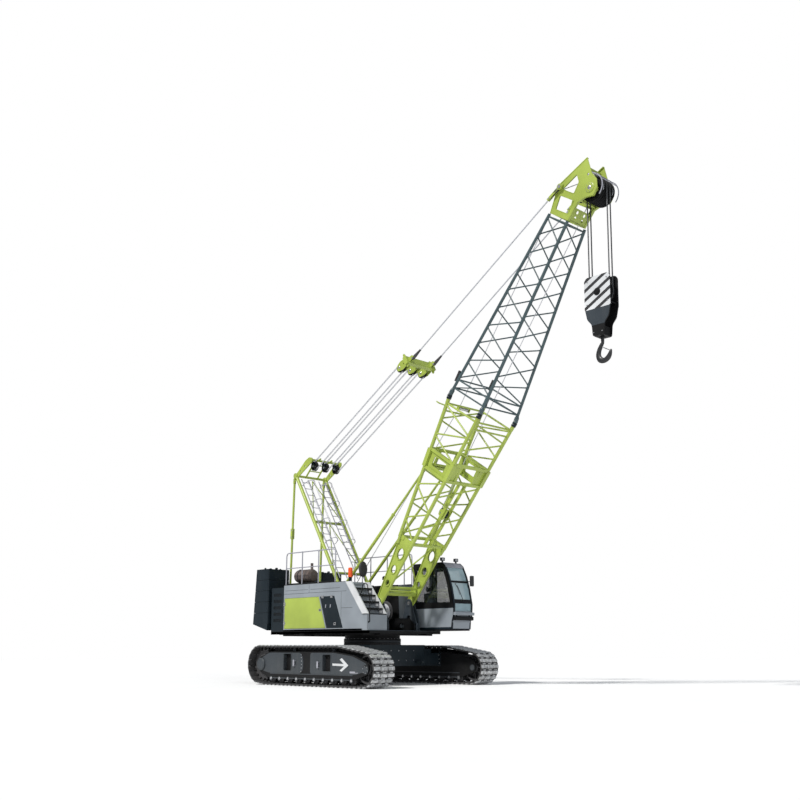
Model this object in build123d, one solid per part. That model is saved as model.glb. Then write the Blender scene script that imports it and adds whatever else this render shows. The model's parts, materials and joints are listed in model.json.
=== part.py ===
from build123d import *
from math import asin, atan2, ceil, cos, degrees, hypot, pi, radians, sin
import os

os.makedirs("parts", exist_ok=True)

# Frame: +X forward, +Y left, +Z up. Origin on the ground, on the slewing axis.

# Fits
SEAT = 0.3            # faces that rest on one another
BORE_GAP = 1.0        # radial room of a pin in its bore
RUN_GAP = 6.0         # between pieces that move past one another

# Tracks
TRACK_Y = 2150.0
SHOE_WIDTH = 760.0
SHOE_PITCH = 190.0
SHOE_THICK = 45.0
GROUSER = 28.0
REAR_WHEEL_X, REAR_WHEEL_Z, REAR_WHEEL_R = -2330.0, 610.0, 570.0
IDLER_X, IDLER_Z, IDLER_R = 2400.0, 510.0, 490.0
CREST_X, CREST_Z, CREST_R = 1300.0, 850.0, 320.0     # where the top run starts down to the idler
GROUND_RUN_X = 1980.0
GROUND_BEND_R = 160.0
FRAME_HALF_WIDTH = 270.0
FRAME_BOTTOM, FRAME_TOP = 200.0, 985.0
ROLLER_R, ROLLER_COUNT, ROLLER_SPAN = 125.0, 10, 2 * GROUND_RUN_X - 300.0
ROLLER_SHAFT_R = 42.0
CARRIER_R = 50.0
CARRIER_X = (-900.0, 900.0)

FRAME_PLATE = 32.0
WINDOWS = ((-1225.0, -870.0, 440.0, 925.0), (580.0, 930.0, 440.0, 905.0))   # x0, x1, z0, z1
WHEEL_HUB_R = 90.0

# Carbody and swing bearing
CARBODY_X, CARBODY_Y = 1150.0, 1150.0
CARBODY_BOTTOM, CARBODY_TOP = 560.0, 1180.0
AXLE_X, AXLE_HALF, AXLE_TOP = 800.0, 230.0, 930.0
BEARING_R, BEARING_BORE = 870.0, 640.0
BEARING_BOTTOM, BEARING_SPLIT, BEARING_TOP = 1180.0, 1310.0, 1450.0

# Upperworks
DECK_BOTTOM, DECK_TOP = 1450.0, 1600.0
DECK_HALF_WIDTH = 1460.0
DECK_REAR, DECK_FRONT = -3200.0, 1480.0
BEAM_Y = (500.0, 560.0)
BEAM_TOP = 1980.0
BEAM_REAR = -3840.0
DRUM_Z, DRUM_SHAFT_R = 2190.0, 65.0
DRUMS = (             # x, flange radius, barrel radius
    (150.0, 330.0, 230.0),
    (-850.0, 380.0, 260.0),
    (-1900.0, 330.0, 220.0),
)
HOUSE_REAR, HOUSE_TOP = -2560.0, 3030.0
HOUSE_OUT, HOUSE_IN = DECK_HALF_WIDTH, 720.0
HOUSE_FRONT_TOP, HOUSE_FRONT_BOTTOM = 400.0, 1160.0
HOUSE_WALL = 40.0
STEP_BOX_TOP = 2070.0
STAIR_STEP_X = 260.0
STRINGER = 45.0
TREADS_Z = (2230.0, 2430.0, 2630.0, 2830.0)
ENGINE_X, ENGINE_TOP = (-2200.0, -700.0), 2500.0
LOUVRES_Z, LOUVRE_HIGH = (1900.0, 2100.0, 2300.0, 2500.0, 2700.0), 90.0
RAIL_R, RAIL_TOP, RAIL_MIDDLE = 18.0, 4040.0, 3560.0
RAIL_POSTS_X = (-2500.0, -1700.0, -900.0, -100.0)
DOOR_THICK = 40.0
DOOR_GAP = 6.0

# Counterweight
STACK_IN, STACK_OUT = 690.0, DECK_HALF_WIDTH + 80.0
STACK_FRONT, STACK_REAR_TOP, STACK_REAR = -3300.0, -3960.0, -4100.0
STACK_BOTTOM, STACK_TOP = 1850.0, 3600.0
STACK_LAYERS = 5
TRAY_FRONT, TRAY_REAR, TRAY_LOW, TRAY_HIGH = DECK_REAR - 110.0, STACK_REAR + 30.0, 1640.0, 1840.0
REAR_BLOCK_TOP = 1780.0

# Cab
CAB_IN, CAB_WIDTH = 870.0, 830.0
CAB_OUT = CAB_IN + CAB_WIDTH
CAB_WALL = 50.0
CAB_BOTTOM, CAB_TOP = 1640.0, 3640.0
CAB_REAR, CAB_NOSE_X = 880.0, 2600.0
CAB_FRONT = (         # back from the nose, z: the curved front, from the roof down
    (500.0, CAB_TOP),
    (370.0, 3540.0),
    (215.0, 3220.0),
    (100.0, 2860.0),
    (0.0, 2380.0),
    (15.0, 2060.0),
    (70.0, 1880.0),
    (90.0, CAB_BOTTOM),
)

# Gantry
GANTRY_Y = 620.0
GANTRY_R = 55.0
LEG_FOOT = (-260.0, 1990.0)
GANTRY_TOP = (-3150.0, 6720.0)
STAY_FOOT = (-3385.0, 1990.0)
GANTRY_HEAD = (       # x, z from the gantry sheaves
    (-830.0, -460.0), (-720.0, -540.0), (70.0, -60.0), (70.0, 70.0), (-80.0, 100.0),
)
STAY_R = 36.0
PIN_R = 30.0
GANTRY_SHEAVE = (-2400.0, 7160.0)
SHEAVE_YS = (-450.0, 0.0, 450.0)
LUFF_SHEAVE_R = 150.0

# Boom
FOOT_X, FOOT_Z, FOOT_Y = 1000.0, 2440.0, 640.0
BOOM_ANGLE = 56.25
FOOT_PIN_R = 60.0
FOOT_LUG_THICK = 70.0
BUTT_LENGTH = 6450.0
BUTT_HALF_DEPTH = (120.0, 680.0)
BUTT_HALF_WIDTH = (640.0, 750.0)
HEAD_START = 12080.0
TOP_HALF_DEPTH = 350.0
TOP_HALF_WIDTH = 385.0
CHORD_R, TOP_CHORD_R, LACE_R = 52.0, 42.0, 22.0
BUTT_PLATE_END = 2150.0
BOX_FRAME = (BUTT_LENGTH - 2170.0, BUTT_LENGTH - 1630.0)
HEAD_AXIS = (8730.0, 12980.0)
HEAD_SHEAVE_R, HEAD_GROOVE_R = 345.0, 300.0
HEAD_PLATE_THICK = 22.0
PENDANT_Y = 450.0
PENDANT_R = 20.0
SPREADER = (1690.0, 9490.0)
PENDANT_LOW = (2440.0, 9840.0)
PENDANT_TAIL = 270.0
CLEVIS_HALF = 26.0
PENDANT_HIGH = (12800.0, 360.0)

# Hook
FALL_R = 12.0
FALL_Y = 70.0
FALL_X = HEAD_GROOVE_R + FALL_R + 0.5
BLOCK_AXIS_Z = 10180.0
BLOCK_TOP, BLOCK_BOTTOM = 10620.0, 9010.0
HOOK_LOW = 8290.0
CHEEK_Y = (150.0, 190.0)

# Backstops
STOP_Y = 440.0
STOP_FOOT = (-1200.0, 2660.0)
STOP_TIP = (2704.0, 6251.0)
STOP_TUBE_R, STOP_BORE_R, STOP_ROD_R = 48.0, 35.0, 34.0
STOP_TUBE_LENGTH, STOP_ROD_LENGTH = 3500.0, 3050.0


def block(x0, x1, y0, y1, z0, z1):
    middle = Pos((x0 + x1) / 2, (y0 + y1) / 2, (z0 + z1) / 2)
    return middle * Box(abs(x1 - x0), abs(y1 - y0), abs(z1 - z0))


def sheet_xz(points, y0, y1):
    wire = Wire.make_polygon([Vector(x, min(y0, y1), z) for x, z in points], close=True)
    return Solid.extrude(Face(wire), Vector(0, abs(y1 - y0), 0))


def sheet_xy(points, z0, z1):
    wire = Wire.make_polygon([Vector(x, y, z0) for x, y in points], close=True)
    return Solid.extrude(Face(wire), Vector(0, 0, z1 - z0))


def sheet_yz(points, x0, x1):
    wire = Wire.make_polygon([Vector(x0, y, z) for y, z in points], close=True)
    return Solid.extrude(Face(wire), Vector(x1 - x0, 0, 0))


def rod(start, end, radius):
    run = Vector(*end) - Vector(*start)
    plane = Plane(origin=start, z_dir=run)
    return plane * Cylinder(radius, run.length, align=(Align.CENTER, Align.CENTER, Align.MIN))


def bar(start, end, radius, sides=6):
    run = Vector(*end) - Vector(*start)
    return extrude(Plane(origin=start, z_dir=run) * RegularPolygon(radius, sides), run.length)


def disc(x, z, y0, y1, radius):
    return rod((x, min(y0, y1), z), (x, max(y0, y1), z), radius)


def grooved(x, z, y, half_width, rim, groove):
    wheel = disc(x, z, y - half_width, y + half_width, rim)
    flat = half_width * 0.3
    edge = half_width * 0.8
    ring = [(groove, -flat), (groove, flat), (rim + 1, edge), (rim + 1, -edge)]
    wire = Wire.make_polygon([Vector(x + r, y + s, z) for r, s in ring], close=True)
    return wheel - Solid.revolve(Face(wire), 360, Axis((x, y, z), (0, 1, 0)))


def both_sides(shape):
    return [shape, mirror(shape, Plane.XZ)]


def fused(pieces):
    first, rest = pieces[0], list(pieces[1:])
    return first.fuse(*rest) if rest else first


def save(name, *shapes):
    solids = [solid for shape in shapes for solid in shape.solids()]
    body = solids[0] if len(solids) == 1 else Compound(solids)
    export_step(body, f"parts/{name}.step")


# Track loop: the outline follows the wheels, the ground run and the top run

def track_path():
    bends = [  # x, z, radius, in turn from the rear wheel, counter clockwise seen from the right
        (REAR_WHEEL_X, REAR_WHEEL_Z, REAR_WHEEL_R),
        (-GROUND_RUN_X, GROUND_BEND_R, GROUND_BEND_R),
        (GROUND_RUN_X, GROUND_BEND_R, GROUND_BEND_R),
        (IDLER_X, IDLER_Z, IDLER_R),
        (CREST_X, CREST_Z, CREST_R),
    ]
    points = []
    for index, (x, z, radius) in enumerate(bends):
        before, after = bends[index - 1], bends[(index + 1) % len(bends)]
        ends = []
        for (xa, za, ra), (xb, zb, rb) in ((before, (x, z, radius)), ((x, z, radius), after)):
            heading = atan2(zb - za, xb - xa)
            lean = (rb - ra) / hypot(xb - xa, zb - za)
            ends.append(heading - pi / 2 - asin(lean))
        first, last = ends
        while last < first:
            last += 2 * pi
        steps = max(2, ceil((last - first) / radians(8)))
        for step in range(steps + 1):
            angle = first + (last - first) * step / steps
            points.append((x + radius * cos(angle), z + radius * sin(angle)))
    return points


def walk(points, offset_list):
    closed = points + [points[0]]
    lengths = [hypot(b[0] - a[0], b[1] - a[1]) for a, b in zip(closed, closed[1:])]
    total = sum(lengths)
    result = []
    for distance, depth in offset_list(total):
        left, index = distance % total, 0
        while left > lengths[index]:
            left -= lengths[index]
            index += 1
        a, b = closed[index], closed[index + 1]
        ux, uz = (b[0] - a[0]) / lengths[index], (b[1] - a[1]) / lengths[index]
        result.append((a[0] + ux * left - uz * depth, a[1] + uz * left + ux * depth))
    return result


def shoe_outline(total):
    count = round(total / SHOE_PITCH)
    pitch = total / count
    gap, rib = pitch * 0.06, pitch * 0.30
    steps = []
    for index in range(count):
        base = index * pitch
        steps += [(base + gap, GROUSER), (base + gap + 4, 0.0), (base + rib, 0.0),
                  (base + rib + 6, 9.0), (base + pitch - rib - 6, 9.0), (base + pitch - rib, 0.0),
                  (base + pitch - gap - 4, 0.0), (base + pitch - gap, GROUSER)]
    return steps


def inner_outline(total):
    count = round(total / SHOE_PITCH)
    return [(index * total / count, GROUSER + SHOE_THICK) for index in range(count)]


path = track_path()
outer = sheet_xz(walk(path, shoe_outline), TRACK_Y - SHOE_WIDTH / 2, TRACK_Y + SHOE_WIDTH / 2)
inner = sheet_xz(walk(path, inner_outline), TRACK_Y - SHOE_WIDTH, TRACK_Y + SHOE_WIDTH)
track = outer - inner
left_track, right_track = both_sides(track)
save("track_left", left_track)
save("track_right", right_track)

# Track frames, wheels and rollers
INSIDE = GROUSER + SHOE_THICK
WHEEL_ROOM = 40.0
frame_y0, frame_y1 = TRACK_Y - FRAME_HALF_WIDTH, TRACK_Y + FRAME_HALF_WIDTH
frame_side = [
    (REAR_WHEEL_X - 150, 430), (-1900, FRAME_BOTTOM), (1900, FRAME_BOTTOM), (IDLER_X + 130, 400),
    (IDLER_X + 130, 700), (1900, FRAME_TOP - 90), (1100, FRAME_TOP), (-1900, FRAME_TOP),
    (REAR_WHEEL_X - 150, 800),
]
roller_z = INSIDE + ROLLER_R + SEAT
roller_xs = [ROLLER_SPAN * (i / (ROLLER_COUNT - 1) - 0.5) for i in range(ROLLER_COUNT)]
frame = sheet_xz(frame_side, frame_y0, frame_y1)
frame -= block(-1980, 1980, frame_y0 + FRAME_PLATE, frame_y1 - FRAME_PLATE,
               FRAME_BOTTOM - 60, roller_z + ROLLER_R + RUN_GAP * 3)
for x, radius, z in ((REAR_WHEEL_X, REAR_WHEEL_R, REAR_WHEEL_Z), (IDLER_X, IDLER_R, IDLER_Z)):
    frame -= disc(x, z, frame_y0 + 62, frame_y1 - 62, radius - INSIDE + WHEEL_ROOM)
for x in roller_xs:
    frame -= disc(x, roller_z, frame_y0 - 10, frame_y1 + 10, ROLLER_SHAFT_R + BORE_GAP)
for x, z in ((REAR_WHEEL_X, REAR_WHEEL_Z), (IDLER_X, IDLER_Z)):
    frame -= disc(x, z, frame_y0 - 10, frame_y1 + 10, WHEEL_HUB_R + BORE_GAP)
for x0, x1, z0, z1 in WINDOWS:
    frame -= block(x0, x1, frame_y1 - 90, frame_y1 + 10, z0, z1)
left_frame, right_frame = both_sides(frame)
save("track_frame_left", left_frame)
save("track_frame_right", right_frame)

rollers = []
for x in roller_xs:
    roller = disc(x, roller_z, TRACK_Y - 215, TRACK_Y + 215, ROLLER_R)
    roller -= (disc(x, roller_z, TRACK_Y - 100, TRACK_Y + 100, ROLLER_R + 5)
               - disc(x, roller_z, TRACK_Y - 100, TRACK_Y + 100, ROLLER_R - 30))
    roller += disc(x, roller_z, frame_y0 - 14, frame_y1 + 14, ROLLER_SHAFT_R)
    rollers += both_sides(roller)
save("track_rollers", *rollers)

carriers = []
for x in CARRIER_X:
    top_inside = REAR_WHEEL_Z + REAR_WHEEL_R - INSIDE
    slope = ((CREST_Z + CREST_R) - (REAR_WHEEL_Z + REAR_WHEEL_R)) / (CREST_X - REAR_WHEEL_X)
    z = top_inside + slope * (x - REAR_WHEEL_X) - CARRIER_R - 2.0
    wheel = disc(x, z, TRACK_Y - 150, TRACK_Y + 150, CARRIER_R)
    wheel += block(x - 50, x + 50, TRACK_Y - 110, TRACK_Y + 110, FRAME_TOP + SEAT, z)
    carriers += both_sides(wheel)
save("carrier_rollers", *carriers)

wheels = []
SPROCKET_TEETH = 15
sprocket_r = REAR_WHEEL_R - INSIDE - 16
profile = []
for tooth in range(SPROCKET_TEETH):
    turn = 2 * pi * tooth / SPROCKET_TEETH
    half = pi / SPROCKET_TEETH
    for share, radius in ((-0.85, sprocket_r - 60), (-0.35, sprocket_r), (0.35, sprocket_r),
                          (0.85, sprocket_r - 60)):
        angle = turn + share * half
        profile.append((REAR_WHEEL_X + radius * cos(angle), REAR_WHEEL_Z + radius * sin(angle)))
sprocket = sheet_xz(profile, TRACK_Y - 190, TRACK_Y + 190)
sprocket += disc(REAR_WHEEL_X, REAR_WHEEL_Z, frame_y0 - 170, frame_y1 + 60, WHEEL_HUB_R)
sprocket += disc(REAR_WHEEL_X, REAR_WHEEL_Z, frame_y1 + SEAT, frame_y1 + 60, 190)
sprocket += disc(REAR_WHEEL_X, REAR_WHEEL_Z, frame_y0 - 170, frame_y0 - SEAT, 210)
wheels += both_sides(sprocket)
save("drive_sprockets", *wheels)

idler = disc(IDLER_X, IDLER_Z, TRACK_Y - 190, TRACK_Y + 190, IDLER_R - INSIDE - 16)
for y0, y1 in ((TRACK_Y - 200, TRACK_Y - 120), (TRACK_Y + 120, TRACK_Y + 200)):
    idler -= disc(IDLER_X, IDLER_Z, y0, y1, IDLER_R - INSIDE - 90)
idler += disc(IDLER_X, IDLER_Z, frame_y0 - 12, frame_y1 + 12, WHEEL_HUB_R)
save("front_idlers", *both_sides(idler))

# Carbody: a box on two axle beams that reach the track frames
carbody = block(-CARBODY_X, CARBODY_X, -CARBODY_Y, CARBODY_Y, CARBODY_BOTTOM, CARBODY_TOP)
for x in (-AXLE_X, AXLE_X):
    carbody += block(x - AXLE_HALF, x + AXLE_HALF, -(frame_y0 - SEAT), frame_y0 - SEAT, CARBODY_BOTTOM,
                     AXLE_TOP)
for sx in (-1, 1):
    for sy in (-1, 1):
        x0, x1 = sx * (AXLE_X + AXLE_HALF + 1), sx * (AXLE_X - 200)
        gusset = [(x0, sy * (CARBODY_Y - 50)), (x0, sy * (CARBODY_Y + 350)), (x1, sy * (CARBODY_Y + 350)),
                  (x1, sy * (CARBODY_Y - 50))]
        carbody += sheet_xy(gusset, CARBODY_BOTTOM, AXLE_TOP + 130)
        x0, x1 = sx * CARBODY_X, sx * (CARBODY_X + 270)
        lug = [(x0, sy * 700), (x1, sy * 760), (x1, sy * 860), (x0, sy * 980)]
        carbody += (sheet_xy(lug, CARBODY_BOTTOM + 80, CARBODY_BOTTOM + 140)
                    - Pos(x1 - sx * 90, sy * 815, CARBODY_BOTTOM + 110) * Cylinder(35, 100))
save("carbody", carbody)

ring = Pos(0, 0, (BEARING_BOTTOM + SEAT + BEARING_SPLIT) / 2) * Cylinder(
    BEARING_R, BEARING_SPLIT - BEARING_BOTTOM - SEAT)
save("swing_bearing", ring - Pos(0, 0, BEARING_SPLIT) * Cylinder(BEARING_BORE, 600))

# Revolving frame
deck = block(DECK_REAR, DECK_FRONT, -DECK_HALF_WIDTH, DECK_HALF_WIDTH, DECK_BOTTOM + 60, DECK_TOP)
deck += Pos(0, 0, (BEARING_SPLIT + SEAT + DECK_BOTTOM + 80) / 2) * Cylinder(
    BEARING_R, DECK_BOTTOM + 80 - BEARING_SPLIT - SEAT)
deck += block(BEAM_REAR, DECK_REAR + 10, -STACK_IN + 40, STACK_IN - 40, DECK_BOTTOM + 60, REAR_BLOCK_TOP)
foot_y = (FOOT_Y - FOOT_LUG_THICK / 2 - 5, FOOT_Y + FOOT_LUG_THICK / 2 + 5)
beam_side = [(BEAM_REAR, DECK_TOP - 60), (FOOT_X + 300, DECK_TOP - 60), (FOOT_X + 300, 1800),
             (FOOT_X + 60, BEAM_TOP), (LEG_FOOT[0] + 130, BEAM_TOP), (LEG_FOOT[0] + 60, BEAM_TOP + 90),
             (LEG_FOOT[0] - 60, BEAM_TOP + 90), (LEG_FOOT[0] - 130, BEAM_TOP),
             (STAY_FOOT[0] + 130, BEAM_TOP), (STAY_FOOT[0] + 60, BEAM_TOP + 90),
             (STAY_FOOT[0] - 60, BEAM_TOP + 90), (STAY_FOOT[0] - 130, BEAM_TOP), (BEAM_REAR, BEAM_TOP)]
foot_side = [(FOOT_X + 330, DECK_TOP - 40), (FOOT_X + 330, DECK_TOP + 250), (FOOT_X + 100, FOOT_Z + 40),
             (FOOT_X + 50, FOOT_Z + 120), (FOOT_X - 50, FOOT_Z + 120), (FOOT_X - 100, FOOT_Z + 40),
             (FOOT_X - 300, DECK_TOP + 250), (FOOT_X - 300, DECK_TOP - 40)]
stop_side = [(STOP_FOOT[0] + dx, z) for dx, z in (
    (-220, BEAM_TOP - 40), (220, BEAM_TOP - 40), (70, STOP_FOOT[1] + 60), (-70, STOP_FOOT[1] + 60))]
for sign in (-1, 1):
    deck += sheet_xz(beam_side, sign * BEAM_Y[0], sign * BEAM_Y[1])
    for y0, y1 in ((foot_y[0] - 40, foot_y[0]), (foot_y[1], foot_y[1] + 32)):
        deck += sheet_xz(foot_side, sign * y0, sign * y1)
    deck += sheet_xz(stop_side, sign * (STOP_Y + 60), sign * (STOP_Y + 90))
    deck += block(STOP_FOOT[0] - 220, STOP_FOOT[0] + 220, sign * (STOP_Y + 60), sign * BEAM_Y[1],
                  BEAM_TOP - 60, BEAM_TOP)
for x, _, _ in DRUMS:
    for sign in (-1, 1):
        deck += sheet_xz([(x - 260, DECK_TOP - 20), (x + 260, DECK_TOP - 20), (x + 120, DRUM_Z + 140),
                          (x - 120, DRUM_Z + 140)], sign * BEAM_Y[0], sign * (BEAM_Y[0] + 30))
        deck -= disc(x, DRUM_Z, sign * (BEAM_Y[0] - 10), sign * (BEAM_Y[1] + 10), DRUM_SHAFT_R + BORE_GAP)
for sign in (-1, 1):
    deck -= disc(FOOT_X, FOOT_Z, sign * (FOOT_Y - 140), sign * (FOOT_Y + 120), FOOT_PIN_R + BORE_GAP)
    for x, z in (STOP_FOOT, LEG_FOOT, STAY_FOOT):
        deck -= disc(x, z, sign * (BEAM_Y[0] - 20), sign * (BEAM_Y[1] + 20), PIN_R + BORE_GAP)
save("revolving_frame", deck)

drums = []
drum_half = BEAM_Y[0] - 100
for x, flange_r, barrel_r in DRUMS:
    drum = disc(x, DRUM_Z, -(BEAM_Y[0] + 30), BEAM_Y[0] + 30, DRUM_SHAFT_R)
    drum += disc(x, DRUM_Z, -drum_half, drum_half, barrel_r)
    for y0, y1 in ((-drum_half, -drum_half + 30), (drum_half - 30, drum_half)):
        drum += disc(x, DRUM_Z, y0, y1, flange_r)
    drums.append(drum)
save("winch_drums", *drums)

# Counterweight
tray = sheet_xz([(TRAY_FRONT, TRAY_LOW), (TRAY_REAR, TRAY_HIGH), (TRAY_REAR, STACK_BOTTOM),
                 (TRAY_FRONT, STACK_BOTTOM)], -STACK_OUT, STACK_OUT)
for half, top in ((STACK_IN - 30, REAR_BLOCK_TOP + SEAT), (BEAM_Y[1] + 20, BEAM_TOP)):
    tray -= block(TRAY_REAR - 100, TRAY_FRONT + 100, -half, half, TRAY_LOW - 100, top)
save("counterweight_tray", tray)


def stack_rear(z):
    return STACK_REAR + (STACK_REAR_TOP - STACK_REAR) * (z - STACK_BOTTOM) / (STACK_TOP - STACK_BOTTOM)


stack_side = [(STACK_FRONT, STACK_BOTTOM + SEAT), (STACK_FRONT, STACK_TOP), (STACK_REAR_TOP, STACK_TOP),
              (STACK_REAR, STACK_BOTTOM + SEAT)]
stack = sheet_xz(stack_side, STACK_IN, STACK_OUT)
layer = (STACK_TOP - STACK_BOTTOM) / STACK_LAYERS
for index in range(1, STACK_LAYERS):
    z = STACK_BOTTOM + index * layer
    groove = block(STACK_REAR - 100, STACK_FRONT + 100, STACK_IN - 20, STACK_OUT + 20, z - 6, z + 6)
    groove -= block(stack_rear(z) + 25, STACK_FRONT - 25, STACK_IN + 25, STACK_OUT - 25, z - 8, z + 8)
    stack -= groove
lug_y = (STACK_IN + STACK_OUT) / 2
for x in (STACK_FRONT - 180, STACK_FRONT - 500):
    stack += block(x - 60, x + 60, lug_y - 15, lug_y + 15, STACK_TOP, STACK_TOP + 70)
save("counterweight_stacks", *both_sides(stack))

# Machinery houses
def house_side(front_top, front_bottom, inset=0.0):
    return [(HOUSE_REAR + inset, DECK_TOP + SEAT + inset), (HOUSE_REAR + inset, HOUSE_TOP - inset),
            (front_top - inset, HOUSE_TOP - inset), (front_bottom - inset, STEP_BOX_TOP - inset),
            (front_bottom - inset, DECK_TOP + SEAT + inset)]


DOOR_LOW, DOOR_HIGH = DECK_TOP + 80, HOUSE_TOP - 410
SLANT_ROOM = 16.0     # more room at the slanting rear edge of the door that swings up


def door_side(rear_high, front_high, front_low, rear_low):
    return [(rear_high, DOOR_HIGH), (front_high, DOOR_HIGH), (front_low, DOOR_LOW), (rear_low, DOOR_LOW)]


rear_door = door_side(HOUSE_REAR + 40, -830, -500, HOUSE_REAR + 40)
front_hole = door_side(-780, -100, 300, -450)
front_door = door_side(-780 + SLANT_ROOM, -100, 300, -450 + SLANT_ROOM)
left_door = door_side(HOUSE_REAR + 260, HOUSE_REAR + 1260, HOUSE_REAR + 1260, HOUSE_REAR + 260)


def grown(points, amount):
    xs, zs = [p[0] for p in points], [p[1] for p in points]
    cx, cz = (min(xs) + max(xs)) / 2, (min(zs) + max(zs)) / 2
    return [(x + (amount if x > cx else -amount), z + (amount if z > cz else -amount)) for x, z in points]


def house(sign, front_top, front_bottom, doors):
    body = sheet_xz(house_side(front_top, front_bottom), sign * HOUSE_IN, sign * HOUSE_OUT)
    body -= sheet_xz(house_side(front_top, front_bottom, HOUSE_WALL), sign * (HOUSE_IN + HOUSE_WALL),
                     sign * (HOUSE_OUT - HOUSE_WALL))
    for door in doors:
        body -= sheet_xz(grown(door, DOOR_GAP), sign * (HOUSE_OUT - HOUSE_WALL - 5),
                         sign * (HOUSE_OUT + 10))
    return body


HINGE_R, HINGE_LONG, HINGE_BACK = 12.0, 110.0, 15.0


def upright_hinges(edge_x, face_y, sign, heights):
    pieces = []
    for z in heights:
        z0, z1 = z - HINGE_LONG / 2, z + HINGE_LONG / 2
        y = face_y + sign * (HINGE_R + SEAT)
        pieces.append(rod((edge_x - HINGE_BACK, y, z0), (edge_x - HINGE_BACK, y, z1), HINGE_R))
        back, face, out = edge_x - HINGE_BACK, face_y + sign * SEAT, face_y + sign * 22
        pieces.append(block(back, edge_x + 25, face, out, z0, z1))
        pieces.append(block(edge_x + 5, edge_x + 25, face_y - sign * 3, out, z0, z1))
    return pieces


def level_hinges(edge_z, face_y, sign, xs):
    pieces = []
    for x in xs:
        x0, x1 = x - HINGE_LONG / 2, x + HINGE_LONG / 2
        y = face_y + sign * (HINGE_R + SEAT)
        pieces.append(rod((x0, y, edge_z + HINGE_BACK), (x1, y, edge_z + HINGE_BACK), HINGE_R))
        face, out = face_y + sign * SEAT, face_y + sign * 22
        pieces.append(block(x0, x1, face, out, edge_z - 25, edge_z + HINGE_BACK))
        pieces.append(block(x0, x1, face_y - sign * 3, out, edge_z - 25, edge_z - 5))
    return pieces


save("house_right", house(-1, HOUSE_FRONT_TOP, HOUSE_FRONT_BOTTOM, [rear_door, front_hole]))
save("house_left", house(1, HOUSE_FRONT_TOP - 70, HOUSE_FRONT_TOP - 6, [left_door]))
door_hinges = {
    "house_door_rear": (-1, rear_door, upright_hinges(rear_door[0][0], -HOUSE_OUT, -1, (1850, 2450))),
    "house_door_front": (-1, front_door, level_hinges(front_door[0][1], -HOUSE_OUT, -1, (-650, -230))),
    "house_door_left": (1, left_door, upright_hinges(left_door[0][0], HOUSE_OUT, 1, (1850, 2450))),
}
for name, (sign, points, hinges) in door_hinges.items():
    leaf = sheet_xz(points, sign * (HOUSE_OUT - DOOR_THICK), sign * HOUSE_OUT)
    save(name, fused([leaf] + hinges))

cowl = block(DECK_REAR, HOUSE_REAR - SEAT, HOUSE_IN, HOUSE_OUT, DECK_TOP + SEAT, HOUSE_TOP - 60)
for z in LOUVRES_Z:
    cowl -= block(DECK_REAR + 120, HOUSE_REAR - 120, HOUSE_OUT - 20, HOUSE_OUT + 10, z, z + LOUVRE_HIGH)
save("rear_cowls", *both_sides(cowl))

engine_foot = DECK_TOP + HOUSE_WALL + 2 * SEAT
save("engine", block(*ENGINE_X, -(HOUSE_OUT - 130), -(HOUSE_IN + 110), engine_foot, ENGINE_TOP))

# Stairs on the sloping front of the right house
lean = (HOUSE_FRONT_BOTTOM - HOUSE_FRONT_TOP) / (HOUSE_TOP - STEP_BOX_TOP)


def slope_x(z):
    return HOUSE_FRONT_TOP + (HOUSE_TOP - z) * lean


box_x = (HOUSE_FRONT_BOTTOM + SEAT, HOUSE_FRONT_BOTTOM + STAIR_STEP_X)
stringer = [(slope_x(HOUSE_TOP) + SEAT, HOUSE_TOP), (slope_x(HOUSE_TOP) + STAIR_STEP_X, HOUSE_TOP),
            (box_x[1], STEP_BOX_TOP), (box_x[0], STEP_BOX_TOP)]
stairs = [sheet_xz(stringer, y, y + STRINGER) for y in (-HOUSE_OUT, -HOUSE_IN - STRINGER)]
for z in TREADS_Z:
    stairs.append(block(slope_x(z) + 20, slope_x(z) + STAIR_STEP_X - 10, -HOUSE_OUT + 20, -HOUSE_IN - 20,
                        z - 15, z + 15))
step_box = block(*box_x, -HOUSE_OUT, -HOUSE_IN, DECK_TOP + SEAT, STEP_BOX_TOP + 1)
step_box -= block(box_x[0] - 10, box_x[1] - HOUSE_WALL, -HOUSE_OUT + HOUSE_WALL, -HOUSE_IN - HOUSE_WALL,
                  DECK_TOP - 10, STEP_BOX_TOP - HOUSE_WALL)
stairs.append(step_box)
save("stairs", fused(stairs))

# Rails on the roofs, and the hand rail at the stairs


def rail(corners, radius):
    pieces = [rod(a, b, radius) for a, b in zip(corners, corners[1:])]
    pieces += [Pos(*c) * Sphere(radius) for c in corners[1:-1]]
    return fused(pieces)


def fence(y, xs):
    foot, middle = HOUSE_TOP + SEAT, [(x, y, RAIL_MIDDLE) for x in (xs[0], xs[-1])]
    frame = [(xs[0], y, foot), (xs[0], y, RAIL_TOP), (xs[-1], y, RAIL_TOP), (xs[-1], y, foot)]
    pieces = [rail(frame, RAIL_R)]
    pieces += [rod((x, y, foot), (x, y, RAIL_TOP), RAIL_R) for x in xs[1:-1]]
    return fused(pieces + [rod(*middle, RAIL_R)])


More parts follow.
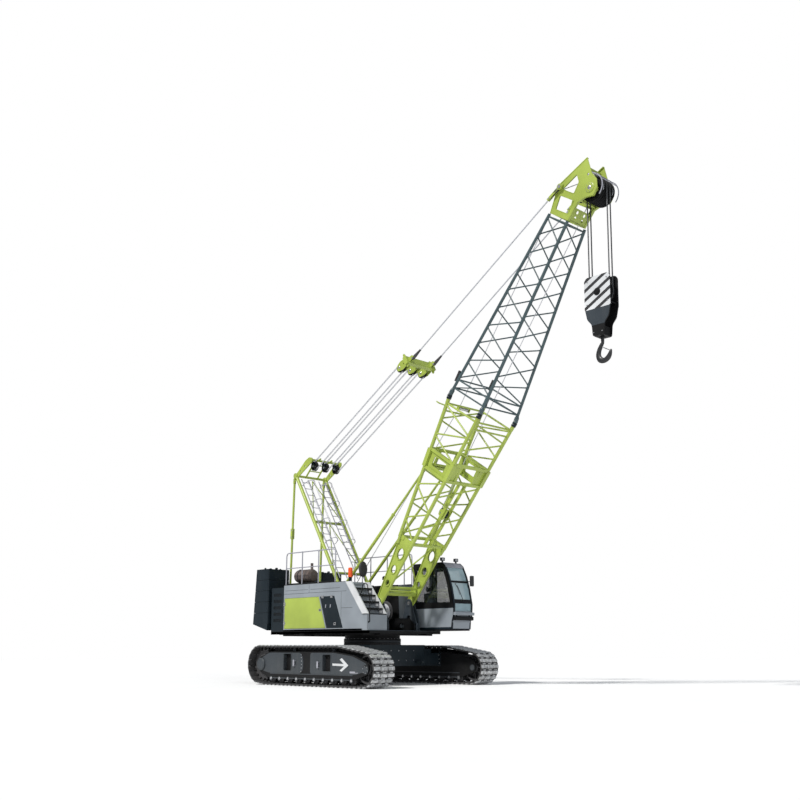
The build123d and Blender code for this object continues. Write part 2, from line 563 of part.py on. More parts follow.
GRAB_R, GRAB_OUT, GRAB_LOW = 14.0, 45.0, 1830.0
GRAB_FOOT_Z, GRAB_HIGH = 2600.0, 2940.0
tilt = hypot(1.0, lean)
away = (1.0 / tilt, lean / tilt)                   # square to the stringers
grab_y = -HOUSE_OUT + STRINGER / 2
grab_foot = (slope_x(GRAB_FOOT_Z) + STAIR_STEP_X, GRAB_FOOT_Z)
grab_x = box_x[1] + GRAB_OUT
grab_rail = rail([(x, grab_y, z) for x, z in (
    (grab_foot[0] + SEAT * away[0], grab_foot[1] + SEAT * away[1]),
    (grab_foot[0] + 130 * away[0], grab_foot[1] + 130 * away[1]),
    (grab_foot[0] + 160, GRAB_HIGH), (grab_x - 120, GRAB_HIGH - 20), (grab_x, GRAB_FOOT_Z - 150),
    (grab_x, GRAB_LOW), (box_x[1] + SEAT, GRAB_LOW))], GRAB_R)
save("hand_rails", fence(-HOUSE_OUT + 30, RAIL_POSTS_X), fence(HOUSE_OUT - 30, RAIL_POSTS_X + (250.0,)),
     grab_rail)

MUFFLER_X, MUFFLER_Z, MUFFLER_R = (-2450.0, -1650.0), 3330.0, 190.0
MUFFLER_Y = -(HOUSE_IN + 280)
muffler = rod((MUFFLER_X[0], MUFFLER_Y, MUFFLER_Z), (MUFFLER_X[1], MUFFLER_Y, MUFFLER_Z), MUFFLER_R)
for index in range(8):
    x = MUFFLER_X[0] + 70 + 90 * index
    muffler += rod((x, MUFFLER_Y, MUFFLER_Z), (x + 30, MUFFLER_Y, MUFFLER_Z), MUFFLER_R + 15)
for x in (MUFFLER_X[0] + 200, MUFFLER_X[1] - 200):
    muffler += block(x - 50, x + 50, MUFFLER_Y - 60, MUFFLER_Y + 60, HOUSE_TOP + SEAT, MUFFLER_Z - 130)
pipe_x = MUFFLER_X[1] - 110
muffler += rod((pipe_x, MUFFLER_Y, MUFFLER_Z + 70), (pipe_x, MUFFLER_Y, MUFFLER_Z + 390), 45)
save("muffler", muffler)

BEACON_X, BEACON_Y = HOUSE_FRONT_TOP - 70, -(HOUSE_OUT + 2 * HOUSE_IN) / 2.4
beacon = rod((BEACON_X, BEACON_Y, HOUSE_TOP + SEAT), (BEACON_X, BEACON_Y, HOUSE_TOP + 150), 50)
beacon += rod((BEACON_X, BEACON_Y, HOUSE_TOP + 140), (BEACON_X, BEACON_Y, HOUSE_TOP + 430), 70)
save("beacon", beacon)

# Cab
FRONT_EDGE = 60.0
front_line = [(CAB_NOSE_X - back, z) for back, z in CAB_FRONT]
inner_line = [(x - CAB_WALL * 1.1, min(max(z, CAB_BOTTOM + CAB_WALL), CAB_TOP - CAB_WALL))
              for x, z in front_line]
cab_side = [(CAB_REAR, CAB_BOTTOM), (CAB_REAR, CAB_TOP)] + front_line
inner_rear = [(CAB_REAR + CAB_WALL, z) for z in (CAB_BOTTOM + CAB_WALL, CAB_TOP - CAB_WALL)]
cab_inner = inner_rear + inner_line


def front_x(z, back=0.0):
    for (xa, za), (xb, zb) in zip(front_line, front_line[1:]):
        if zb <= z <= za:
            return xb + (xa - xb) * (z - zb) / (za - zb) - back
    return front_line[-1][0] - back


def side_opening(rear_x, low, high, edge):
    levels = [z for _, z in CAB_FRONT if low < z < high]
    front = [(front_x(z, edge), z) for z in [high] + levels + [low]]
    return [(rear_x, low), (rear_x, high)] + front


WINDOW_LOW, WINDOW_HIGH = 2420.0, 3500.0
DOOR_SILL, DOOR_TOP = 1720.0, 3540.0
side_window = side_opening(CAB_REAR + 140, WINDOW_LOW, WINDOW_HIGH, 130)
door_hole = side_opening(CAB_REAR + 130, DOOR_SILL, DOOR_TOP, 120)
door_window = side_opening(CAB_REAR + 230, WINDOW_LOW, WINDOW_HIGH - 60, 215)
glass_y = (CAB_IN + FRONT_EDGE, CAB_OUT - FRONT_EDGE)
PANES_Z = ((3080.0, 3480.0), (2520.0, 3020.0), (2170.0, 2400.0))
ROOF_PANE = (1300.0, 1900.0, CAB_IN + 160, CAB_OUT - 160)       # x0, x1, y0, y1
REAR_PANE = (CAB_IN + 120, CAB_OUT - 120, 2500.0, 3450.0)       # y0, y1, z0, z1
shell = sheet_xz(cab_side, CAB_IN, CAB_OUT) - sheet_xz(cab_inner, CAB_IN + CAB_WALL, CAB_OUT - CAB_WALL)
shell -= sheet_xz(side_window, CAB_IN - 10, CAB_IN + CAB_WALL + 10)
shell -= sheet_xz(door_hole, CAB_OUT - CAB_WALL - 10, CAB_OUT + 10)
for low, high in PANES_Z:
    shell -= block(front_x(high) - 150, CAB_NOSE_X + 100, *glass_y, low, high)
shell -= block(*ROOF_PANE, CAB_TOP - 60, CAB_TOP + 10)
shell -= block(CAB_REAR - 10, CAB_REAR + 60, *REAR_PANE)
shell += block(CAB_REAR, front_x(CAB_BOTTOM) - 40, CAB_IN, CAB_OUT, DECK_TOP + SEAT, CAB_BOTTOM + 1)
shell += block(front_x(2060) - 20, CAB_NOSE_X + 70, CAB_IN, CAB_OUT, 2050, 2140)
shell += block(front_x(1900) - 10, CAB_NOSE_X + 50, CAB_IN + 20, CAB_OUT - 20, 1900, 2020)
save("cab_shell", shell)


def shrunk(points, amount):
    return grown(points, -amount)


door = sheet_xz(shrunk(door_hole, DOOR_GAP), CAB_OUT - CAB_WALL, CAB_OUT)
door -= sheet_xz(door_window, CAB_OUT - CAB_WALL - 10, CAB_OUT + 10)
door += block(1980, 2100, CAB_OUT - 5, CAB_OUT + 30, 2280, 2310)
door = fused([door] + upright_hinges(door_hole[0][0] + DOOR_GAP, CAB_OUT, 1, (1950, 3250)))
save("cab_door", door)
save("cab_door_glass", sheet_xz(shrunk(door_window, SEAT), CAB_OUT - 30, CAB_OUT - 22))

PANE = 8.0
panes = [sheet_xz(shrunk(side_window, SEAT), CAB_IN + 20, CAB_IN + 20 + PANE)]
for low, high in PANES_Z:
    levels = [high - SEAT] + [z for _, z in CAB_FRONT if low < z < high] + [low + SEAT]
    strip = [(front_x(z, 16), z) for z in levels] + [(front_x(z, 16 + PANE), z) for z in levels[::-1]]
    panes.append(sheet_xz(strip, glass_y[0] + SEAT, glass_y[1] - SEAT))
x0, x1, y0, y1 = ROOF_PANE
panes.append(block(x0 + SEAT, x1 - SEAT, y0 + SEAT, y1 - SEAT, CAB_TOP - 30, CAB_TOP - 30 + PANE))
y0, y1, z0, z1 = REAR_PANE
panes.append(block(CAB_REAR + 20, CAB_REAR + 20 + PANE, y0 + SEAT, y1 - SEAT, z0 + SEAT, z1 - SEAT))
save("cab_glass", *panes)

seat_floor = CAB_BOTTOM + CAB_WALL + SEAT
seat_x, seat_y = CAB_REAR + 640, (CAB_IN + CAB_OUT) / 2
seat = block(seat_x - 200, seat_x + 200, seat_y - 150, seat_y + 150, seat_floor, seat_floor + 270)
seat += block(seat_x - 290, seat_x + 260, seat_y - 240, seat_y + 240, seat_floor + 269, seat_floor + 400)
for half, outline in (
    (220, ((-340, 370), (-220, 370), (-300, 1070), (-400, 1070))),
    (110, ((-400, 1090), (-310, 1090), (-325, 1270), (-405, 1270))),
    (40, ((-390, 1050), (-320, 1050), (-320, 1110), (-390, 1110))),
):
    seat += sheet_xz([(seat_x + x, seat_floor + z) for x, z in outline], seat_y - half, seat_y + half)
save("operator_seat", seat)
controls = []
for sign in (-1, 1):
    y = seat_y + sign * 300
    x = seat_x + 310
    lever = rod((x - 30, y, seat_floor + 510), (x, y, seat_floor + 730), 16)
    lever += Pos(x, y, seat_floor + 740) * Sphere(32)
    controls.append(block(x - 430, x + 70, y - 50, y + 50, seat_floor, seat_floor + 530) + lever)
pedals = block(seat_x + 680, seat_x + 810, seat_y - 120, seat_y + 120, seat_floor, seat_floor + 90)
for y in (seat_y - 60, seat_y + 60):
    pedals += rod((seat_x + 740, y, seat_floor + 80), (seat_x + 700, y, seat_floor + 510), 14)
save("cab_controls", *controls, pedals)

lamps = []
LAMP_X, LAMP_HALF = front_line[0][0] - 80, 70.0
for y in (CAB_IN + 120, CAB_OUT - 120):
    stem = block(LAMP_X - 20, LAMP_X + 20, y - 20, y + 20, CAB_TOP + SEAT, CAB_TOP + 70)
    case = block(LAMP_X - 50, LAMP_X + 40, y - LAMP_HALF, y + LAMP_HALF, CAB_TOP + 50, CAB_TOP + 150)
    lamps.append(stem + case)
save("work_lamps", *lamps)

# Mirrors: one on the cab's outer front corner, one on a post at the head of the stairs
ARM_Z = 3080.0
arm_x = front_x(ARM_Z, 90)
cab_mirror = block(arm_x - 40, arm_x + 10, CAB_OUT + SEAT, CAB_OUT + 20, ARM_Z - 30, ARM_Z + 30)
cab_mirror += rod((arm_x, CAB_OUT + 13, ARM_Z), (arm_x + 190, CAB_OUT + 60, ARM_Z), 12)
cab_mirror += block(arm_x + 170, arm_x + 200, CAB_OUT - 30, CAB_OUT + 130, ARM_Z - 150, ARM_Z + 170)
POST_X, POST_Y, POST_R = HOUSE_FRONT_TOP - 40, -HOUSE_IN - 35, 16.0
OVAL_Z, OVAL_WIDE, OVAL_HIGH = HOUSE_TOP + 400, 165.0, 240.0
oval = [(POST_Y + OVAL_WIDE * cos(pi * k / 6), OVAL_Z + OVAL_HIGH * sin(pi * k / 6)) for k in range(12)]
post_mirror = rod((POST_X, POST_Y, HOUSE_TOP + SEAT), (POST_X, POST_Y, OVAL_Z), POST_R)
post_mirror += sheet_yz(oval, POST_X + 5, POST_X + 65)
save("mirrors", cab_mirror, post_mirror)

# Gantry
leg_top = (GANTRY_TOP[0], GANTRY_TOP[1])
legs = []
for sign in (-1, 1):
    y = sign * GANTRY_Y
    legs.append(rod((LEG_FOOT[0], y, LEG_FOOT[1]), (leg_top[0], y, leg_top[1]), GANTRY_R))
    legs.append(disc(LEG_FOOT[0], LEG_FOOT[1], y - 40, y + 40, 75))
    legs.append(disc(LEG_FOOT[0], LEG_FOOT[1], sign * (BEAM_Y[0] - 6), y, PIN_R))
    legs.append(disc(leg_top[0], leg_top[1], y - 60, y + 60, 90))
    legs.append(block(leg_top[0] - 130, leg_top[0] - 20, y - 12, y + 12, leg_top[1] - 190, leg_top[1]))
for share in (0.30, 0.66, 1.0):
    x = LEG_FOOT[0] + (leg_top[0] - LEG_FOOT[0]) * share
    z = LEG_FOOT[1] + (leg_top[1] - LEG_FOOT[1]) * share
    legs.append(rod((x, -GANTRY_Y, z), (x, GANTRY_Y, z), 40))
head_side = [(GANTRY_SHEAVE[0] + x, GANTRY_SHEAVE[1] + z) for x, z in GANTRY_HEAD]
for y in (-GANTRY_Y, GANTRY_Y):
    legs.append(sheet_xz(head_side, y - 20, y + 20))
legs.append(rod((GANTRY_SHEAVE[0] - 70, -GANTRY_Y, GANTRY_SHEAVE[1] + 30),
                (GANTRY_SHEAVE[0] - 70, GANTRY_Y, GANTRY_SHEAVE[1] + 30), 36))
gantry = fused(legs)
save("gantry_legs", gantry)
luff_sheaves = []
HANGER = ((-130, -6.3), (-10, -6.3), (50, -240), (-50, -240))
for y in SHEAVE_YS:
    wheel = grooved(GANTRY_SHEAVE[0], GANTRY_SHEAVE[1] - 190, y, 45, LUFF_SHEAVE_R, LUFF_SHEAVE_R - 25)
    for dy in (-65, 65):
        hanger = [(GANTRY_SHEAVE[0] + x, GANTRY_SHEAVE[1] + z) for x, z in HANGER]
        wheel += sheet_xz(hanger, y + dy - 8, y + dy + 8)
    wheel += disc(GANTRY_SHEAVE[0], GANTRY_SHEAVE[1] - 190, y - 80, y + 80, 30)
    luff_sheaves.append(wheel)
save("gantry_sheaves", *luff_sheaves)

stays = []
for sign in (-1, 1):
    y = sign * GANTRY_Y
    middle = 0.62
    x = STAY_FOOT[0] + (leg_top[0] - 90 - STAY_FOOT[0]) * middle
    z = STAY_FOOT[1] + (leg_top[1] - STAY_FOOT[1]) * middle
    stay = rod((STAY_FOOT[0], y, STAY_FOOT[1]), (leg_top[0] - 90, y, leg_top[1] - 200), STAY_R)
    stay += disc(STAY_FOOT[0], STAY_FOOT[1], y - 36, y + 36, 60)
    stay += disc(STAY_FOOT[0], STAY_FOOT[1], sign * (BEAM_Y[0] - 6), sign * (BEAM_Y[1] + 40), PIN_R)
    stay += block(x - 50, x + 50, y - 50, y + 50, z - 130, z + 130)
    for side in (-1, 1):
        stay += block(leg_top[0] - 125, leg_top[0] - 55, y + side * 12.3, y + side * 34, leg_top[1] - 260,
                      leg_top[1] - 90)
    stays.append(stay)
save("gantry_backstays", *stays)

ladders = []
leg_run = hypot(leg_top[0] - LEG_FOOT[0], leg_top[1] - LEG_FOOT[1])
leg_u = ((leg_top[0] - LEG_FOOT[0]) / leg_run, (leg_top[1] - LEG_FOOT[1]) / leg_run)
CROSS_R, RAIL_BAR_R, HOOP_R = 40.0, 16.0, 10.0
HOOPS = (0.50, 0.64, 0.78, 0.92)      # shares of the leg's length
rail_off = CROSS_R + RAIL_BAR_R + SEAT


def along_leg(distance):
    return (LEG_FOOT[0] + leg_u[0] * distance - leg_u[1] * rail_off,
            LEG_FOOT[1] + leg_u[1] * distance + leg_u[0] * rail_off)


for sign in (-1, 1):
    y0, y1 = sign * (GANTRY_Y - 400), sign * (GANTRY_Y - 110)
    (xa, za), (xb, zb) = along_leg(leg_run * 0.26), along_leg(leg_run * 0.97)
    ladder = [rod((xa, y, za), (xb, y, zb), RAIL_BAR_R) for y in (y0, y1)]
    for step in range(13):
        x, z = along_leg(leg_run * (0.28 + 0.055 * step))
        ladder.append(bar((x, y0, z), (x, y1, z), 12))
    for share in HOOPS:
        (x, z), middle, half = along_leg(leg_run * share), (y0 + y1) / 2, abs(y1 - y0) / 2
        arch = [(middle - half, 0), (middle - half, 220), (middle - half / 2, 330), (middle + half / 2, 330),
                (middle + half, 220), (middle + half, 0)]
        arch = [(x - leg_u[1] * up, y, z + leg_u[0] * up) for y, up in arch]
        ladder += [bar(a, b, HOOP_R) for a, b in zip(arch, arch[1:])]
    ladders.append(fused(ladder))
save("gantry_ladders", *ladders)

# Boom: built along its own axis, l along X and h along Z, then stood up on its foot pin
stand = Pos(FOOT_X, 0, FOOT_Z) * Rot(0, -BOOM_ANGLE, 0)


def boom_point(x, z):
    turn = radians(BOOM_ANGLE)
    dx, dz = x - FOOT_X, z - FOOT_Z
    return dx * cos(turn) + dz * sin(turn), -dx * sin(turn) + dz * cos(turn)


def mix(a, b, share):
    return a + (b - a) * share


def boom_corner(l, sy, sh):
    if l <= BUTT_LENGTH:
        share = l / BUTT_LENGTH
        return (l, sy * mix(*BUTT_HALF_WIDTH, share), sh * mix(*BUTT_HALF_DEPTH, share))
    share = (l - BUTT_LENGTH) / (HEAD_START - BUTT_LENGTH)
    return (l, sy * mix(BUTT_HALF_WIDTH[1], TOP_HALF_WIDTH, share),
            sh * mix(BUTT_HALF_DEPTH[1], TOP_HALF_DEPTH, share))


CORNERS = ((-1, 1), (1, 1), (1, -1), (-1, -1))


def chords(l0, l1, chord_r):
    return [rod(boom_corner(l0, *c), boom_corner(l1, *c), chord_r) for c in CORNERS]


def lacing(l0, l1, bays):
    pieces = []
    for face in range(4):
        a, b = CORNERS[face], CORNERS[(face + 1) % 4]
        for step in range(bays):
            la, lb = mix(l0, l1, step / bays), mix(l0, l1, (step + 1) / bays)
            first, second = (a, b) if step % 2 == 0 else (b, a)
            pieces.append(bar(boom_corner(la, *first), boom_corner(lb, *second), LACE_R))
    return pieces


def cross_frame(l, radius, sides=6):
    corners = [boom_corner(l, *c) for c in CORNERS]
    return [bar(a, b, radius, sides) for a, b in zip(corners, corners[1:] + corners[:1])]


butt = chords(BUTT_PLATE_END - 60, BUTT_LENGTH - 70, CHORD_R)
butt += lacing(BUTT_PLATE_END - 30, BOX_FRAME[0] - 60, 4) + lacing(BOX_FRAME[1] - 40, BUTT_LENGTH - 270, 3)
side_plate_outline = [(-110, -60), (-60, -125), (60, -125), (BUTT_PLATE_END, -295), (BUTT_PLATE_END, 295),
                      (60, 125), (-60, 125), (-110, 60)]
for sign in (-1, 1):
    lug_side = (sign * (FOOT_Y - FOOT_LUG_THICK / 2), sign * (FOOT_Y + FOOT_LUG_THICK / 2))
    cheek = sheet_xz(side_plate_outline, *lug_side)
    for l, r in ((640, 75), (1080, 95), (1560, 120)):
        cheek -= disc(l, 0, sign * 560, sign * 720, r)
    butt.append(cheek)
    butt.append(disc(0, 0, sign * (foot_y[0] - 42), sign * (foot_y[1] + 34), FOOT_PIN_R))
for l, h in ((330, 60), (330, -60), (2090, 240), (2090, -240)):
    butt.append(block(l - 40, l + 40, -FOOT_Y, FOOT_Y, h - 40, h + 40))
for l in BOX_FRAME:
    butt += cross_frame(l, 55, 4)
butt += cross_frame(BUTT_LENGTH - 250, 28)
for c in CORNERS:
    a, b = boom_corner(BUTT_LENGTH - 160, *c), boom_corner(BUTT_LENGTH + 20, *c)
    butt.append(rod(a, b, 75))
for a, b in zip(CORNERS, CORNERS[1:] + CORNERS[:1]):
    butt.append(bar(boom_corner(BUTT_LENGTH - 120, *a), boom_corner(BUTT_LENGTH - 120, *b), 34))
tip_l, tip_h = boom_point(*STOP_TIP)
cross_l, cross_y, cross_h = boom_corner(tip_l + 250, 1, 1)
for sign in (-1, 1):
    lug_y = (STOP_Y - 75, STOP_Y - 45)
    butt.append(sheet_xz([(tip_l - 80, tip_h + 60), (tip_l + 80, tip_h + 60), (cross_l + 80, cross_h - 70),
                          (cross_l - 80, cross_h - 70)], sign * lug_y[0], sign * lug_y[1]))
    butt.append(disc(tip_l, tip_h, sign * (lug_y[0] - 12), sign * lug_y[1], 26))
butt.append(rod((cross_l, -cross_y, cross_h), (cross_l, cross_y, cross_h), 40))
WIDE = 1000.0         # half size of the blocks that trim the boom's ends
butt = fused(butt) - block(BUTT_LENGTH - SEAT, BUTT_LENGTH + WIDE, -WIDE, WIDE, -WIDE, WIDE)
save("boom_butt", stand * butt)

top = chords(BUTT_LENGTH + 60, HEAD_START + 20, TOP_CHORD_R)
top += lacing(BUTT_LENGTH + 530, HEAD_START - 100, 9)
for l in (BUTT_LENGTH + 230, BUTT_LENGTH + 490, HEAD_START - 90):
    top += cross_frame(l, LACE_R)
for c in CORNERS:
    top.append(rod(boom_corner(BUTT_LENGTH - 20, *c), boom_corner(BUTT_LENGTH + 150, *c), 70))
top = fused(top) - block(BUTT_LENGTH - WIDE, BUTT_LENGTH, -WIDE, WIDE, -WIDE, WIDE)
top -= block(HEAD_START - SEAT, HEAD_START + WIDE, -WIDE, WIDE, -WIDE, WIDE)
save("boom_top", stand * top)

head_l, head_h = boom_point(*HEAD_AXIS)
head_side = [(HEAD_START + l, h) for l, h in (
    (0, -350), (0, 350), (620, 470), (780, 470), (1670, -50), (1340, -420), (1250, -660), (1060, -800),
    (840, -800), (710, -560), (520, -400))]
HEAD_WINDOWS = (
    ((140, -250), (140, 240), (540, 300), (540, -280)),
    ((680, -160), (680, 320), (1200, 40), (1020, -160)),
)
head, head_half = [], TOP_HALF_WIDTH - 5
for sign in (-1, 1):
    plate = sheet_xz(head_side, sign * (TOP_HALF_WIDTH - HEAD_PLATE_THICK), sign * TOP_HALF_WIDTH)
    for window in HEAD_WINDOWS:
        plate -= sheet_xz([(HEAD_START + l, h) for l, h in window], sign * (TOP_HALF_WIDTH - 80),
                          sign * (TOP_HALF_WIDTH + 60))
    head.append(plate)
    head.append(disc(PENDANT_HIGH[0], PENDANT_HIGH[1], sign * TOP_HALF_WIDTH, sign * 500, 32))
    for (la, ha), (lb, hb) in zip(head_side[1:4], head_side[2:5]):      # the rim along the upper edge
        flange = [(la, ha), (lb, hb), (lb, hb - 22), (la, ha - 22)]
        head.append(sheet_xz(flange, sign * (TOP_HALF_WIDTH - 60), sign * TOP_HALF_WIDTH))
for l0, l1, h0, h1 in ((0, 80, 270, 340), (0, 50, -340, -290), (620, 720, 380, 450), (1400, 1480, -60, 0)):
    head.append(block(HEAD_START + l0 + SEAT, HEAD_START + l1, -head_half, head_half, h0, h1))
BELLY_LENGTH = 380.0      # ends short of the falls with the boom at its highest
belly = block(HEAD_START + SEAT, HEAD_START + BELLY_LENGTH, -head_half, head_half, -345, -330)
for l in (0.35 * BELLY_LENGTH, 0.75 * BELLY_LENGTH):
    for y in (-150, 150):
        belly -= Pos(HEAD_START + l, y, -338) * Cylinder(45, 60)
head.append(belly)
GUARD_R, GUARD_BAR_R, GUARD_HALF = HEAD_SHEAVE_R + 40, 11.0, TOP_HALF_WIDTH - 10
for turn in (-30, 0, 30):     # bars that keep the ropes in the grooves, between two curved arms
    t = radians(turn)
    l, h = head_l + GUARD_R * cos(t), head_h + GUARD_R * sin(t)
    head.append(bar((l, -GUARD_HALF, h), (l, GUARD_HALF, h), GUARD_BAR_R))
for sign in (-1, 1):
    turns = (-100, -60, -30, 0, 30, 60)
    arm = [(GUARD_R + 15, t) for t in turns] + [(GUARD_R - 15, t) for t in turns[::-1]]
    arm = [(head_l + r * cos(radians(t)), head_h + r * sin(radians(t))) for r, t in arm]
    head.append(sheet_xz(arm, sign * (GUARD_HALF - 12), sign * GUARD_HALF))
head = fused(head)
head -= disc(head_l, head_h, -TOP_HALF_WIDTH - 40, TOP_HALF_WIDTH + 40, 60 + BORE_GAP)
save("boom_head", stand * head)

sheaves = [disc(HEAD_AXIS[0], HEAD_AXIS[1], -(TOP_HALF_WIDTH + 10), TOP_HALF_WIDTH + 10, 60)]
for y in (-210, -70, 70, 210):
    sheaves.append(grooved(HEAD_AXIS[0], HEAD_AXIS[1], y, 52, HEAD_SHEAVE_R, HEAD_GROOVE_R))
    sheaves.append(disc(HEAD_AXIS[0], HEAD_AXIS[1], y - 70, y + 70, 90))
save("head_sheaves", fused(sheaves))

# Pendants and spreader
high_x = FOOT_X + PENDANT_HIGH[0] * cos(radians(BOOM_ANGLE)) - PENDANT_HIGH[1] * sin(radians(BOOM_ANGLE))
high_z = FOOT_Z + PENDANT_HIGH[0] * sin(radians(BOOM_ANGLE)) + PENDANT_HIGH[1] * cos(radians(BOOM_ANGLE))
pendants = []
for sign in (-1, 1):
    y = sign * PENDANT_Y
    eye = disc(high_x, high_z, y - 30, y + 30, 85) - disc(high_x, high_z, y - 40, y + 40, 33)
    run = hypot(high_x - PENDANT_LOW[0], high_z - PENDANT_LOW[1])
    ux, uz = (high_x - PENDANT_LOW[0]) / run, (high_z - PENDANT_LOW[1]) / run
    low_x, low_z = PENDANT_LOW[0] - ux * PENDANT_TAIL, PENDANT_LOW[1] - uz * PENDANT_TAIL
    line = rod((low_x, y, low_z), (high_x - ux * 60, y, high_z - uz * 60), PENDANT_R)
    line += disc(low_x, low_z, y - CLEVIS_HALF + SEAT, y + CLEVIS_HALF - SEAT, 48)
    line -= disc(low_x, low_z, y - 60, y + 60, 20 + BORE_GAP)
    line += rod((high_x - ux * 420, y, high_z - uz * 420), (high_x - ux * 60, y, high_z - uz * 60), 34)
    line += eye
    pendants.append(line)
save("boom_pendants", *pendants)
spread_turn = atan2(PENDANT_LOW[1] - SPREADER[1], PENDANT_LOW[0] - SPREADER[0])


def spread(along, up):
    return (SPREADER[0] + along * cos(spread_turn) - up * sin(spread_turn),
            SPREADER[1] + along * sin(spread_turn) + up * cos(spread_turn))


spreader = []
beam = [spread(300, -120), spread(420, -120), spread(420, 120), spread(300, 120)]
spreader.append(sheet_xz(beam, -600, 600))
for y in SHEAVE_YS:
    for dy in (-75, 75):
        cheek = [spread(-90, -60), spread(-90, 60), spread(310, 110), spread(310, -110)]
        spreader.append(sheet_xz(cheek, y + dy - 9, y + dy + 9))
    spreader.append(disc(SPREADER[0], SPREADER[1], y - 95, y + 95, 32))
    spreader.append(grooved(SPREADER[0], SPREADER[1], y, 45, LUFF_SHEAVE_R, LUFF_SHEAVE_R - 25))
for sign in (-1, 1):
    y = sign * PENDANT_Y
    clevis = [spread(410, -70), spread(410, 70), spread(620, 55), spread(620, -35)]
    for dy in (-1, 1):
        spreader.append(sheet_xz(clevis, y + dy * CLEVIS_HALF, y + dy * (CLEVIS_HALF + 22)))
    spreader.append(disc(low_x, low_z, y - CLEVIS_HALF - 28, y + CLEVIS_HALF + 28, 20))
save("luff_spreader", fused(spreader))

# Hoist falls, hook block and hook
falls = []
for sx in (-1, 1):
    for sy in (-1, 1):
        falls.append(rod((HEAD_AXIS[0] + sx * FALL_X, sy * FALL_Y, BLOCK_AXIS_Z),
                         (HEAD_AXIS[0] + sx * FALL_X, sy * FALL_Y, HEAD_AXIS[1]), FALL_R))
save("hoist_falls", *falls)

hx = HEAD_AXIS[0]
half_cheek = [(330, BLOCK_TOP), (400, BLOCK_TOP - 90), (400, BLOCK_AXIS_Z - 380), (330, BLOCK_AXIS_Z - 700),
              (200, BLOCK_BOTTOM + 320), (170, BLOCK_BOTTOM)]
cheek = [(hx + x, z) for x, z in half_cheek] + [(hx - x, z) for x, z in half_cheek[::-1]]
hook_block = []
for sign in (-1, 1):
    hook_block.append(sheet_xz(cheek, sign * CHEEK_Y[0], sign * CHEEK_Y[1]))
hook_block.append(disc(hx, BLOCK_AXIS_Z, -CHEEK_Y[1] - 25, CHEEK_Y[1] + 25, 55))
for y in (-FALL_Y, FALL_Y):
    hook_block.append(grooved(hx, BLOCK_AXIS_Z, y, 50, HEAD_SHEAVE_R, HEAD_GROOVE_R))
inner_y = (-CHEEK_Y[0] - 5, CHEEK_Y[0] + 5)
hook_block.append(block(hx - 150, hx + 150, *inner_y, BLOCK_BOTTOM, BLOCK_BOTTOM + 240))
tie_z = (BLOCK_AXIS_Z - 530, BLOCK_AXIS_Z - 420)
hook_block.append(block(hx - 60, hx + 60, *inner_y, *tie_z))
hook_block = fused(hook_block)
hook_block -= Pos(hx, 0, BLOCK_BOTTOM + 100) * Cylinder(46 + RUN_GAP, 400)
save("hook_block", hook_block)

shank = rod((hx, 0, BLOCK_BOTTOM - 210), (hx, 0, BLOCK_BOTTOM + 290), 46)
shank += rod((hx, 0, BLOCK_BOTTOM + 240 + SEAT), (hx, 0, BLOCK_BOTTOM + 300 + SEAT), 85)
HOOK_BOW = [(-46, 8830), (-150, 8700), (-225, 8560), (-190, 8400), (-70, 8300), (60, 8290), (190, 8350),
             (270, 8480), (280, 8600), (235, 8640), (190, 8560), (120, 8470), (20, 8430), (-70, 8480),
             (-90, 8570), (-40, 8660), (46, 8760), (46, 8830)]
shank += sheet_xz([(hx + x, z) for x, z in HOOK_BOW], -45, 45)
save("hook", shank)

# Backstops
stop_run = hypot(STOP_TIP[0] - STOP_FOOT[0], STOP_TIP[1] - STOP_FOOT[1])
stop_u = ((STOP_TIP[0] - STOP_FOOT[0]) / stop_run, (STOP_TIP[1] - STOP_FOOT[1]) / stop_run)


def along_stop(distance, y):
    return (STOP_FOOT[0] + stop_u[0] * distance, y, STOP_FOOT[1] + stop_u[1] * distance)


tubes, rods = [], []
for sign in (-1, 1):
    y = sign * STOP_Y
    tube = rod(along_stop(60, y), along_stop(STOP_TUBE_LENGTH, y), STOP_TUBE_R)
    tube -= rod(along_stop(160, y), along_stop(STOP_TUBE_LENGTH + 10, y), STOP_BORE_R)
    tube += disc(STOP_FOOT[0], STOP_FOOT[1], y - 40, y + 40, 70)
    tube += disc(STOP_FOOT[0], STOP_FOOT[1], y, sign * (STOP_Y + 92), 30)
    tubes.append(tube)
    stop_rod = rod(along_stop(stop_run - STOP_ROD_LENGTH, y), along_stop(stop_run - 30, y), STOP_ROD_R)
    stop_rod += disc(STOP_TIP[0], STOP_TIP[1], sign * (STOP_Y - 37), sign * (STOP_Y + 34), 50)
    rods.append(stop_rod)
save("backstop_tubes", *tubes)
save("backstop_rods", *rods)

# Luffing ropes: one set leaves the gantry sheaves, the other runs beside it to the spreader
LUFF_ROPE_R = 9.0
LUFF_SPLIT, LUFF_LAP, LUFF_SHORT = 2420.0, 60.0, 320.0
luff_from = (GANTRY_SHEAVE[0], GANTRY_SHEAVE[1] - 190)
luff_run = hypot(SPREADER[0] - luff_from[0], SPREADER[1] - luff_from[1])
luff_u = ((SPREADER[0] - luff_from[0]) / luff_run, (SPREADER[1] - luff_from[1]) / luff_run)
luff_up = LUFF_SHEAVE_R - 25 + LUFF_ROPE_R + SEAT


def along_luff(distance, y):
    return (luff_from[0] + luff_u[0] * distance - luff_u[1] * luff_up, y,
            luff_from[1] + luff_u[1] * distance + luff_u[0] * luff_up)


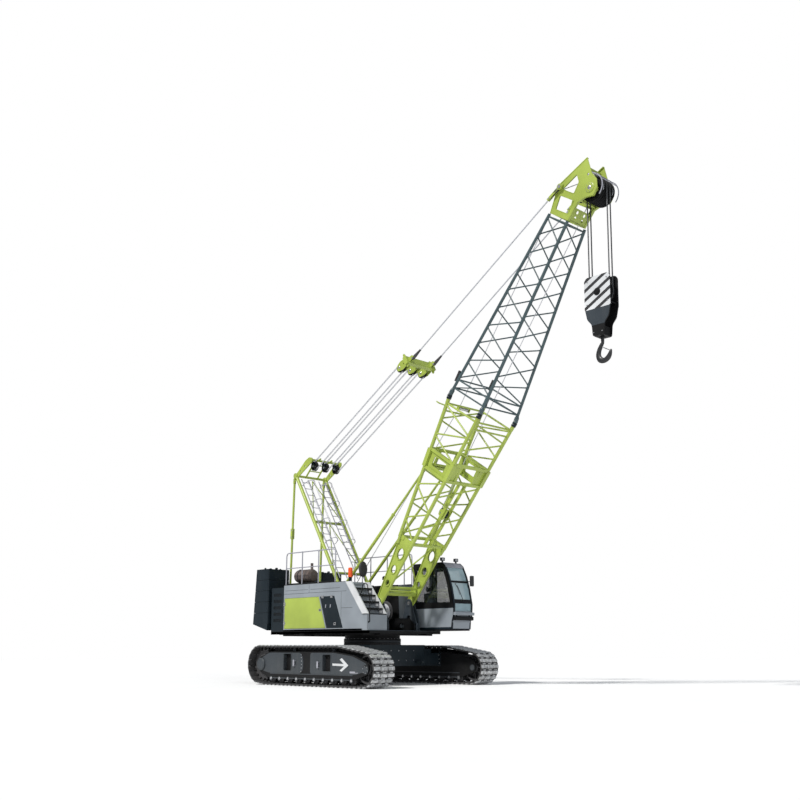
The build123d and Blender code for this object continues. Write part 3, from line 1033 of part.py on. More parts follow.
near_set, far_set = [], []
for y in SHEAVE_YS:
    beside = y + 2 * LUFF_ROPE_R + SEAT
    near_set.append(rod(along_luff(0, y), along_luff(LUFF_SPLIT + LUFF_LAP, y), LUFF_ROPE_R))
    far_end = along_luff(luff_run - LUFF_SHORT, beside)
    far_set.append(rod(along_luff(LUFF_SPLIT, beside), far_end, LUFF_ROPE_R))
save("luff_ropes_near", *near_set)
save("luff_ropes_far", *far_set)
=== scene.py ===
import json
from math import asin, atan2, ceil, cos, hypot, pi, radians, sin, sqrt
import bpy
import bmesh
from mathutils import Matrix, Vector
from mathutils.geometry import tessellate_polygon


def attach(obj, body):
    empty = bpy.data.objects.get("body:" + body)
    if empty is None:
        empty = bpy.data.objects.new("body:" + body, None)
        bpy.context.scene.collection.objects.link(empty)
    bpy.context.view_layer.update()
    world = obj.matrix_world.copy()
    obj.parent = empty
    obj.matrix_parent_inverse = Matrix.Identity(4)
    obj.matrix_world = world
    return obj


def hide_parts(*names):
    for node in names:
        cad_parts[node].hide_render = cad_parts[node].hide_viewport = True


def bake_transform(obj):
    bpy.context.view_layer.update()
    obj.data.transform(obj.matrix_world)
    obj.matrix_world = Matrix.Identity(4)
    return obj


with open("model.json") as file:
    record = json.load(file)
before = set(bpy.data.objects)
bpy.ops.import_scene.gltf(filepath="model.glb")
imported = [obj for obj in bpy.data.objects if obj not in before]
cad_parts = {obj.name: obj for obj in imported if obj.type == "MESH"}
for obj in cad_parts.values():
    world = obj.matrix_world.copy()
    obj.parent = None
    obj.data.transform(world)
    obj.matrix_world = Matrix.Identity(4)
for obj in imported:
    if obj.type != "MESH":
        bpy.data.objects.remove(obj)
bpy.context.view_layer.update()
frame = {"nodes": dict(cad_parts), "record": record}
NODES = frame["nodes"]

# Materials: every one is a small node tree with colour, roughness and bump detail


def srgb(r, g, b):
    """A colour given in display steps of 255, as the linear one that Blender works with."""
    return tuple((c / 255 / 12.92 if c <= 10 else ((c / 255 + 0.055) / 1.055) ** 2.4) for c in (r, g, b))


class Tree:
    """A material's node tree, with short calls for what the materials below use."""

    def __init__(self, name):
        self.mat = bpy.data.materials.new(name)
        self.mat.use_nodes = True
        self.nt = self.mat.node_tree
        self.bsdf = self.nt.nodes["Principled BSDF"]

    def node(self, kind, **values):
        n = self.nt.nodes.new(kind)
        for key, value in values.items():
            if key.startswith("in_"):
                n.inputs[key[3:].replace("_", " ")].default_value = value
            else:
                setattr(n, key, value)
        return n

    def link(self, a, b):
        self.nt.links.new(a, b)

    def coords(self):
        return self.node("ShaderNodeTexCoord").outputs["Object"]

    def noise(self, scale, detail=4.0, rough=0.6, stretch=None):
        n = self.node("ShaderNodeTexNoise", in_Scale=scale, in_Detail=detail, in_Roughness=rough)
        source = self.coords()
        if stretch:
            m = self.node("ShaderNodeMapping")
            m.inputs["Scale"].default_value = stretch
            self.link(source, m.inputs["Vector"])
            source = m.outputs["Vector"]
        self.link(source, n.inputs["Vector"])
        return n.outputs["Fac"]

    def span(self, fac, a0, a1, b0, b1):
        m = self.node("ShaderNodeMapRange")
        for key, value in zip(("From Min", "From Max", "To Min", "To Max"), (a0, a1, b0, b1)):
            m.inputs[key].default_value = value
        self.link(fac, m.inputs["Value"])
        return m.outputs["Result"]

    def math(self, op, a, b):
        m = self.node("ShaderNodeMath", operation=op)
        for socket, value in zip(m.inputs, (a, b)):
            if isinstance(value, (int, float)):
                socket.default_value = value
            else:
                self.link(value, socket)
        return m.outputs[0]

    def mix(self, fac, a, b):
        m = self.node("ShaderNodeMix", data_type="RGBA")
        for socket, value in zip((m.inputs[0], m.inputs[6], m.inputs[7]), (fac, a, b)):
            if isinstance(value, (int, float)):
                socket.default_value = value
            elif isinstance(value, tuple):
                socket.default_value = (*value, 1.0)
            else:
                self.link(value, socket)
        return m.outputs[2]

    def bump(self, height, strength, distance):
        b = self.node("ShaderNodeBump", in_Strength=strength, in_Distance=distance)
        self.link(height, b.inputs["Height"])
        self.link(b.outputs["Normal"], self.bsdf.inputs["Normal"])

    def low(self, z0, z1):
        """1 near the ground, 0 above: where dust gathers."""
        s = self.node("ShaderNodeSeparateXYZ")
        self.link(self.coords(), s.inputs[0])
        return self.span(s.outputs["Z"], z0, z1, 1.0, 0.0)


def paint(name, color, rough=0.38, dust=0.10, wear=0.0, grain=1.0, coat=0.15, shine=0.5):
    t = Tree(name)
    broad = t.noise(1.3, 3, 0.55)
    streak = t.noise(2.2, 5, 0.65, stretch=(3.0, 3.0, 0.35))
    fine = t.noise(38.0, 3, 0.6)
    dark = tuple(c * 0.86 for c in color)
    light = tuple(min(1.0, c * 1.07 + 0.004) for c in color)
    base = t.mix(t.span(broad, 0.3, 0.7, 0.0, 1.0), dark, light)
    grime = t.math("MULTIPLY", t.span(streak, 0.50, 0.78, 0.0, 1.0), dust)
    base = t.mix(grime, base, (0.20, 0.185, 0.16))
    low = t.math("MULTIPLY", t.math("MULTIPLY", t.low(0.2, 1.6), t.span(fine, 0.35, 0.75, 0.2, 1.0)),
                 dust * 2.2)
    base = t.mix(low, base, (0.26, 0.235, 0.20))
    if wear:
        chips = t.span(t.noise(17.0, 6, 0.72), 0.66, 0.70, 0.0, wear)
        base = t.mix(chips, base, (0.10, 0.095, 0.09))
    t.link(base, t.bsdf.inputs["Base Color"])
    t.link(t.span(t.math("ADD", t.math("MULTIPLY", fine, 0.5), t.math("MULTIPLY", broad, 0.5)),
                  0.3, 0.7, rough - 0.07, rough + 0.12), t.bsdf.inputs["Roughness"])
    t.bsdf.inputs["Specular IOR Level"].default_value = shine
    t.bsdf.inputs["Coat Weight"].default_value = coat
    t.bsdf.inputs["Coat Roughness"].default_value = 0.22
    t.bump(t.noise(95.0, 2, 0.5), 0.06 * grain, 0.002)
    return t.mat


def metal(name, color, rough=0.45, metallic=0.9, stain=(0.07, 0.055, 0.045), amount=0.5, scale=9.0,
          bump=0.25):
    t = Tree(name)
    spots = t.span(t.noise(scale, 6, 0.7), 0.42, 0.66, 0.0, amount)
    fine = t.noise(scale * 7, 4, 0.6)
    base = t.mix(spots, color, stain)
    t.link(base, t.bsdf.inputs["Base Color"])
    t.link(t.math("MULTIPLY", t.math("SUBTRACT", 1.0, spots), metallic), t.bsdf.inputs["Metallic"])
    t.link(t.span(fine, 0.3, 0.7, rough - 0.1, rough + 0.2), t.bsdf.inputs["Roughness"])
    t.bump(fine, bump, 0.002)
    return t.mat


def plastic(name, color, rough=0.5, bump=0.12):
    t = Tree(name)
    broad = t.noise(6.0, 3, 0.5)
    t.link(t.mix(t.span(broad, 0.3, 0.7, 0.0, 1.0), tuple(c * 0.8 for c in color),
                 tuple(c * 1.15 for c in color)), t.bsdf.inputs["Base Color"])
    t.link(t.span(t.noise(60.0, 2), 0.3, 0.7, rough - 0.06, rough + 0.08), t.bsdf.inputs["Roughness"])
    t.bump(t.noise(260.0, 2), bump, 0.001)
    return t.mat


def glass(name, tint, alpha=0.55):
    t = Tree(name)
    t.bsdf.inputs["Base Color"].default_value = (*tint, 1.0)
    t.bsdf.inputs["Metallic"].default_value = 0.0
    smear = t.noise(3.0, 4, 0.6, stretch=(1.0, 1.0, 0.5))
    t.link(t.span(smear, 0.3, 0.75, 0.02, 0.10), t.bsdf.inputs["Roughness"])
    t.bsdf.inputs["Specular IOR Level"].default_value = 0.9
    t.bsdf.inputs["Coat Weight"].default_value = 1.0
    t.bsdf.inputs["Coat Roughness"].default_value = 0.02
    t.link(t.span(smear, 0.3, 0.75, alpha, alpha + 0.10), t.bsdf.inputs["Alpha"])
    return t.mat


def wire(name, color, groove=0.45, metallic=0.7):
    t = Tree(name)
    w = t.node("ShaderNodeTexWave", wave_type="BANDS", bands_direction="DIAGONAL", in_Scale=30.0,
               in_Distortion=1.0)
    t.link(t.coords(), w.inputs["Vector"])
    # the colour is darker in the grooves between the strands, where the bump sinks: painted shade in the
    # grooves
    t.link(t.mix(w.outputs["Fac"], tuple(c * groove for c in color), color), t.bsdf.inputs["Base Color"])
    t.bsdf.inputs["Metallic"].default_value = metallic
    t.link(t.span(t.noise(40.0), 0.3, 0.7, 0.35, 0.6), t.bsdf.inputs["Roughness"])
    t.bump(w.outputs["Fac"], 0.5, 0.004)
    return t.mat


LIME = (0.345, 0.435, 0.066)
M = {
    "lime_paint": paint("lime_paint", LIME, 0.36, 0.05),
    "dark_paint": paint("dark_paint", srgb(12, 26, 34), 0.42, 0.025, coat=0.02, shine=0.25),
    "slate_paint": paint("slate_paint", srgb(46, 54, 61), 0.48, 0.08, 0.5, coat=0.0, shine=0.3),
    "grey_paint": paint("grey_paint", srgb(134, 141, 148), 0.40, 0.05, coat=0.08),
    "boom_slate": paint("boom_slate", srgb(56, 76, 80), 0.42, 0.05),
    "black_paint": paint("black_paint", srgb(11, 12, 14), 0.55, 0.010, coat=0.0, shine=0.2),
    "track_steel": metal("track_steel", (0.06, 0.06, 0.062), 0.6, 0.4, (0.022, 0.020, 0.018), 0.9, 7.0, 0.5),
    "worn_steel": metal("worn_steel", (0.62, 0.63, 0.64), 0.42, 0.55, (0.10, 0.095, 0.09), 0.85, 11.0, 0.4),
    "cast_steel": metal("cast_steel", (0.075, 0.075, 0.08), 0.55, 0.5, (0.04, 0.035, 0.03), 0.7, 10.0, 0.4),
    "bare_steel": metal("bare_steel", (0.55, 0.55, 0.56), 0.25, 1.0, (0.25, 0.24, 0.23), 0.3, 14.0, 0.05),
    "rail_grey": paint("rail_grey", srgb(150, 151, 160), 0.42, 0.05, coat=0.05),
    "white_paint": paint("white_paint", srgb(208, 210, 212), 0.38, 0.05),
    "rusty_steel": metal("rusty_steel", (0.17, 0.14, 0.13), 0.6, 0.4, (0.09, 0.06, 0.05), 0.8, 6.0, 0.4),
    "wire_rope": wire("wire_rope", (0.62, 0.63, 0.67), 0.72, 0.35),
    "greased_rope": wire("greased_rope", (0.16, 0.165, 0.17)),
    "clear_glass": glass("clear_glass", (0.40, 0.55, 0.60), 0.50),
    "side_glass": glass("side_glass", (0.03, 0.04, 0.045), 0.34),
    "seat_fabric": plastic("seat_fabric", (0.03, 0.03, 0.035), 0.9, 0.5),
    "black_plastic": plastic("black_plastic", (0.02, 0.02, 0.022), 0.5),
    "orange_lens": plastic("orange_lens", (0.80, 0.10, 0.02), 0.2, 0.02),
    "hook_steel": paint("hook_steel", srgb(24, 25, 28), 0.42, 0.08, 0.4),
}
for part in frame["record"]["subparts"]:
    obj = NODES[part["node"]]
    obj.data.materials.clear()
    obj.data.materials.append(M[part["material_slot"]])

# Camera and light
scene = bpy.context.scene
cam = bpy.data.objects.new("camera", bpy.data.cameras.new("camera"))
scene.collection.objects.link(cam)
cam.location = (23.02, -20.77, 1.12)
cam.rotation_euler = (radians(90 + 9.48), 0, radians(44.69))
cam.data.lens = 45.0
cam.data.sensor_width = 36.0
cam.data.shift_x, cam.data.shift_y = -0.0375, 0.10
cam.data.clip_end = 400
scene.camera = cam


def lamp(name, kind, energy, rotation, color=(1, 1, 1), **values):
    data = bpy.data.lights.new(name, kind)
    data.energy, data.color = energy, color
    for key, value in values.items():
        setattr(data, key, value)
    o = bpy.data.objects.new(name, data)
    o.rotation_euler = rotation
    scene.collection.objects.link(o)
    return o


lamp("key", "SUN", 3.15, (radians(45), 0, radians(-4)), (1.0, 0.98, 0.95), angle=radians(6))
lamp("fill", "SUN", 0.6, (radians(70), 0, radians(75)), (0.93, 0.97, 1.0), angle=radians(30))

# The world: a soft sky that lights the crane, and plain white where the camera looks past it
world = bpy.data.worlds.new("world")
scene.world = world
world.use_nodes = True
tree = world.node_tree
tree.nodes.clear()
KINDS = ("OutputWorld", "Background", "Background", "MixShader", "LightPath", "Math")
out, sky, white, mixer, rays, seen = (tree.nodes.new("ShaderNode" + kind) for kind in KINDS)
sky.inputs["Color"].default_value = (0.80, 0.85, 0.92, 1)
sky.inputs["Strength"].default_value = 0.38
white.inputs["Color"].default_value = (1, 1, 1, 1)
seen.operation = "MAXIMUM"
for a, b in ((rays.outputs["Is Camera Ray"], seen.inputs[0]),
             (rays.outputs["Is Transmission Ray"], seen.inputs[1]), (seen.outputs[0], mixer.inputs["Fac"]),
             (sky.outputs[0], mixer.inputs[1]), (white.outputs[0], mixer.inputs[2]),
             (mixer.outputs[0], out.inputs["Surface"])):
    tree.links.new(a, b)
scene.view_settings.view_transform = "Standard"

# The floor, nearly white, that takes the crane's shadow
FLOOR_HALF = 60
floor_mesh = bpy.data.meshes.new("floor")
floor_mesh.from_pydata([(x * FLOOR_HALF, y * FLOOR_HALF, 0) for x, y in ((-1, -1), (1, -1), (1, 1), (-1, 1))],
                       [], [(0, 1, 2, 3)])
floor = bpy.data.objects.new("floor", floor_mesh)
scene.collection.objects.link(floor)
ft = Tree("floor")
ft.link(ft.mix(ft.span(ft.noise(0.4, 3), 0.3, 0.7, 0.0, 1.0), (0.93, 0.93, 0.93), (0.96, 0.96, 0.96)),
        ft.bsdf.inputs["Base Color"])
ft.bsdf.inputs["Roughness"].default_value = 0.9
ft.bsdf.inputs["Specular IOR Level"].default_value = 0.0
floor.data.materials.append(ft.mat)

# Mesh building: many small forms gathered into one object

ACROSS, UP, AHEAD = Vector((0, 1, 0)), Vector((0, 0, 1)), Vector((1, 0, 0))
BOX_FACES = ((0, 1, 3, 2), (4, 6, 7, 5), (0, 4, 5, 1), (2, 3, 7, 6), (0, 2, 6, 4), (1, 5, 7, 3))
ON_AXIS = 1e-6


def around(u):
    """Two directions square to u and to each other."""
    v = u.orthogonal().normalized()
    return v, u.cross(v)


def circle(v, w, r, n):
    return [(v * cos(2 * pi * i / n) + w * sin(2 * pi * i / n)) * r for i in range(n)]


def rect(x0, x1, z0, z1):
    return [(x0, z0), (x1, z0), (x1, z1), (x0, z1)]


def even(*half):
    """A turned profile that is the same both ways along its axis, from its first half."""
    return [(-d, r) for d, r in half] + list(half[::-1])


def upright(p, d):
    return (p[0], d, p[1])


def flat(p, d):
    return (p[0], p[1], d)


def facing(p, d):
    return (d, p[0], p[1])


class Gather:
    """Vertices, faces, material slots and smoothness of one object in the making."""

    def __init__(self):
        self.v, self.f, self.m, self.s = [], [], [], []

    def add(self, verts, faces, slot=0, smooth=False):
        base = len(self.v)
        self.v.extend(tuple(v) for v in verts)
        self.f.extend(tuple(i + base for i in f) for f in faces)
        self.m.extend([slot] * len(faces))
        self.s.extend([smooth] * len(faces))

    def box(self, x0, x1, y0, y1, z0, z1, slot=0):
        """A box with its sides along the axes; the two ends of a side may come in either order."""
        pairs = [sorted(pair) for pair in ((x0, x1), (y0, y1), (z0, z1))]
        self.add([(x, y, z) for x in pairs[0] for y in pairs[1] for z in pairs[2]], BOX_FACES, slot)

    def block(self, centre, axes, half, slot=0):
        c, (u, v, w) = Vector(centre), [Vector(a).normalized() for a in axes]
        self.add([c + u * (i * half[0]) + v * (j * half[1]) + w * (k * half[2])
                  for i in (-1, 1) for j in (-1, 1) for k in (-1, 1)], BOX_FACES, slot)

    def beam(self, a, b, wide, deep, side=ACROSS, slot=0):
        """A square bar from a to b, wide along side and deep the other way."""
        a, b, side = Vector(a), Vector(b), Vector(side)
        u = (b - a).normalized()
        v = (side - u * u.dot(side)).normalized()
        self.block((a + b) / 2, (u, v, u.cross(v)), ((b - a).length / 2, wide / 2, deep / 2), slot)

    def loft(self, rings, slot=0, smooth_ends=False):
        """A smooth skin over rings of the same count, closed at both ends."""
        n, last = len(rings[0]), len(rings) - 1
        walls = [(j * n + i, j * n + (i + 1) % n, (j + 1) * n + (i + 1) % n, (j + 1) * n + i)
                 for j in range(last) for i in range(n)]
        base = len(self.v)
        self.add([p for ring in rings for p in ring], walls, slot, True)
        for end in (tuple(range(n))[::-1], tuple(range(last * n, last * n + n))):
            self.f.append(tuple(i + base for i in end))
            self.m.append(slot)
            self.s.append(smooth_ends)

    def tube(self, a, b, r, n=14, slot=0, r2=None):
        """A round bar from a to b, of radius r, or tapered to r2."""
        a, b = Vector(a), Vector(b)
        v, w = around((b - a).normalized())
        self.loft([[end + d for d in circle(v, w, radius, n)] for end,
                   radius in ((a, r), (b, r if r2 is None else r2))], slot)

    def pipe(self, points, r, n=10, slot=0):
        """A bent round bar through the points."""
        pts = [Vector(p) for p in points]
        rings, v = [], None
        for i, p in enumerate(pts):
            u = (pts[min(i + 1, len(pts) - 1)] - pts[max(i - 1, 0)]).normalized()
            v = u.orthogonal() if v is None else v - u * u.dot(v)
            v.normalize()
            rings.append([p + d for d in circle(v, u.cross(v), r, n)])
        self.loft(rings, slot)

    def plate(self, loops, lo, hi, slot=0, place=upright):
        """A flat plate from lo to hi: loops[0] is its outline, the others its holes."""
        tris = tessellate_polygon([[Vector((p[0], p[1], 0)) for p in loop] for loop in loops])
        pts = [p for loop in loops for p in loop]
        n = len(pts)
        faces = [tuple(t) for t in tris] + [tuple(i + n for i in t[::-1]) for t in tris]
        start = 0
        for loop in loops:
            k = len(loop)
            faces += [(start + i, start + (i + 1) % k, n + start + (i + 1) % k, n + start + i)
                      for i in range(k)]
            start += k
        self.add([place(p, lo) for p in pts] + [place(p, hi) for p in pts], faces, slot)

    def lathe(self, centre, axis, profile, n=32, slot=0, closed=True):
        """profile: (distance along the axis, radius) pairs, turned round it."""
        c, u = Vector(centre), Vector(axis).normalized()
        dirs = circle(*around(u), 1, n)
        verts, rows = [], []
        for d, r in profile:
            rows.append(list(range(len(verts), len(verts) + (1 if r < ON_AXIS else n))))
            verts += [c + u * d] if r < ON_AXIS else [c + u * d + way * r for way in dirs]
        faces = []
        for j in range(len(rows) if closed else len(rows) - 1):
            p, q = rows[j], rows[(j + 1) % len(rows)]
            for i in range(n):
                k = (i + 1) % n
                if len(p) > 1 and len(q) > 1:
                    faces.append((p[i], p[k], q[k], q[i]))
                elif len(q) > 1:
                    faces.append((p[0], q[k], q[i]))
                elif len(p) > 1:
                    faces.append((p[i], p[k], q[0]))
        self.add(verts, faces, slot, True)

    def disc(self, centre, axis, lo, hi, r, n=32, slot=0):
        self.lathe(centre, axis, [(lo, 0), (lo, r), (hi, r), (hi, 0)], n, slot, False)

    def collar(self, centre, axis, lo, hi, bore, r, n=32, slot=0):
        self.lathe(centre, axis, [(lo, bore), (lo, r), (hi, r), (hi, bore)], n, slot)

    def sheave(self, x, y, z, rim, groove, half, hub, slot=0, hub_slot=0, n=36):
        """A grooved wheel with a thin web and a hub, its axis across."""
        inner, web = groove - (rim - groove) * 0.9, half * 0.35
        self.lathe((x, y, z), ACROSS, [(-half, inner),
                                       *even((half, rim), (half * 0.8, rim), (half * 0.28, groove)),
                                       (half, inner), (web, inner * 0.94), (web, hub), (-web, hub),
                                       (-web, inner * 0.94)], n, slot)
        self.lathe((x, y, z), ACROSS, even((half * 1.15, 0), (half * 1.15, hub * 0.9), (half, hub)), 20,
                   hub_slot, False)

    def bolts(self, centre, axis, ring_r, count, r, tall, slot=0):
        """A circle of bolt heads on a face."""
        c, u = Vector(centre), Vector(axis).normalized()
        for way in circle(*around(u), ring_r, count):
            self.tube(c + way, c + way + u * tall, r, 6, slot)

    def done(self, name, body, mats, bevel=0.0, replaces=(), finish=None, smooth_angle=40):
        """Makes the object, gives it its body and slot, and hides the nodes that it takes the place of."""
        mesh = bpy.data.meshes.new(name)
        mesh.from_pydata(self.v, [], self.f)
        for mat in mats:
            mesh.materials.append(M[mat])
        mesh.polygons.foreach_set("material_index", self.m)
        mesh.polygons.foreach_set("use_smooth", self.s)
        bm = bmesh.new()
        bm.from_mesh(mesh)
        bmesh.ops.recalc_face_normals(bm, faces=bm.faces)
        bm.to_mesh(mesh)
        bm.free()
        mesh.set_sharp_from_angle(angle=radians(smooth_angle))
        mesh.update()
        o = bpy.data.objects.new(name, mesh)
        scene.collection.objects.link(o)
        if bevel:
            b = o.modifiers.new("bevel", "BEVEL")
            b.width, b.segments, b.limit_method, b.angle_limit = bevel, 1, "ANGLE", radians(50)
            b.harden_normals = False
        if body:
            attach(o, body)
        for node in replaces:
            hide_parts(node)
        finish or mats[0]
        return o


# Tracks

TRACK_Y, SHOE_WIDE, PITCH = 2.15, 0.76, 0.190
# the loop's bends, each as x and z of its middle and its radius over the shoes
SPROCKET, IDLER = (-2.33, 0.61, 0.57), (2.40, 0.51, 0.49)
BENDS = [SPROCKET, (-1.98, 0.16, 0.16), (1.98, 0.16, 0.16), IDLER, (1.30, 0.85, 0.32)]


def track_path():
    """The outer line of a track as points: straight runs between arcs round the bends."""
    pts = []
    for i, (x, z, r) in enumerate(BENDS):
        ends = []
        for a, b in ((BENDS[i - 1], BENDS[i]), (BENDS[i], BENDS[(i + 1) % len(BENDS)])):
            heading = atan2(b[1] - a[1], b[0] - a[0])
            lean = (b[2] - a[2]) / hypot(b[0] - a[0], b[1] - a[1])
            ends.append(heading - pi / 2 - asin(lean))
        first, last = ends
        while last < first:
            last += 2 * pi
        steps = max(2, ceil((last - first) / radians(4)))
        turns = [first + (last - first) * k / steps for k in range(steps + 1)]
        pts += [(x + r * cos(t), z + r * sin(t)) for t in turns]
    return pts


def along(pts):
    """Evenly spaced places on the closed line, one for each shoe, with its direction, and their step."""
    runs = [(a, b, hypot(b[0] - a[0], b[1] - a[1])) for a, b in zip(pts, pts[1:] + pts[:1])]
    total = sum(far for _, _, far in runs)
    count, out = round(total / PITCH), []
    for step in range(count):
        left, i = total * (step + 0.5) / count, 0
        while left > runs[i][2]:
            left -= runs[i][2]
            i += 1
        a, b, far = runs[i]
        ux, uz = (b[0] - a[0]) / far, (b[1] - a[1]) / far
        out.append((a[0] + ux * left, a[1] + uz * left, ux, uz))
    return out, total / count


spots, pitch = along(track_path())
# side views of a shoe's parts: shares of the pitch along it, and metres inward from the outer line
SHOE = [(-0.46, 0.034), (-0.41, 0.024), (0.41, 0.024), (0.46, 0.034), (0.46, 0.044), (0.40, 0.060),
        (0.12, 0.066), (-0.12, 0.066), (-0.40, 0.060), (-0.46, 0.044)]
LUG_ROWS = ((-0.40, 0.16, ((-0.372, -0.145), (-0.118, 0.118), (0.145, 0.372))),
            (0.20, 0.40, ((-0.30, -0.20), (-0.06, 0.06), (0.20, 0.30))))
GUIDE = [(-0.30, 0.060), (0.30, 0.060), (0.22, 0.098), (-0.22, 0.098)]
FRONT_KNUCKLE = [(0.36, 0.030), (0.56, 0.030), (0.56, 0.056), (0.36, 0.058)]
REAR_KNUCKLE = [(-0.56, 0.030), (-0.36, 0.030), (-0.36, 0.058), (-0.56, 0.056)]
BITS = [(SHOE, -SHOE_WIDE / 2, SHOE_WIDE / 2, 0)]
for a0, a1, widths in LUG_ROWS:
    BITS += [([(a0, 0.026), (a0 + 0.07, 0.0), (a1 - 0.07, 0.0), (a1, 0.026)], y0, y1, 2) for y0, y1 in widths]
for profile, middles, half in ((GUIDE, (-0.105, 0.105), 0.030),
                               (FRONT_KNUCKLE, (-0.26, -0.16, 0.16, 0.26), 0.028),
                               (REAR_KNUCKLE, (-0.21, 0.21), 0.022)):
    BITS += [(profile, y - half, y + half, 0) for y in middles]
for side, sign in (("right", -1), ("left", 1)):
    g = Gather()
    for x, z, ux, uz in spots:
        u, w = Vector((ux, 0, uz)), Vector((-uz, 0, ux))
        c = Vector((x, sign * TRACK_Y, z))
        for profile, y0, y1, slot in BITS:
            k = len(profile)
            v = [c + u * (a * pitch) + w * d + ACROSS * y for y in (y0, y1) for a, d in profile]
            walls = [(i, i + k, (i + 1) % k + k, (i + 1) % k) for i in range(k)]
            g.add(v, walls, slot)
            g.add(v, [tuple(range(k)), tuple(range(k, 2 * k))[::-1]], slot)
        pin = c + u * (0.5 * pitch) + w * 0.043
        g.tube(pin - ACROSS * 0.30, pin + ACROSS * 0.30, 0.013, 8, 1)
    g.done("track_shoes_" + side, "undercarriage", ["track_steel", "bare_steel", "worn_steel"], 0,
           ["track_" + side])

# Boom: worked out along its own axis, l from the foot pin and h up from it

FOOT, ANGLE = Vector((1.0, 0, 2.44)), radians(56.25)
BUTT, HEAD_AT = 6.45, 12.08


def bp(l, y, h):
    """The place of a point that is l along the boom, h off its middle and y to the left."""
    return Vector((FOOT.x + l * cos(ANGLE) - h * sin(ANGLE), y, FOOT.z + l * sin(ANGLE) + h * cos(ANGLE)))


def corner(l, sy, sh):
    """Where a chord's middle is at l, on the side sy and the face sh."""
    if l <= BUTT:
        t = l / BUTT
        return bp(l, sy * (0.64 + 0.11 * t), sh * (0.12 + 0.56 * t))
    t = (l - BUTT) / (HEAD_AT - BUTT)
    return bp(l, sy * (0.75 - 0.365 * t), sh * (0.68 - 0.33 * t))


def on_boom(p, d):
    return bp(p[0], d, p[1])


def bbox(g, l0, l1, y0, y1, h0, h1):
    """A box along the boom's axes."""
    g.plate([rect(l0, l1, h0, h1)], y0, y1, 0, on_boom)


def ring(cx, cz, r, n=28, wide=1.0):
    return [(cx + wide * r * cos(2 * pi * i / n), cz + r * sin(2 * pi * i / n)) for i in range(n)]


def rounded(outline, r, steps=4):
    """The outline with its corners rounded off."""
    out = []
    for i, p in enumerate(outline):
        p = Vector(p)
        a, b = Vector(outline[i - 1]), Vector(outline[(i + 1) % len(outline)])
        ua, ub = (a - p).normalized(), (b - p).normalized()
        cut = min(r, (a - p).length * 0.45, (b - p).length * 0.45)
        for k in range(steps + 1):
            t = k / steps
            q = (p + ua * cut) * (1 - t) ** 2 + p * (2 * t * (1 - t)) + (p + ub * cut) * t ** 2
            out.append((q.x, q.y))
    return out


def offset(outline, d):
    """The outline moved inward by d at every edge, for a convex one in either sense."""
    pts = [Vector(p) for p in outline]
    area = sum(a.x * b.y - b.x * a.y for a, b in zip(pts, pts[1:] + pts[:1]))
    sign = 1 if area > 0 else -1
    out = []
    for i, p in enumerate(pts):
        a, b = pts[i - 1], pts[(i + 1) % len(pts)]
        na = Vector((-(p - a).y, (p - a).x)).normalized() * sign
        nb = Vector((-(b - p).y, (b - p).x)).normalized() * sign
        k = 1 + na.dot(nb)
        q = p + (na + nb) * (d / max(k, 0.3))
        out.append((q.x, q.y))
    return out


CORNERS = ((-1, 1), (1, 1), (1, -1), (-1, -1))


def lattice(g, l0, l1, bays, chord_r, lace_r):
    """Zigzag lacing on the four sides, with a collar where a bar meets its chord."""
    for face in range(4):
        a, b = CORNERS[face], CORNERS[(face + 1) % 4]
        for step in range(bays):
            la, lb = l0 + (l1 - l0) * step / bays, l0 + (l1 - l0) * (step + 1) / bays
            first, second = (a, b) if step % 2 == 0 else (b, a)
            p, q = corner(la + 0.03, *first), corner(lb - 0.03, *second)
            g.tube(p, q, lace_r, 10)
            for end, other in ((p, q), (q, p)):
                u = (other - end).normalized()
                g.tube(end + u * chord_r * 0.8, end + u * (chord_r + 0.05), lace_r * 1.45, 10, 0,
                       lace_r * 0.98)


def chords(g, l0, l1, r):
    for c in CORNERS:
        g.tube(corner(l0, *c), corner(l1, *c), r, 20)


def frame_at(g, l, r, faces=(0, 1, 2, 3)):
    """A ring of round bars from chord to chord at l."""
    for face in faces:
        g.tube(corner(l, *CORNERS[face]), corner(l, *CORNERS[(face + 1) % 4]), r, 12)


def boom_axes(x, z):
    """A point of the side view in the boom's own axes."""
    dx, dz = x - FOOT.x, z - FOOT.z
    return dx * cos(ANGLE) + dz * sin(ANGLE), dz * cos(ANGLE) - dx * sin(ANGLE)


LENGTHWISE, OFF_BACK = bp(1, 0, 0) - FOOT, bp(0, 0, 1) - FOOT


# Lower section
g = Gather()
chords(g, 2.06, 6.36, 0.052)
lattice(g, 2.12, 4.22, 4, 0.052, 0.024)
lattice(g, 4.78, 6.18, 3, 0.052, 0.024)
frame_at(g, 6.20, 0.028)
frame_at(g, 5.98, 0.026, faces=(0, 2))
# stiffening frame in its middle: square rims, with plates that have a window each
for l in (4.28, 4.82):
    for face in range(4):
        g.beam(corner(l, *CORNERS[face]), corner(l, *CORNERS[(face + 1) % 4]), 0.085, 0.085, LENGTHWISE)
for sy in (-1, 1):
    for h in (-1, 1):
        g.beam(corner(4.28, sy, h), corner(4.82, sy, h), 0.13, 0.13)
    window = rounded(rect(4.42, 4.70, 0.27, -0.27), 0.05)
    g.plate([[(4.32, -0.46), (4.32, 0.46), (4.79, 0.49), (4.79, -0.49)], window],
            sy * 0.688, sy * 0.712, 0, on_boom)
for h in (-0.50, 0.50):
    for y in (-0.36, 0.36):
        bbox(g, 4.30, 4.80, y - 0.05, y + 0.05, h - 0.02, h + 0.02)
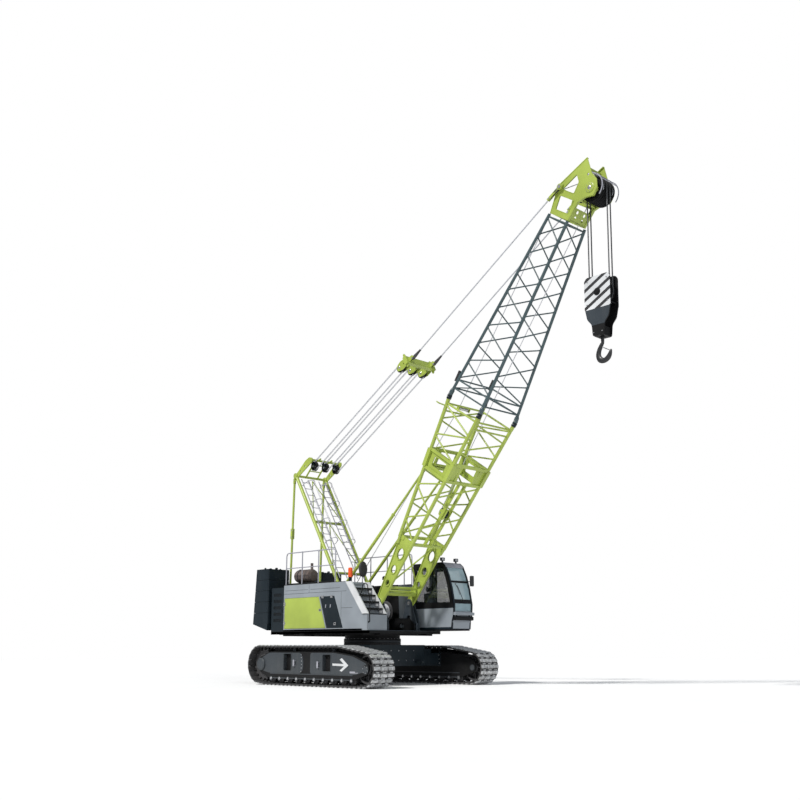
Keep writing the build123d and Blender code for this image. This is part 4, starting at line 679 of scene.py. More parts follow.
# two plates across the front of that frame, with a gap between them
for sy in (-1, 1):
    a0, a1 = corner(4.32, sy, -1), corner(4.78, sy, -1)
    b0, b1 = corner(4.32, 0, -1), corner(4.78, 0, -1)
    p = [a0, a1, a1.lerp(b1, 0.42), a0.lerp(b0, 0.42)]
    g.add(p + [q + OFF_BACK * 0.018 for q in p],
          [(0, 1, 2, 3), (7, 6, 5, 4), (0, 4, 5, 1), (1, 5, 6, 2), (2, 6, 7, 3), (3, 7, 4, 0)])
# side plates of the foot, with their rims and lightening holes
CHEEK = [(-0.11, -0.06), (-0.06, -0.125), (0.06, -0.125), (2.15, -0.295), (2.15, 0.295), (0.06, 0.125),
         (-0.06, 0.125), (-0.11, 0.06)]
HOLES = ((0.66, 0.075, 1.25), (1.12, 0.10, 1.3), (1.64, 0.125, 1.35))
for sy in (-1, 1):
    holes = [ring(l, 0, r, 32, w) for l, r, w in HOLES]
    g.plate([CHEEK] + holes, sy * 0.628, sy * 0.652, 0, on_boom)
    for l, r, w in HOLES:
        g.plate([ring(l, 0, r + 0.026, 32, (w * r + 0.026) / (r + 0.026)), ring(l, 0, r, 32, w)],
                sy * 0.606, sy * 0.674, 0, on_boom)
    for sh in (-1, 1):
        g.beam(bp(0.06, sy * 0.64, sh * 0.125), bp(2.15, sy * 0.64, sh * 0.295), 0.070, 0.026)
        g.tube(bp(1.86, sy * 0.655, sh * 0.262), corner(2.30, sy, sh), 0.054, 18)
        g.beam(bp(2.02, sy * 0.64, sh * 0.20), bp(2.155, sy * 0.64, sh * 0.20), 0.05, 0.17)
    g.lathe(bp(0, sy * 0.64, 0), ACROSS, even((0.035, 0.061), (0.035, 0.118), (0.028, 0.126)), 32)
    g.lathe(bp(0, 0, 0), ACROSS, [(sy * 0.56, 0), (sy * 0.56, 0.06), (sy * 0.712, 0.06),
                                  (sy * 0.712, 0.082), (sy * 0.718, 0.086), (sy * 0.722, 0.078),
                                  (sy * 0.722, 0)], 28, 2, False)
for l, h, size in ((0.33, 0.06, 0.085), (0.33, -0.06, 0.085), (0.50, 0.0, 0.06), (2.09, 0.24, 0.075),
                   (2.09, -0.24, 0.075)):
    g.beam(bp(l, -0.64, h), bp(l, 0.64, h), size, size, LENGTHWISE)
for sy in (-1, 1):
    g.tube(bp(0.55, sy * 0.62, 0.0), bp(2.02, sy * -0.62, 0.0), 0.024, 10)
# two bars along the inside that carry the rope guide, and its sheave
for y in (-0.13, 0.13):
    g.beam(bp(2.10, y, -0.24), bp(4.30, y, -0.50), 0.05, 0.09)
for y in (-0.10, 0.10):
    g.plate([rounded([(3.05, -0.46), (3.42, -0.50), (3.32, -0.22), (3.14, -0.20)], 0.05)],
            y - 0.012, y + 0.012, 0, on_boom)
guide = bp(3.22, 0, -0.29)
g.sheave(*guide, 0.15, 0.125, 0.045, 0.05, 1, 2, 32)
g.tube(guide - ACROSS * 0.14, guide + ACROSS * 0.14, 0.022, 14, 2)
# ends for the pins of the next section
for c in CORNERS:
    g.tube(corner(6.20, *c), corner(6.36, *c), 0.058, 20, 0)
    g.tube(corner(6.33, *c), corner(6.447, *c), 0.072, 20, 1)
    p = corner(6.40, *c)
    g.tube(p - ACROSS * 0.085, p + ACROSS * 0.085, 0.022, 12, 2)
for sy in (-1, 1):
    a = corner(6.12, sy, 1)
    elbow = a + ACROSS * (sy * 0.20) + OFF_BACK * 0.10
    g.tube(a, elbow, 0.020, 10)
    g.tube(elbow, elbow + OFF_BACK * 0.12, 0.020, 10)
# brackets that hold the backstops
STOP_TIP = Vector((2.704, 0, 6.251))
tip_l, tip_h = boom_axes(STOP_TIP.x, STOP_TIP.z)
for sy in (-1, 1):
    bracket = [(tip_l - 0.08, tip_h + 0.06), (tip_l + 0.08, tip_h + 0.06), (tip_l + 0.33, 0.43),
               (tip_l + 0.17, 0.43)]
    g.plate([rounded(bracket, 0.03)], sy * 0.365, sy * 0.395, 0, on_boom)
    g.tube(STOP_TIP + ACROSS * (sy * 0.345), STOP_TIP + ACROSS * (sy * 0.47), 0.026, 16, 2)
g.tube(bp(tip_l + 0.25, -0.69, 0.5), bp(tip_l + 0.25, 0.69, 0.5), 0.04, 16)
g.done("boom_lower_section", "boom", ["lime_paint", "dark_paint", "bare_steel"], 0.004, ["boom_butt"])

# Upper section
g = Gather()
chords(g, 6.56, 12.06, 0.042)
lattice(g, 6.98, 11.98, 9, 0.042, 0.0195)
for l in (6.68, 6.94, 11.99):
    frame_at(g, l, 0.023)
for face in (0, 2):
    g.tube(corner(6.68, *CORNERS[face]), corner(6.94, *CORNERS[face + 1]), 0.016, 10)
for c in CORNERS:
    g.tube(corner(6.455, *c), corner(6.60, *c), 0.066, 20, 0)
    g.tube(corner(6.59, *c), corner(6.66, *c), 0.066, 20, 0, 0.042)
    p = corner(6.50, *c)
    g.tube(p - ACROSS * 0.08, p + ACROSS * 0.08, 0.020, 12, 1)
# pads on which the boom rests when it lies down
for sy in (-1, 1):
    a = corner(7.02, sy, 1)
    for up, half, slot in ((0.075, (0.16, 0.035, 0.04), 2), (0.035, (0.10, 0.03, 0.03), 0)):
        g.block(a + OFF_BACK * up, (LENGTHWISE, ACROSS, OFF_BACK), half, slot)
g.done("boom_upper_section", "boom", ["boom_slate", "bare_steel", "black_plastic"], 0.003, ["boom_top"])

# Head
HEAD_PLATE = [(12.08, -0.35), (12.08, 0.35), (12.70, 0.47), (12.86, 0.47), (13.75, -0.05), (13.42, -0.42),
              (13.33, -0.66), (13.14, -0.80), (12.92, -0.80), (12.79, -0.56), (12.60, -0.40)]
WINDOWS = ([(12.22, -0.25), (12.22, 0.24), (12.62, 0.30), (12.62, -0.28)],
           [(12.76, -0.16), (12.76, 0.32), (13.28, 0.04), (13.10, -0.16)])
HEAD_RIMS = (([(12.08, 0.35), (12.70, 0.47), (12.86, 0.47), (13.740, -0.049)], -0.01),
             ([(12.08, -0.35), (12.60, -0.40), (12.79, -0.56), (12.92, -0.80), (13.14, -0.80)], 0.01))
HX = 8.73
axle = Vector((HX, 0, 12.98))
axle_l, axle_h = boom_axes(axle.x, axle.z)
# radius at which rope lies on the big sheaves
WRAP_R = 0.3125
HEAD_PIN = bp(12.80, 0, 0.36)
g = Gather()
for sy in (-1, 1):
    windows = [rounded(w, 0.045) for w in WINDOWS]
    bores = [ring(axle_l, axle_h, 0.064, 24), ring(13.36, -0.33, 0.035, 16)]
    g.plate([HEAD_PLATE] + windows + bores, sy * 0.363, sy * 0.385, 0, on_boom)
    for w in windows:
        g.plate([w, offset(w, 0.018)], sy * 0.350, sy * 0.392, 0, on_boom)
    for rim, inset in HEAD_RIMS:
        for (la, ha), (lb, hb) in zip(rim, rim[1:]):
            g.beam(bp(la, sy * 0.36, ha + inset), bp(lb, sy * 0.36, hb + inset), 0.07, 0.022)
    g.lathe((axle.x, sy * 0.385, axle.z), ACROSS, [(0, 0.062), (0, 0.14), (sy * 0.012, 0.14),
                                                   (sy * 0.018, 0.13), (sy * 0.018, 0.062)], 28, 0)
    g.bolts((axle.x, sy * 0.403, axle.z), (0, sy, 0), 0.115, 8, 0.011, 0.010, 2)
    # pendant lug and its pin
    g.plate([rounded([(12.62, 0.40), (12.80, 0.52), (12.88, 0.46), (12.92, 0.32), (12.70, 0.28)], 0.04),
             ring(12.80, 0.36, 0.030, 16)], sy * 0.385, sy * 0.41, 0, on_boom)
    g.lathe(HEAD_PIN, ACROSS, [(sy * 0.37, 0), (sy * 0.37, 0.03), (sy * 0.485, 0.03),
                                    (sy * 0.485, 0.048), (sy * 0.50, 0.048), (sy * 0.50, 0)], 20, 2, False)
for l0, l1, h0, h1 in ((12.085, 12.16, 0.27, 0.34), (12.085, 12.14, -0.345, -0.285),
                       (12.70, 12.80, 0.38, 0.45), (13.46, 13.56, -0.07, 0.0)):
    bbox(g, l0, l1, -0.37, 0.37, h0, h1)
for l, h, r in ((12.68, -0.38, 0.03), (13.08, -0.72, 0.028), (13.44, -0.36, 0.024)):
    g.tube(bp(l, -0.37, h), bp(l, 0.37, h), r, 16, 0 if r > 0.025 else 2)
# belly plate, and the dark plates between the sheaves
belly_holes = [ring(l, y, 0.045, 20) for l in (12.213, 12.365) for y in (-0.15, 0.15)]
g.plate([rect(12.10, 12.46, 0.37, -0.37)] + belly_holes, -0.345, -0.330, 0, lambda p, d: bp(p[0], p[1], d))
divider = rounded([(12.62, 0.10), (13.30, -0.02), (13.20, -0.10), (12.66, -0.10)], 0.03)
for y in (-0.14, 0.0, 0.14):
    g.plate([divider], y - 0.006, y + 0.006, 1, on_boom)
# rope guard over the sheaves, with its stays
turns = [radians(-43 + 159 * i / 20) for i in range(21)]
guard = [(axle.x + r * cos(t), axle.z + r * sin(t)) for r, ts in ((0.400, turns), (0.371, turns[::-1]))
         for t in ts]
for y in (-0.369, 0.369):
    g.plate([guard], y - 0.006, y + 0.006, 3)
for degree in (26, 56, 86):
    stay = Vector((axle.x + 0.385 * cos(radians(degree)), 0, axle.z + 0.385 * sin(radians(degree))))
    g.tube(stay - ACROSS * 0.375, stay + ACROSS * 0.375, 0.011, 10, 3)
g.done("boom_head_frame", "boom", ["lime_paint", "dark_paint", "bare_steel", "rail_grey"], 0.003,
       ["boom_head"])


def wrap_round(g, centre, y, degrees_round, r, slot):
    """Rope laid in the groove of a sheave round centre, from one angle to the next."""
    g.pipe([(centre.x + WRAP_R * cos(radians(t)), y, centre.z + WRAP_R * sin(radians(t)))
            for t in degrees_round], r, 8, slot)


g = Gather()
for y in (-0.21, -0.07, 0.07, 0.21):
    g.sheave(axle.x, y, axle.z, 0.345, 0.300, 0.052, 0.085, 0, 1, 44)
    for spot in circle(AHEAD, UP, 0.17, 6):
        p = axle + spot + ACROSS * y
        g.tube(p - ACROSS * 0.024, p + ACROSS * 0.024, 0.035, 14, 0)
g.lathe(axle, ACROSS, even((0.412, 0), (0.412, 0.05), (0.404, 0.06)), 28, 1, False)
for y in (-0.07, 0.07):
    wrap_round(g, axle, y, range(-24, 205, 6), 0.016, 2)
g.done("head_sheave_set", "boom", ["black_paint", "bare_steel", "greased_rope"], 0.0, ["head_sheaves"])

# Pendants, spreader and ropes

SHEAVE_YS = (-0.45, 0.0, 0.45)
PENDANT_Y = 0.45
LUFF_FROM, LUFF_TO = Vector((-2.4, 0, 6.97)), Vector((1.69, 0, 9.49))
LINK_PIN = Vector((2.44, 0, 9.84))
pend_u = (HEAD_PIN - LINK_PIN).normalized()
pend_low = LINK_PIN - pend_u * 0.27
pend_axes = (pend_u, ACROSS, ACROSS.cross(pend_u))
g = Gather()
for sy in (-1, 1):
    y = ACROSS * (sy * PENDANT_Y)
    g.tube(pend_low + y + pend_u * 0.34, HEAD_PIN + y - pend_u * 0.40, 0.020, 16, 1)
    for end, u in ((pend_low + y, pend_u), (HEAD_PIN + y, -pend_u)):
        socket = [(0, 0.0), (0, 0.046), (0.06, 0.046), (0.22, 0.030), (0.27, 0.030), (0.27, 0.0)]
        g.lathe(end + u * 0.10, u, socket, 20, 2, False)
        for s in (-1, 1):
            g.block(end + u * 0.05 + ACROSS * (s * 0.014), pend_axes, (0.075, 0.010, 0.045), 2)
        g.collar(end, ACROSS, -0.0255, 0.0255, 0.021, 0.047, 24, 2)
    # two flat lime links below the head
    top = HEAD_PIN + y - pend_u * 0.42
    for s in (-1, 1):
        g.block(top + pend_u * 0.17 + ACROSS * (s * 0.030), pend_axes, (0.23, 0.008, 0.036), 0)
    for d in (0.0, 0.33):
        p = top + pend_u * d
        g.tube(p - ACROSS * 0.05, p + ACROSS * 0.05, 0.022, 14, 3)
    g.collar(HEAD_PIN + y, ACROSS, -0.03, 0.03, 0.034, 0.083, 28, 0)
g.done("boom_pendant_set", "boom", ["lime_paint", "wire_rope", "cast_steel", "bare_steel"], 0.0,
       ["boom_pendants"])

turn = atan2(LINK_PIN.z - LUFF_TO.z, LINK_PIN.x - LUFF_TO.x)


def on_spreader(p, d):
    """The spreader's own plane: along it from its sheaves' pin, and off it."""
    a, b = p
    return Vector((LUFF_TO.x + a * cos(turn) - b * sin(turn), d, LUFF_TO.z + a * sin(turn) + b * cos(turn)))


g = Gather()
SPREADER_CHEEK = rounded([(-0.12, -0.06), (-0.06, 0.10), (0.10, 0.15), (0.33, 0.12), (0.36, 0.0),
                          (0.33, -0.12), (0.10, -0.15), (-0.06, -0.10)], 0.05)
HORNS = ([(0.30, 0.10), (0.42, 0.10), (0.36, 0.26), (0.30, 0.24)],
         [(0.30, -0.10), (0.42, -0.10), (0.36, -0.22), (0.30, -0.20)])
LINK_PLATE = rounded([(0.41, -0.07), (0.41, 0.07), (0.58, 0.055), (0.62, 0.0), (0.60, -0.035)], 0.02)
for y in SHEAVE_YS:
    for dy in (-0.075, 0.075):
        g.plate([SPREADER_CHEEK, ring(0.21, 0.0, 0.028, 16)], y + dy - 0.009, y + dy + 0.009, 0, on_spreader)
    pin = LUFF_TO + ACROSS * y
    g.lathe(pin, ACROSS, even((0.098, 0), (0.098, 0.030), (0.09, 0.042), (0.084, 0.042)), 22, 3, False)
    g.sheave(*pin, 0.150, 0.125, 0.045, 0.05, 1, 3, 36)
g.plate([rect(0.30, 0.42, 0.12, -0.12), rect(0.325, 0.395, 0.095, -0.095)], -0.60, 0.60, 0, on_spreader)
for sy in (-1, 1):
    g.plate([rect(0.29, 0.43, 0.13, -0.13)], sy * 0.595, sy * 0.607, 0, on_spreader)
    for horn in HORNS:
        g.plate([rounded(horn, 0.03)], sy * 0.54, sy * 0.56, 0, on_spreader)
    for dy in (-1, 1):
        y0 = sy * PENDANT_Y + dy * 0.026
        g.plate([LINK_PLATE], y0, y0 + dy * 0.022, 0, on_spreader)
    g.lathe(pend_low + ACROSS * (sy * PENDANT_Y), ACROSS,
            even((0.058, 0), (0.058, 0.03), (0.05, 0.03), (0.05, 0.02)), 18, 3, False)
g.done("luff_spreader_set", "boom", ["lime_paint", "black_paint", "wire_rope", "bare_steel"], 0.003,
       ["luff_spreader"])

# Luffing ropes: four parts on each sheave, drawn straight from gantry to spreader
luff_u = (LUFF_TO - LUFF_FROM).normalized()
luff_n = luff_u.cross(ACROSS)
if luff_n.z < 0:
    luff_n = -luff_n
g = Gather()
for y in SHEAVE_YS:
    for dy in (-0.018, 0.018):
        for dn in (-0.134, 0.134):
            shift = luff_n * dn + ACROSS * (y + dy)
            g.pipe([LUFF_FROM.lerp(LUFF_TO, k / 24) + shift for k in range(25)], 0.010, 8, 0)
ropes = g.done("luff_ropes", None, ["wire_rope"], 0.0)
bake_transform(ropes)
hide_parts("luff_ropes_near", "luff_ropes_far")

# Gantry
LEG_FOOT, LEG_TOP, STAY_FOOT = Vector((-0.26, 0, 1.99)), Vector((-3.15, 0, 6.72)), Vector((-3.385, 0, 1.99))
GANTRY_Y = 0.62
leg_u = (LEG_TOP - LEG_FOOT).normalized()
leg_n = Vector((-leg_u.z, 0, leg_u.x))
leg_long = (LEG_TOP - LEG_FOOT).length
g = Gather()
for sy in (-1, 1):
    y = ACROSS * (sy * GANTRY_Y)
    g.tube(LEG_FOOT + y + leg_u * 0.12, LEG_TOP + y, 0.055, 22)
    g.collar(LEG_FOOT + y, ACROSS, -0.04, 0.04, 0.03, 0.075, 26)
    g.block(LEG_FOOT + y + leg_u * 0.10, (leg_u, ACROSS, leg_n), (0.07, 0.032, 0.058))
    g.lathe(LEG_FOOT, ACROSS, [(sy * 0.494, 0), (sy * 0.494, 0.03), (sy * 0.665, 0.03), (sy * 0.665, 0.045),
                               (sy * 0.675, 0.045), (sy * 0.675, 0)], 20, 1, False)
    g.lathe(LEG_TOP + y, ACROSS, even((0.06, 0.0), (0.06, 0.085), (0.055, 0.09)), 28, 0, False)
    g.bolts(LEG_TOP + y + ACROSS * (sy * 0.06), ACROSS * sy, 0.06, 6, 0.010, 0.010, 1)
    g.box(LEG_TOP.x - 0.13, LEG_TOP.x - 0.02, sy * GANTRY_Y - 0.012, sy * GANTRY_Y + 0.012,
          LEG_TOP.z - 0.19, LEG_TOP.z)
    arm = rounded([(-3.23, 6.70), (-3.12, 6.62), (-2.33, 7.10), (-2.33, 7.23), (-2.48, 7.26),
                   (-2.66, 7.18)], 0.04)
    g.plate([arm] + [ring(-3.12 + 0.22 * k, 6.72 + 0.135 * k, 0.034, 18) for k in (1, 2)],
            sy * GANTRY_Y - 0.02, sy * GANTRY_Y + 0.02)
for share in (0.30, 0.66, 1.0):
    p = LEG_FOOT.lerp(LEG_TOP, share)
    g.tube(p - ACROSS * GANTRY_Y, p + ACROSS * GANTRY_Y, 0.040, 18)
for a, b in ((0.31, 0.65), (0.67, 0.975)):
    for sy in (-1, 1):
        g.tube(LEG_FOOT.lerp(LEG_TOP, a) + ACROSS * (sy * GANTRY_Y), LEG_FOOT.lerp(LEG_TOP, b), 0.016, 10)
g.tube((-2.47, -GANTRY_Y, 7.19), (-2.47, GANTRY_Y, 7.19), 0.036, 18)
# curved beam over the gantry's sheaves
arc = [(-3.10 + 0.74 * k / 14, 6.74 + 0.50 * k / 14 + 0.10 * sin(pi * k / 14)) for k in range(15)]
for y in (-0.24, 0.24):
    g.pipe([(x, y, z) for x, z in arc], 0.028, 12)
for x, z in arc[3::4]:
    g.tube((x, -0.24, z), (x, 0.24, z), 0.020, 10)
g.done("gantry_frame", "superstructure", ["lime_paint", "bare_steel"], 0.003, ["gantry_legs"])

HANGER = rounded([(-2.53, 7.1535), (-2.41, 7.1535), (-2.33, 7.00), (-2.35, 6.92), (-2.45, 6.92)], 0.02)
g = Gather()
for y in SHEAVE_YS:
    g.sheave(LUFF_FROM.x, y, LUFF_FROM.z, 0.150, 0.125, 0.045, 0.05, 0, 1, 36)
    for dy in (-0.065, 0.065):
        g.plate([HANGER], y + dy - 0.008, y + dy + 0.008, 2)
    g.disc((LUFF_FROM.x, y, LUFF_FROM.z), ACROSS, -0.08, 0.08, 0.03, 20, 1)
g.done("gantry_sheave_set", "superstructure", ["black_paint", "bare_steel", "dark_paint"], 0.0,
       ["gantry_sheaves"])

stay_top = Vector((LEG_TOP.x - 0.09, 0, LEG_TOP.z - 0.20))
stay_u = (stay_top - STAY_FOOT).normalized()
g = Gather()
for sy in (-1, 1):
    y = ACROSS * (sy * GANTRY_Y)
    mid = STAY_FOOT.lerp(stay_top, 0.62) + y
    g.tube(STAY_FOOT + y + stay_u * 0.10, mid - stay_u * 0.12, 0.036, 18)
    g.tube(mid + stay_u * 0.12, stay_top + y - stay_u * 0.06, 0.036, 18)
    for s in (-1, 1):
        g.block(mid + ACROSS * (s * 0.040), (stay_u, ACROSS, stay_u.cross(ACROSS)), (0.17, 0.010, 0.045))
        g.box(LEG_TOP.x - 0.125, LEG_TOP.x - 0.055, sy * GANTRY_Y + s * 0.0123,
              sy * GANTRY_Y + s * 0.034, LEG_TOP.z - 0.26, LEG_TOP.z - 0.09)
    for p in (mid - stay_u * 0.11, mid + stay_u * 0.11):
        g.tube(p - ACROSS * 0.058, p + ACROSS * 0.058, 0.022, 14, 1)
    g.collar(STAY_FOOT + y, ACROSS, -0.036, 0.036, 0.03, 0.06, 22)
    g.block(STAY_FOOT + y + stay_u * 0.08, (stay_u, ACROSS, stay_u.cross(ACROSS)), (0.05, 0.028, 0.045))
    g.disc(STAY_FOOT, ACROSS, sy * 0.494, sy * 0.60, 0.03, 18, 1)
    pin = Vector((LEG_TOP.x - 0.09, sy * GANTRY_Y, LEG_TOP.z - 0.15))
    g.tube(pin - ACROSS * 0.045, pin + ACROSS * 0.045, 0.018, 12, 1)
g.done("gantry_backstay_set", "superstructure", ["lime_paint", "bare_steel"], 0.003, ["gantry_backstays"])

# ladders with safety hoops
ladder_n = leg_n if leg_n.z > 0 else -leg_n
HOOP_HALF, HOOP_OUT = 0.21, 0.33


def on_leg(share):
    """A point of the ladders' plane, at a share of the leg's length."""
    return LEG_FOOT + leg_u * (leg_long * share) + ladder_n * 0.0563


g = Gather()
for sy in (-1, 1):
    y0, y1 = sy * (GANTRY_Y - 0.40), sy * (GANTRY_Y - 0.11)
    a, b, mid = on_leg(0.26), on_leg(0.97), (y0 + y1) / 2
    for y in (y0, y1):
        g.tube(a + ACROSS * y, b + ACROSS * y, 0.016, 12)
    steps = 15
    for k in range(steps):
        p = a.lerp(b, (k + 0.5) / steps)
        g.tube(p + ACROSS * y0, p + ACROSS * y1, 0.011, 8)
    bow = [ACROSS * (mid + HOOP_HALF * cos(pi * j / 12)) + ladder_n * (HOOP_OUT * sin(pi * j / 12))
           for j in range(13)]
    for share in (0.50, 0.64, 0.78, 0.92):
        p = on_leg(share)
        g.pipe([p + ACROSS * (mid + 0.145)] + [p + d for d in bow] + [p + ACROSS * (mid - 0.145)], 0.010, 8)
    for j in (3, 6, 9):
        g.tube(on_leg(0.49) + bow[j], on_leg(0.93) + bow[j], 0.007, 6)
g.done("gantry_ladder_set", "superstructure", ["rail_grey"], 0.0, ["gantry_ladders"])

# Hoist falls, block and hook
BLOCK = Vector((axle.x, 0, 10.18))
g = Gather()
for sx in (-1, 1):
    for y in (-0.07, 0.07):
        x = BLOCK.x + sx * WRAP_R
        g.pipe([(x, y, BLOCK.z + (axle.z - BLOCK.z) * k / 20) for k in range(21)], 0.018, 10)
falls = g.done("hoist_fall_ropes", None, ["greased_rope"], 0.0, finish="wire_rope")
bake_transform(falls)
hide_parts("hoist_falls")


def both_sides(*right):
    """An outline round the block's middle line, from its right half."""
    return [(BLOCK.x + x, z) for x, z in right] + [(BLOCK.x - x, z) for x, z in right[::-1]]


def clipped(poly, nx, nz, lo, hi):
    """The part of a polygon with lo <= p.n <= hi."""
    for sign, limit in ((1, hi), (-1, -lo)):
        out = []
        for i, p in enumerate(poly):
            q = poly[(i + 1) % len(poly)]
            a, b = sign * (p[0] * nx + p[1] * nz) - limit, sign * (q[0] * nx + q[1] * nz) - limit
            if a <= 0:
                out.append(p)
            if (a < 0 < b) or (b < 0 < a):
                t = a / (a - b)
                out.append((p[0] + (q[0] - p[0]) * t, p[1] + (q[1] - p[1]) * t))
        poly = out
    return poly


g = Gather()
outline = rounded(both_sides((0.33, 10.62), (0.40, 10.53), (0.40, 9.80), (0.33, 9.48), (0.20, 9.33),
                             (0.17, 9.01)), 0.05)
upper = rounded(both_sides((0.33, 10.62), (0.40, 10.53), (0.40, 9.74)), 0.03)
lower = clipped(outline, 0, 1, 9.30, 9.74)
# slanted stripes: across them is the direction (STRIPE_X, STRIPE_Z)
STRIPE_X, STRIPE_Z, STRIPE_STEP = -0.48, 0.877, 0.217
stripe_base = BLOCK.x * STRIPE_X + 9.2 * STRIPE_Z - 2 * STRIPE_STEP
for sy in (-1, 1):
    g.plate([outline], sy * 0.150, sy * 0.186, 0)
    for k in range(12):
        for start, wide, slot in ((0.0, 0.088, 2), (0.088, 0.129, 1)):
            lo = stripe_base + k * STRIPE_STEP + start
            band = clipped(upper, STRIPE_X, STRIPE_Z, lo, lo + wide)
            if len(band) > 2:
                g.plate([band], sy * 0.186, sy * 0.190, slot)
    g.plate([lower], sy * 0.186, sy * 0.1895, 3)
    for x, z in ((0.30, 10.50), (0.32, 9.88), (0.13, 9.10)):
        for sx in (-1, 1):
            g.tube((BLOCK.x + sx * x, sy * 0.186, z), (BLOCK.x + sx * x, sy * 0.204, z), 0.018, 6, 4)
    cap = [(sy * d, r) for d, r in ((0.186, 0), (0.186, 0.10), (0.200, 0.10), (0.204, 0.055),
                                    (0.215, 0.055), (0.215, 0))]
    g.lathe(BLOCK, ACROSS, cap, 28, 0, False)
for y in (-0.07, 0.07):
    g.sheave(BLOCK.x, y, BLOCK.z, 0.345, 0.300, 0.050, 0.08, 0, 4, 44)
    wrap_round(g, BLOCK, y, range(180, 361, 6), 0.016, 5)
for sx in (-1, 1):
    for x, z in ((0.30, 10.50), (0.33, 9.86)):
        g.tube((BLOCK.x + sx * x, -0.15, z), (BLOCK.x + sx * x, 0.15, z), 0.020, 14, 0)
    # the stem's guide at the foot of the block
    g.plate([rect(BLOCK.x - 0.15, BLOCK.x + 0.15, 9.25, 9.01)], *sorted((sx * 0.150, sx * 0.06)), 0)
    g.box(BLOCK.x + sx * 0.06, BLOCK.x + sx * 0.15, -0.062, 0.062, 9.01, 9.25)
g.done("hook_block_body", "hook_block",
       ["black_paint", "white_paint", "black_plastic", "slate_paint", "bare_steel", "greased_rope"],
       0.003, ["hook_block"], finish="black_paint")

# Hook: a swept bow of changing section, with its shank, nut and latch
g = Gather()
g.lathe((BLOCK.x, 0, 8.80), UP, [(0.0, 0), (0.0, 0.043), (0.20, 0.046), (0.50, 0.046), (0.50, 0)], 24, 0,
        False)
g.lathe((BLOCK.x, 0, 9.2503), UP, [(0, 0.0), (0, 0.085), (0.05, 0.085), (0.06, 0.075), (0.06, 0.0)], 24, 1,
        False)
# along the bow: x and z of its middle, half its depth and half its width
BOW = [(0.0, 8.86, 0.046, 0.046), (-0.045, 8.78, 0.058, 0.046), (-0.105, 8.69, 0.066, 0.045),
       (-0.145, 8.58, 0.075, 0.045), (-0.135, 8.47, 0.085, 0.045), (-0.075, 8.392, 0.092, 0.045),
       (0.02, 8.362, 0.072, 0.045), (0.105, 8.385, 0.078, 0.045), (0.18, 8.445, 0.080, 0.044),
       (0.218, 8.52, 0.058, 0.040), (0.240, 8.59, 0.040, 0.032), (0.258, 8.635, 0.018, 0.018)]
rings = []
for i, (x, z, deep, wide) in enumerate(BOW):
    a, b = BOW[max(i - 1, 0)], BOW[min(i + 1, len(BOW) - 1)]
    u = Vector((b[0] - a[0], 0, b[1] - a[1])).normalized()
    section = circle(Vector((u.z, 0, -u.x)) * deep, ACROSS * wide, 1, 16)
    rings.append([Vector((BLOCK.x + x, 0, z)) + d for d in section])
g.loft(rings, 0, True)
latch = [(BLOCK.x + x, z) for x, z in ((0.0, 8.705), (0.035, 8.73), (0.215, 8.62), (0.20, 8.60))]
for sy in (-1, 1):
    g.plate([latch], sy * 0.035, sy * 0.041, 1)
g.tube((BLOCK.x + 0.012, -0.045, 8.715), (BLOCK.x + 0.012, 0.045, 8.715), 0.012, 10, 1)
hook = g.done("hook_body", "hook", ["hook_steel", "bare_steel"], 0.0, ["hook"], smooth_angle=60)
sub = hook.modifiers.new("subdivision", "SUBSURF")
sub.levels = sub.render_levels = 1

# Backstops
STOP_FOOT = Vector((-1.2, 0, 2.66))
stop_u = (STOP_TIP - STOP_FOOT).normalized()
stop_long = (STOP_TIP - STOP_FOOT).length
TUBE_PROFILE = [(0.06, 0.0), (0.06, 0.048), (3.47, 0.048), (3.47, 0.058), (3.50, 0.058), (3.50, 0.035),
                (0.16, 0.035), (0.16, 0.0)]
tubes, rods = Gather(), Gather()
for sy in (-1, 1):
    foot = STOP_FOOT + ACROSS * (sy * 0.44)
    tip = foot + stop_u * stop_long
    tubes.lathe(foot, stop_u, TUBE_PROFILE, 26, 0, False)
    tubes.collar(foot, ACROSS, -0.04, 0.04, 0.03, 0.07, 22)
    tubes.disc(STOP_FOOT, ACROSS, sy * 0.39, sy * 0.532, 0.03, 18, 1)
    rods.tube(tip - stop_u * 3.05, tip - stop_u * 0.05, 0.034, 22, 0)
    rods.collar(tip, ACROSS, sy * 0.034, sy * -0.037, 0.027, 0.05, 22, 0)
    rods.block(tip - stop_u * 0.06, (stop_u, ACROSS, stop_u.cross(ACROSS)), (0.03, 0.03, 0.036), 0)
tubes.done("backstop_tube_set", "backstop_tubes", ["lime_paint", "bare_steel"], 0.0, ["backstop_tubes"])
rods.done("backstop_rod_set", "backstop_rods", ["lime_paint", "bare_steel"], 0.0, ["backstop_rods"])

# Track frames with their windows

FRAME_SIDE = [(-2.48, 0.43), (-1.90, 0.20), (1.90, 0.20), (2.53, 0.40), (2.53, 0.70), (1.90, 0.895),
              (1.10, 0.985), (-1.90, 0.985), (-2.48, 0.80)]
WINDOW = [rect(-1.225, -0.87, 0.44, 0.925), rect(0.58, 0.93, 0.44, 0.905)]
ARROW = [(1.02, 0.665), (1.02, 0.605), (1.52, 0.590), (1.33, 0.470), (1.42, 0.445), (1.70, 0.617),
         (1.42, 0.815), (1.33, 0.775), (1.50, 0.655)]
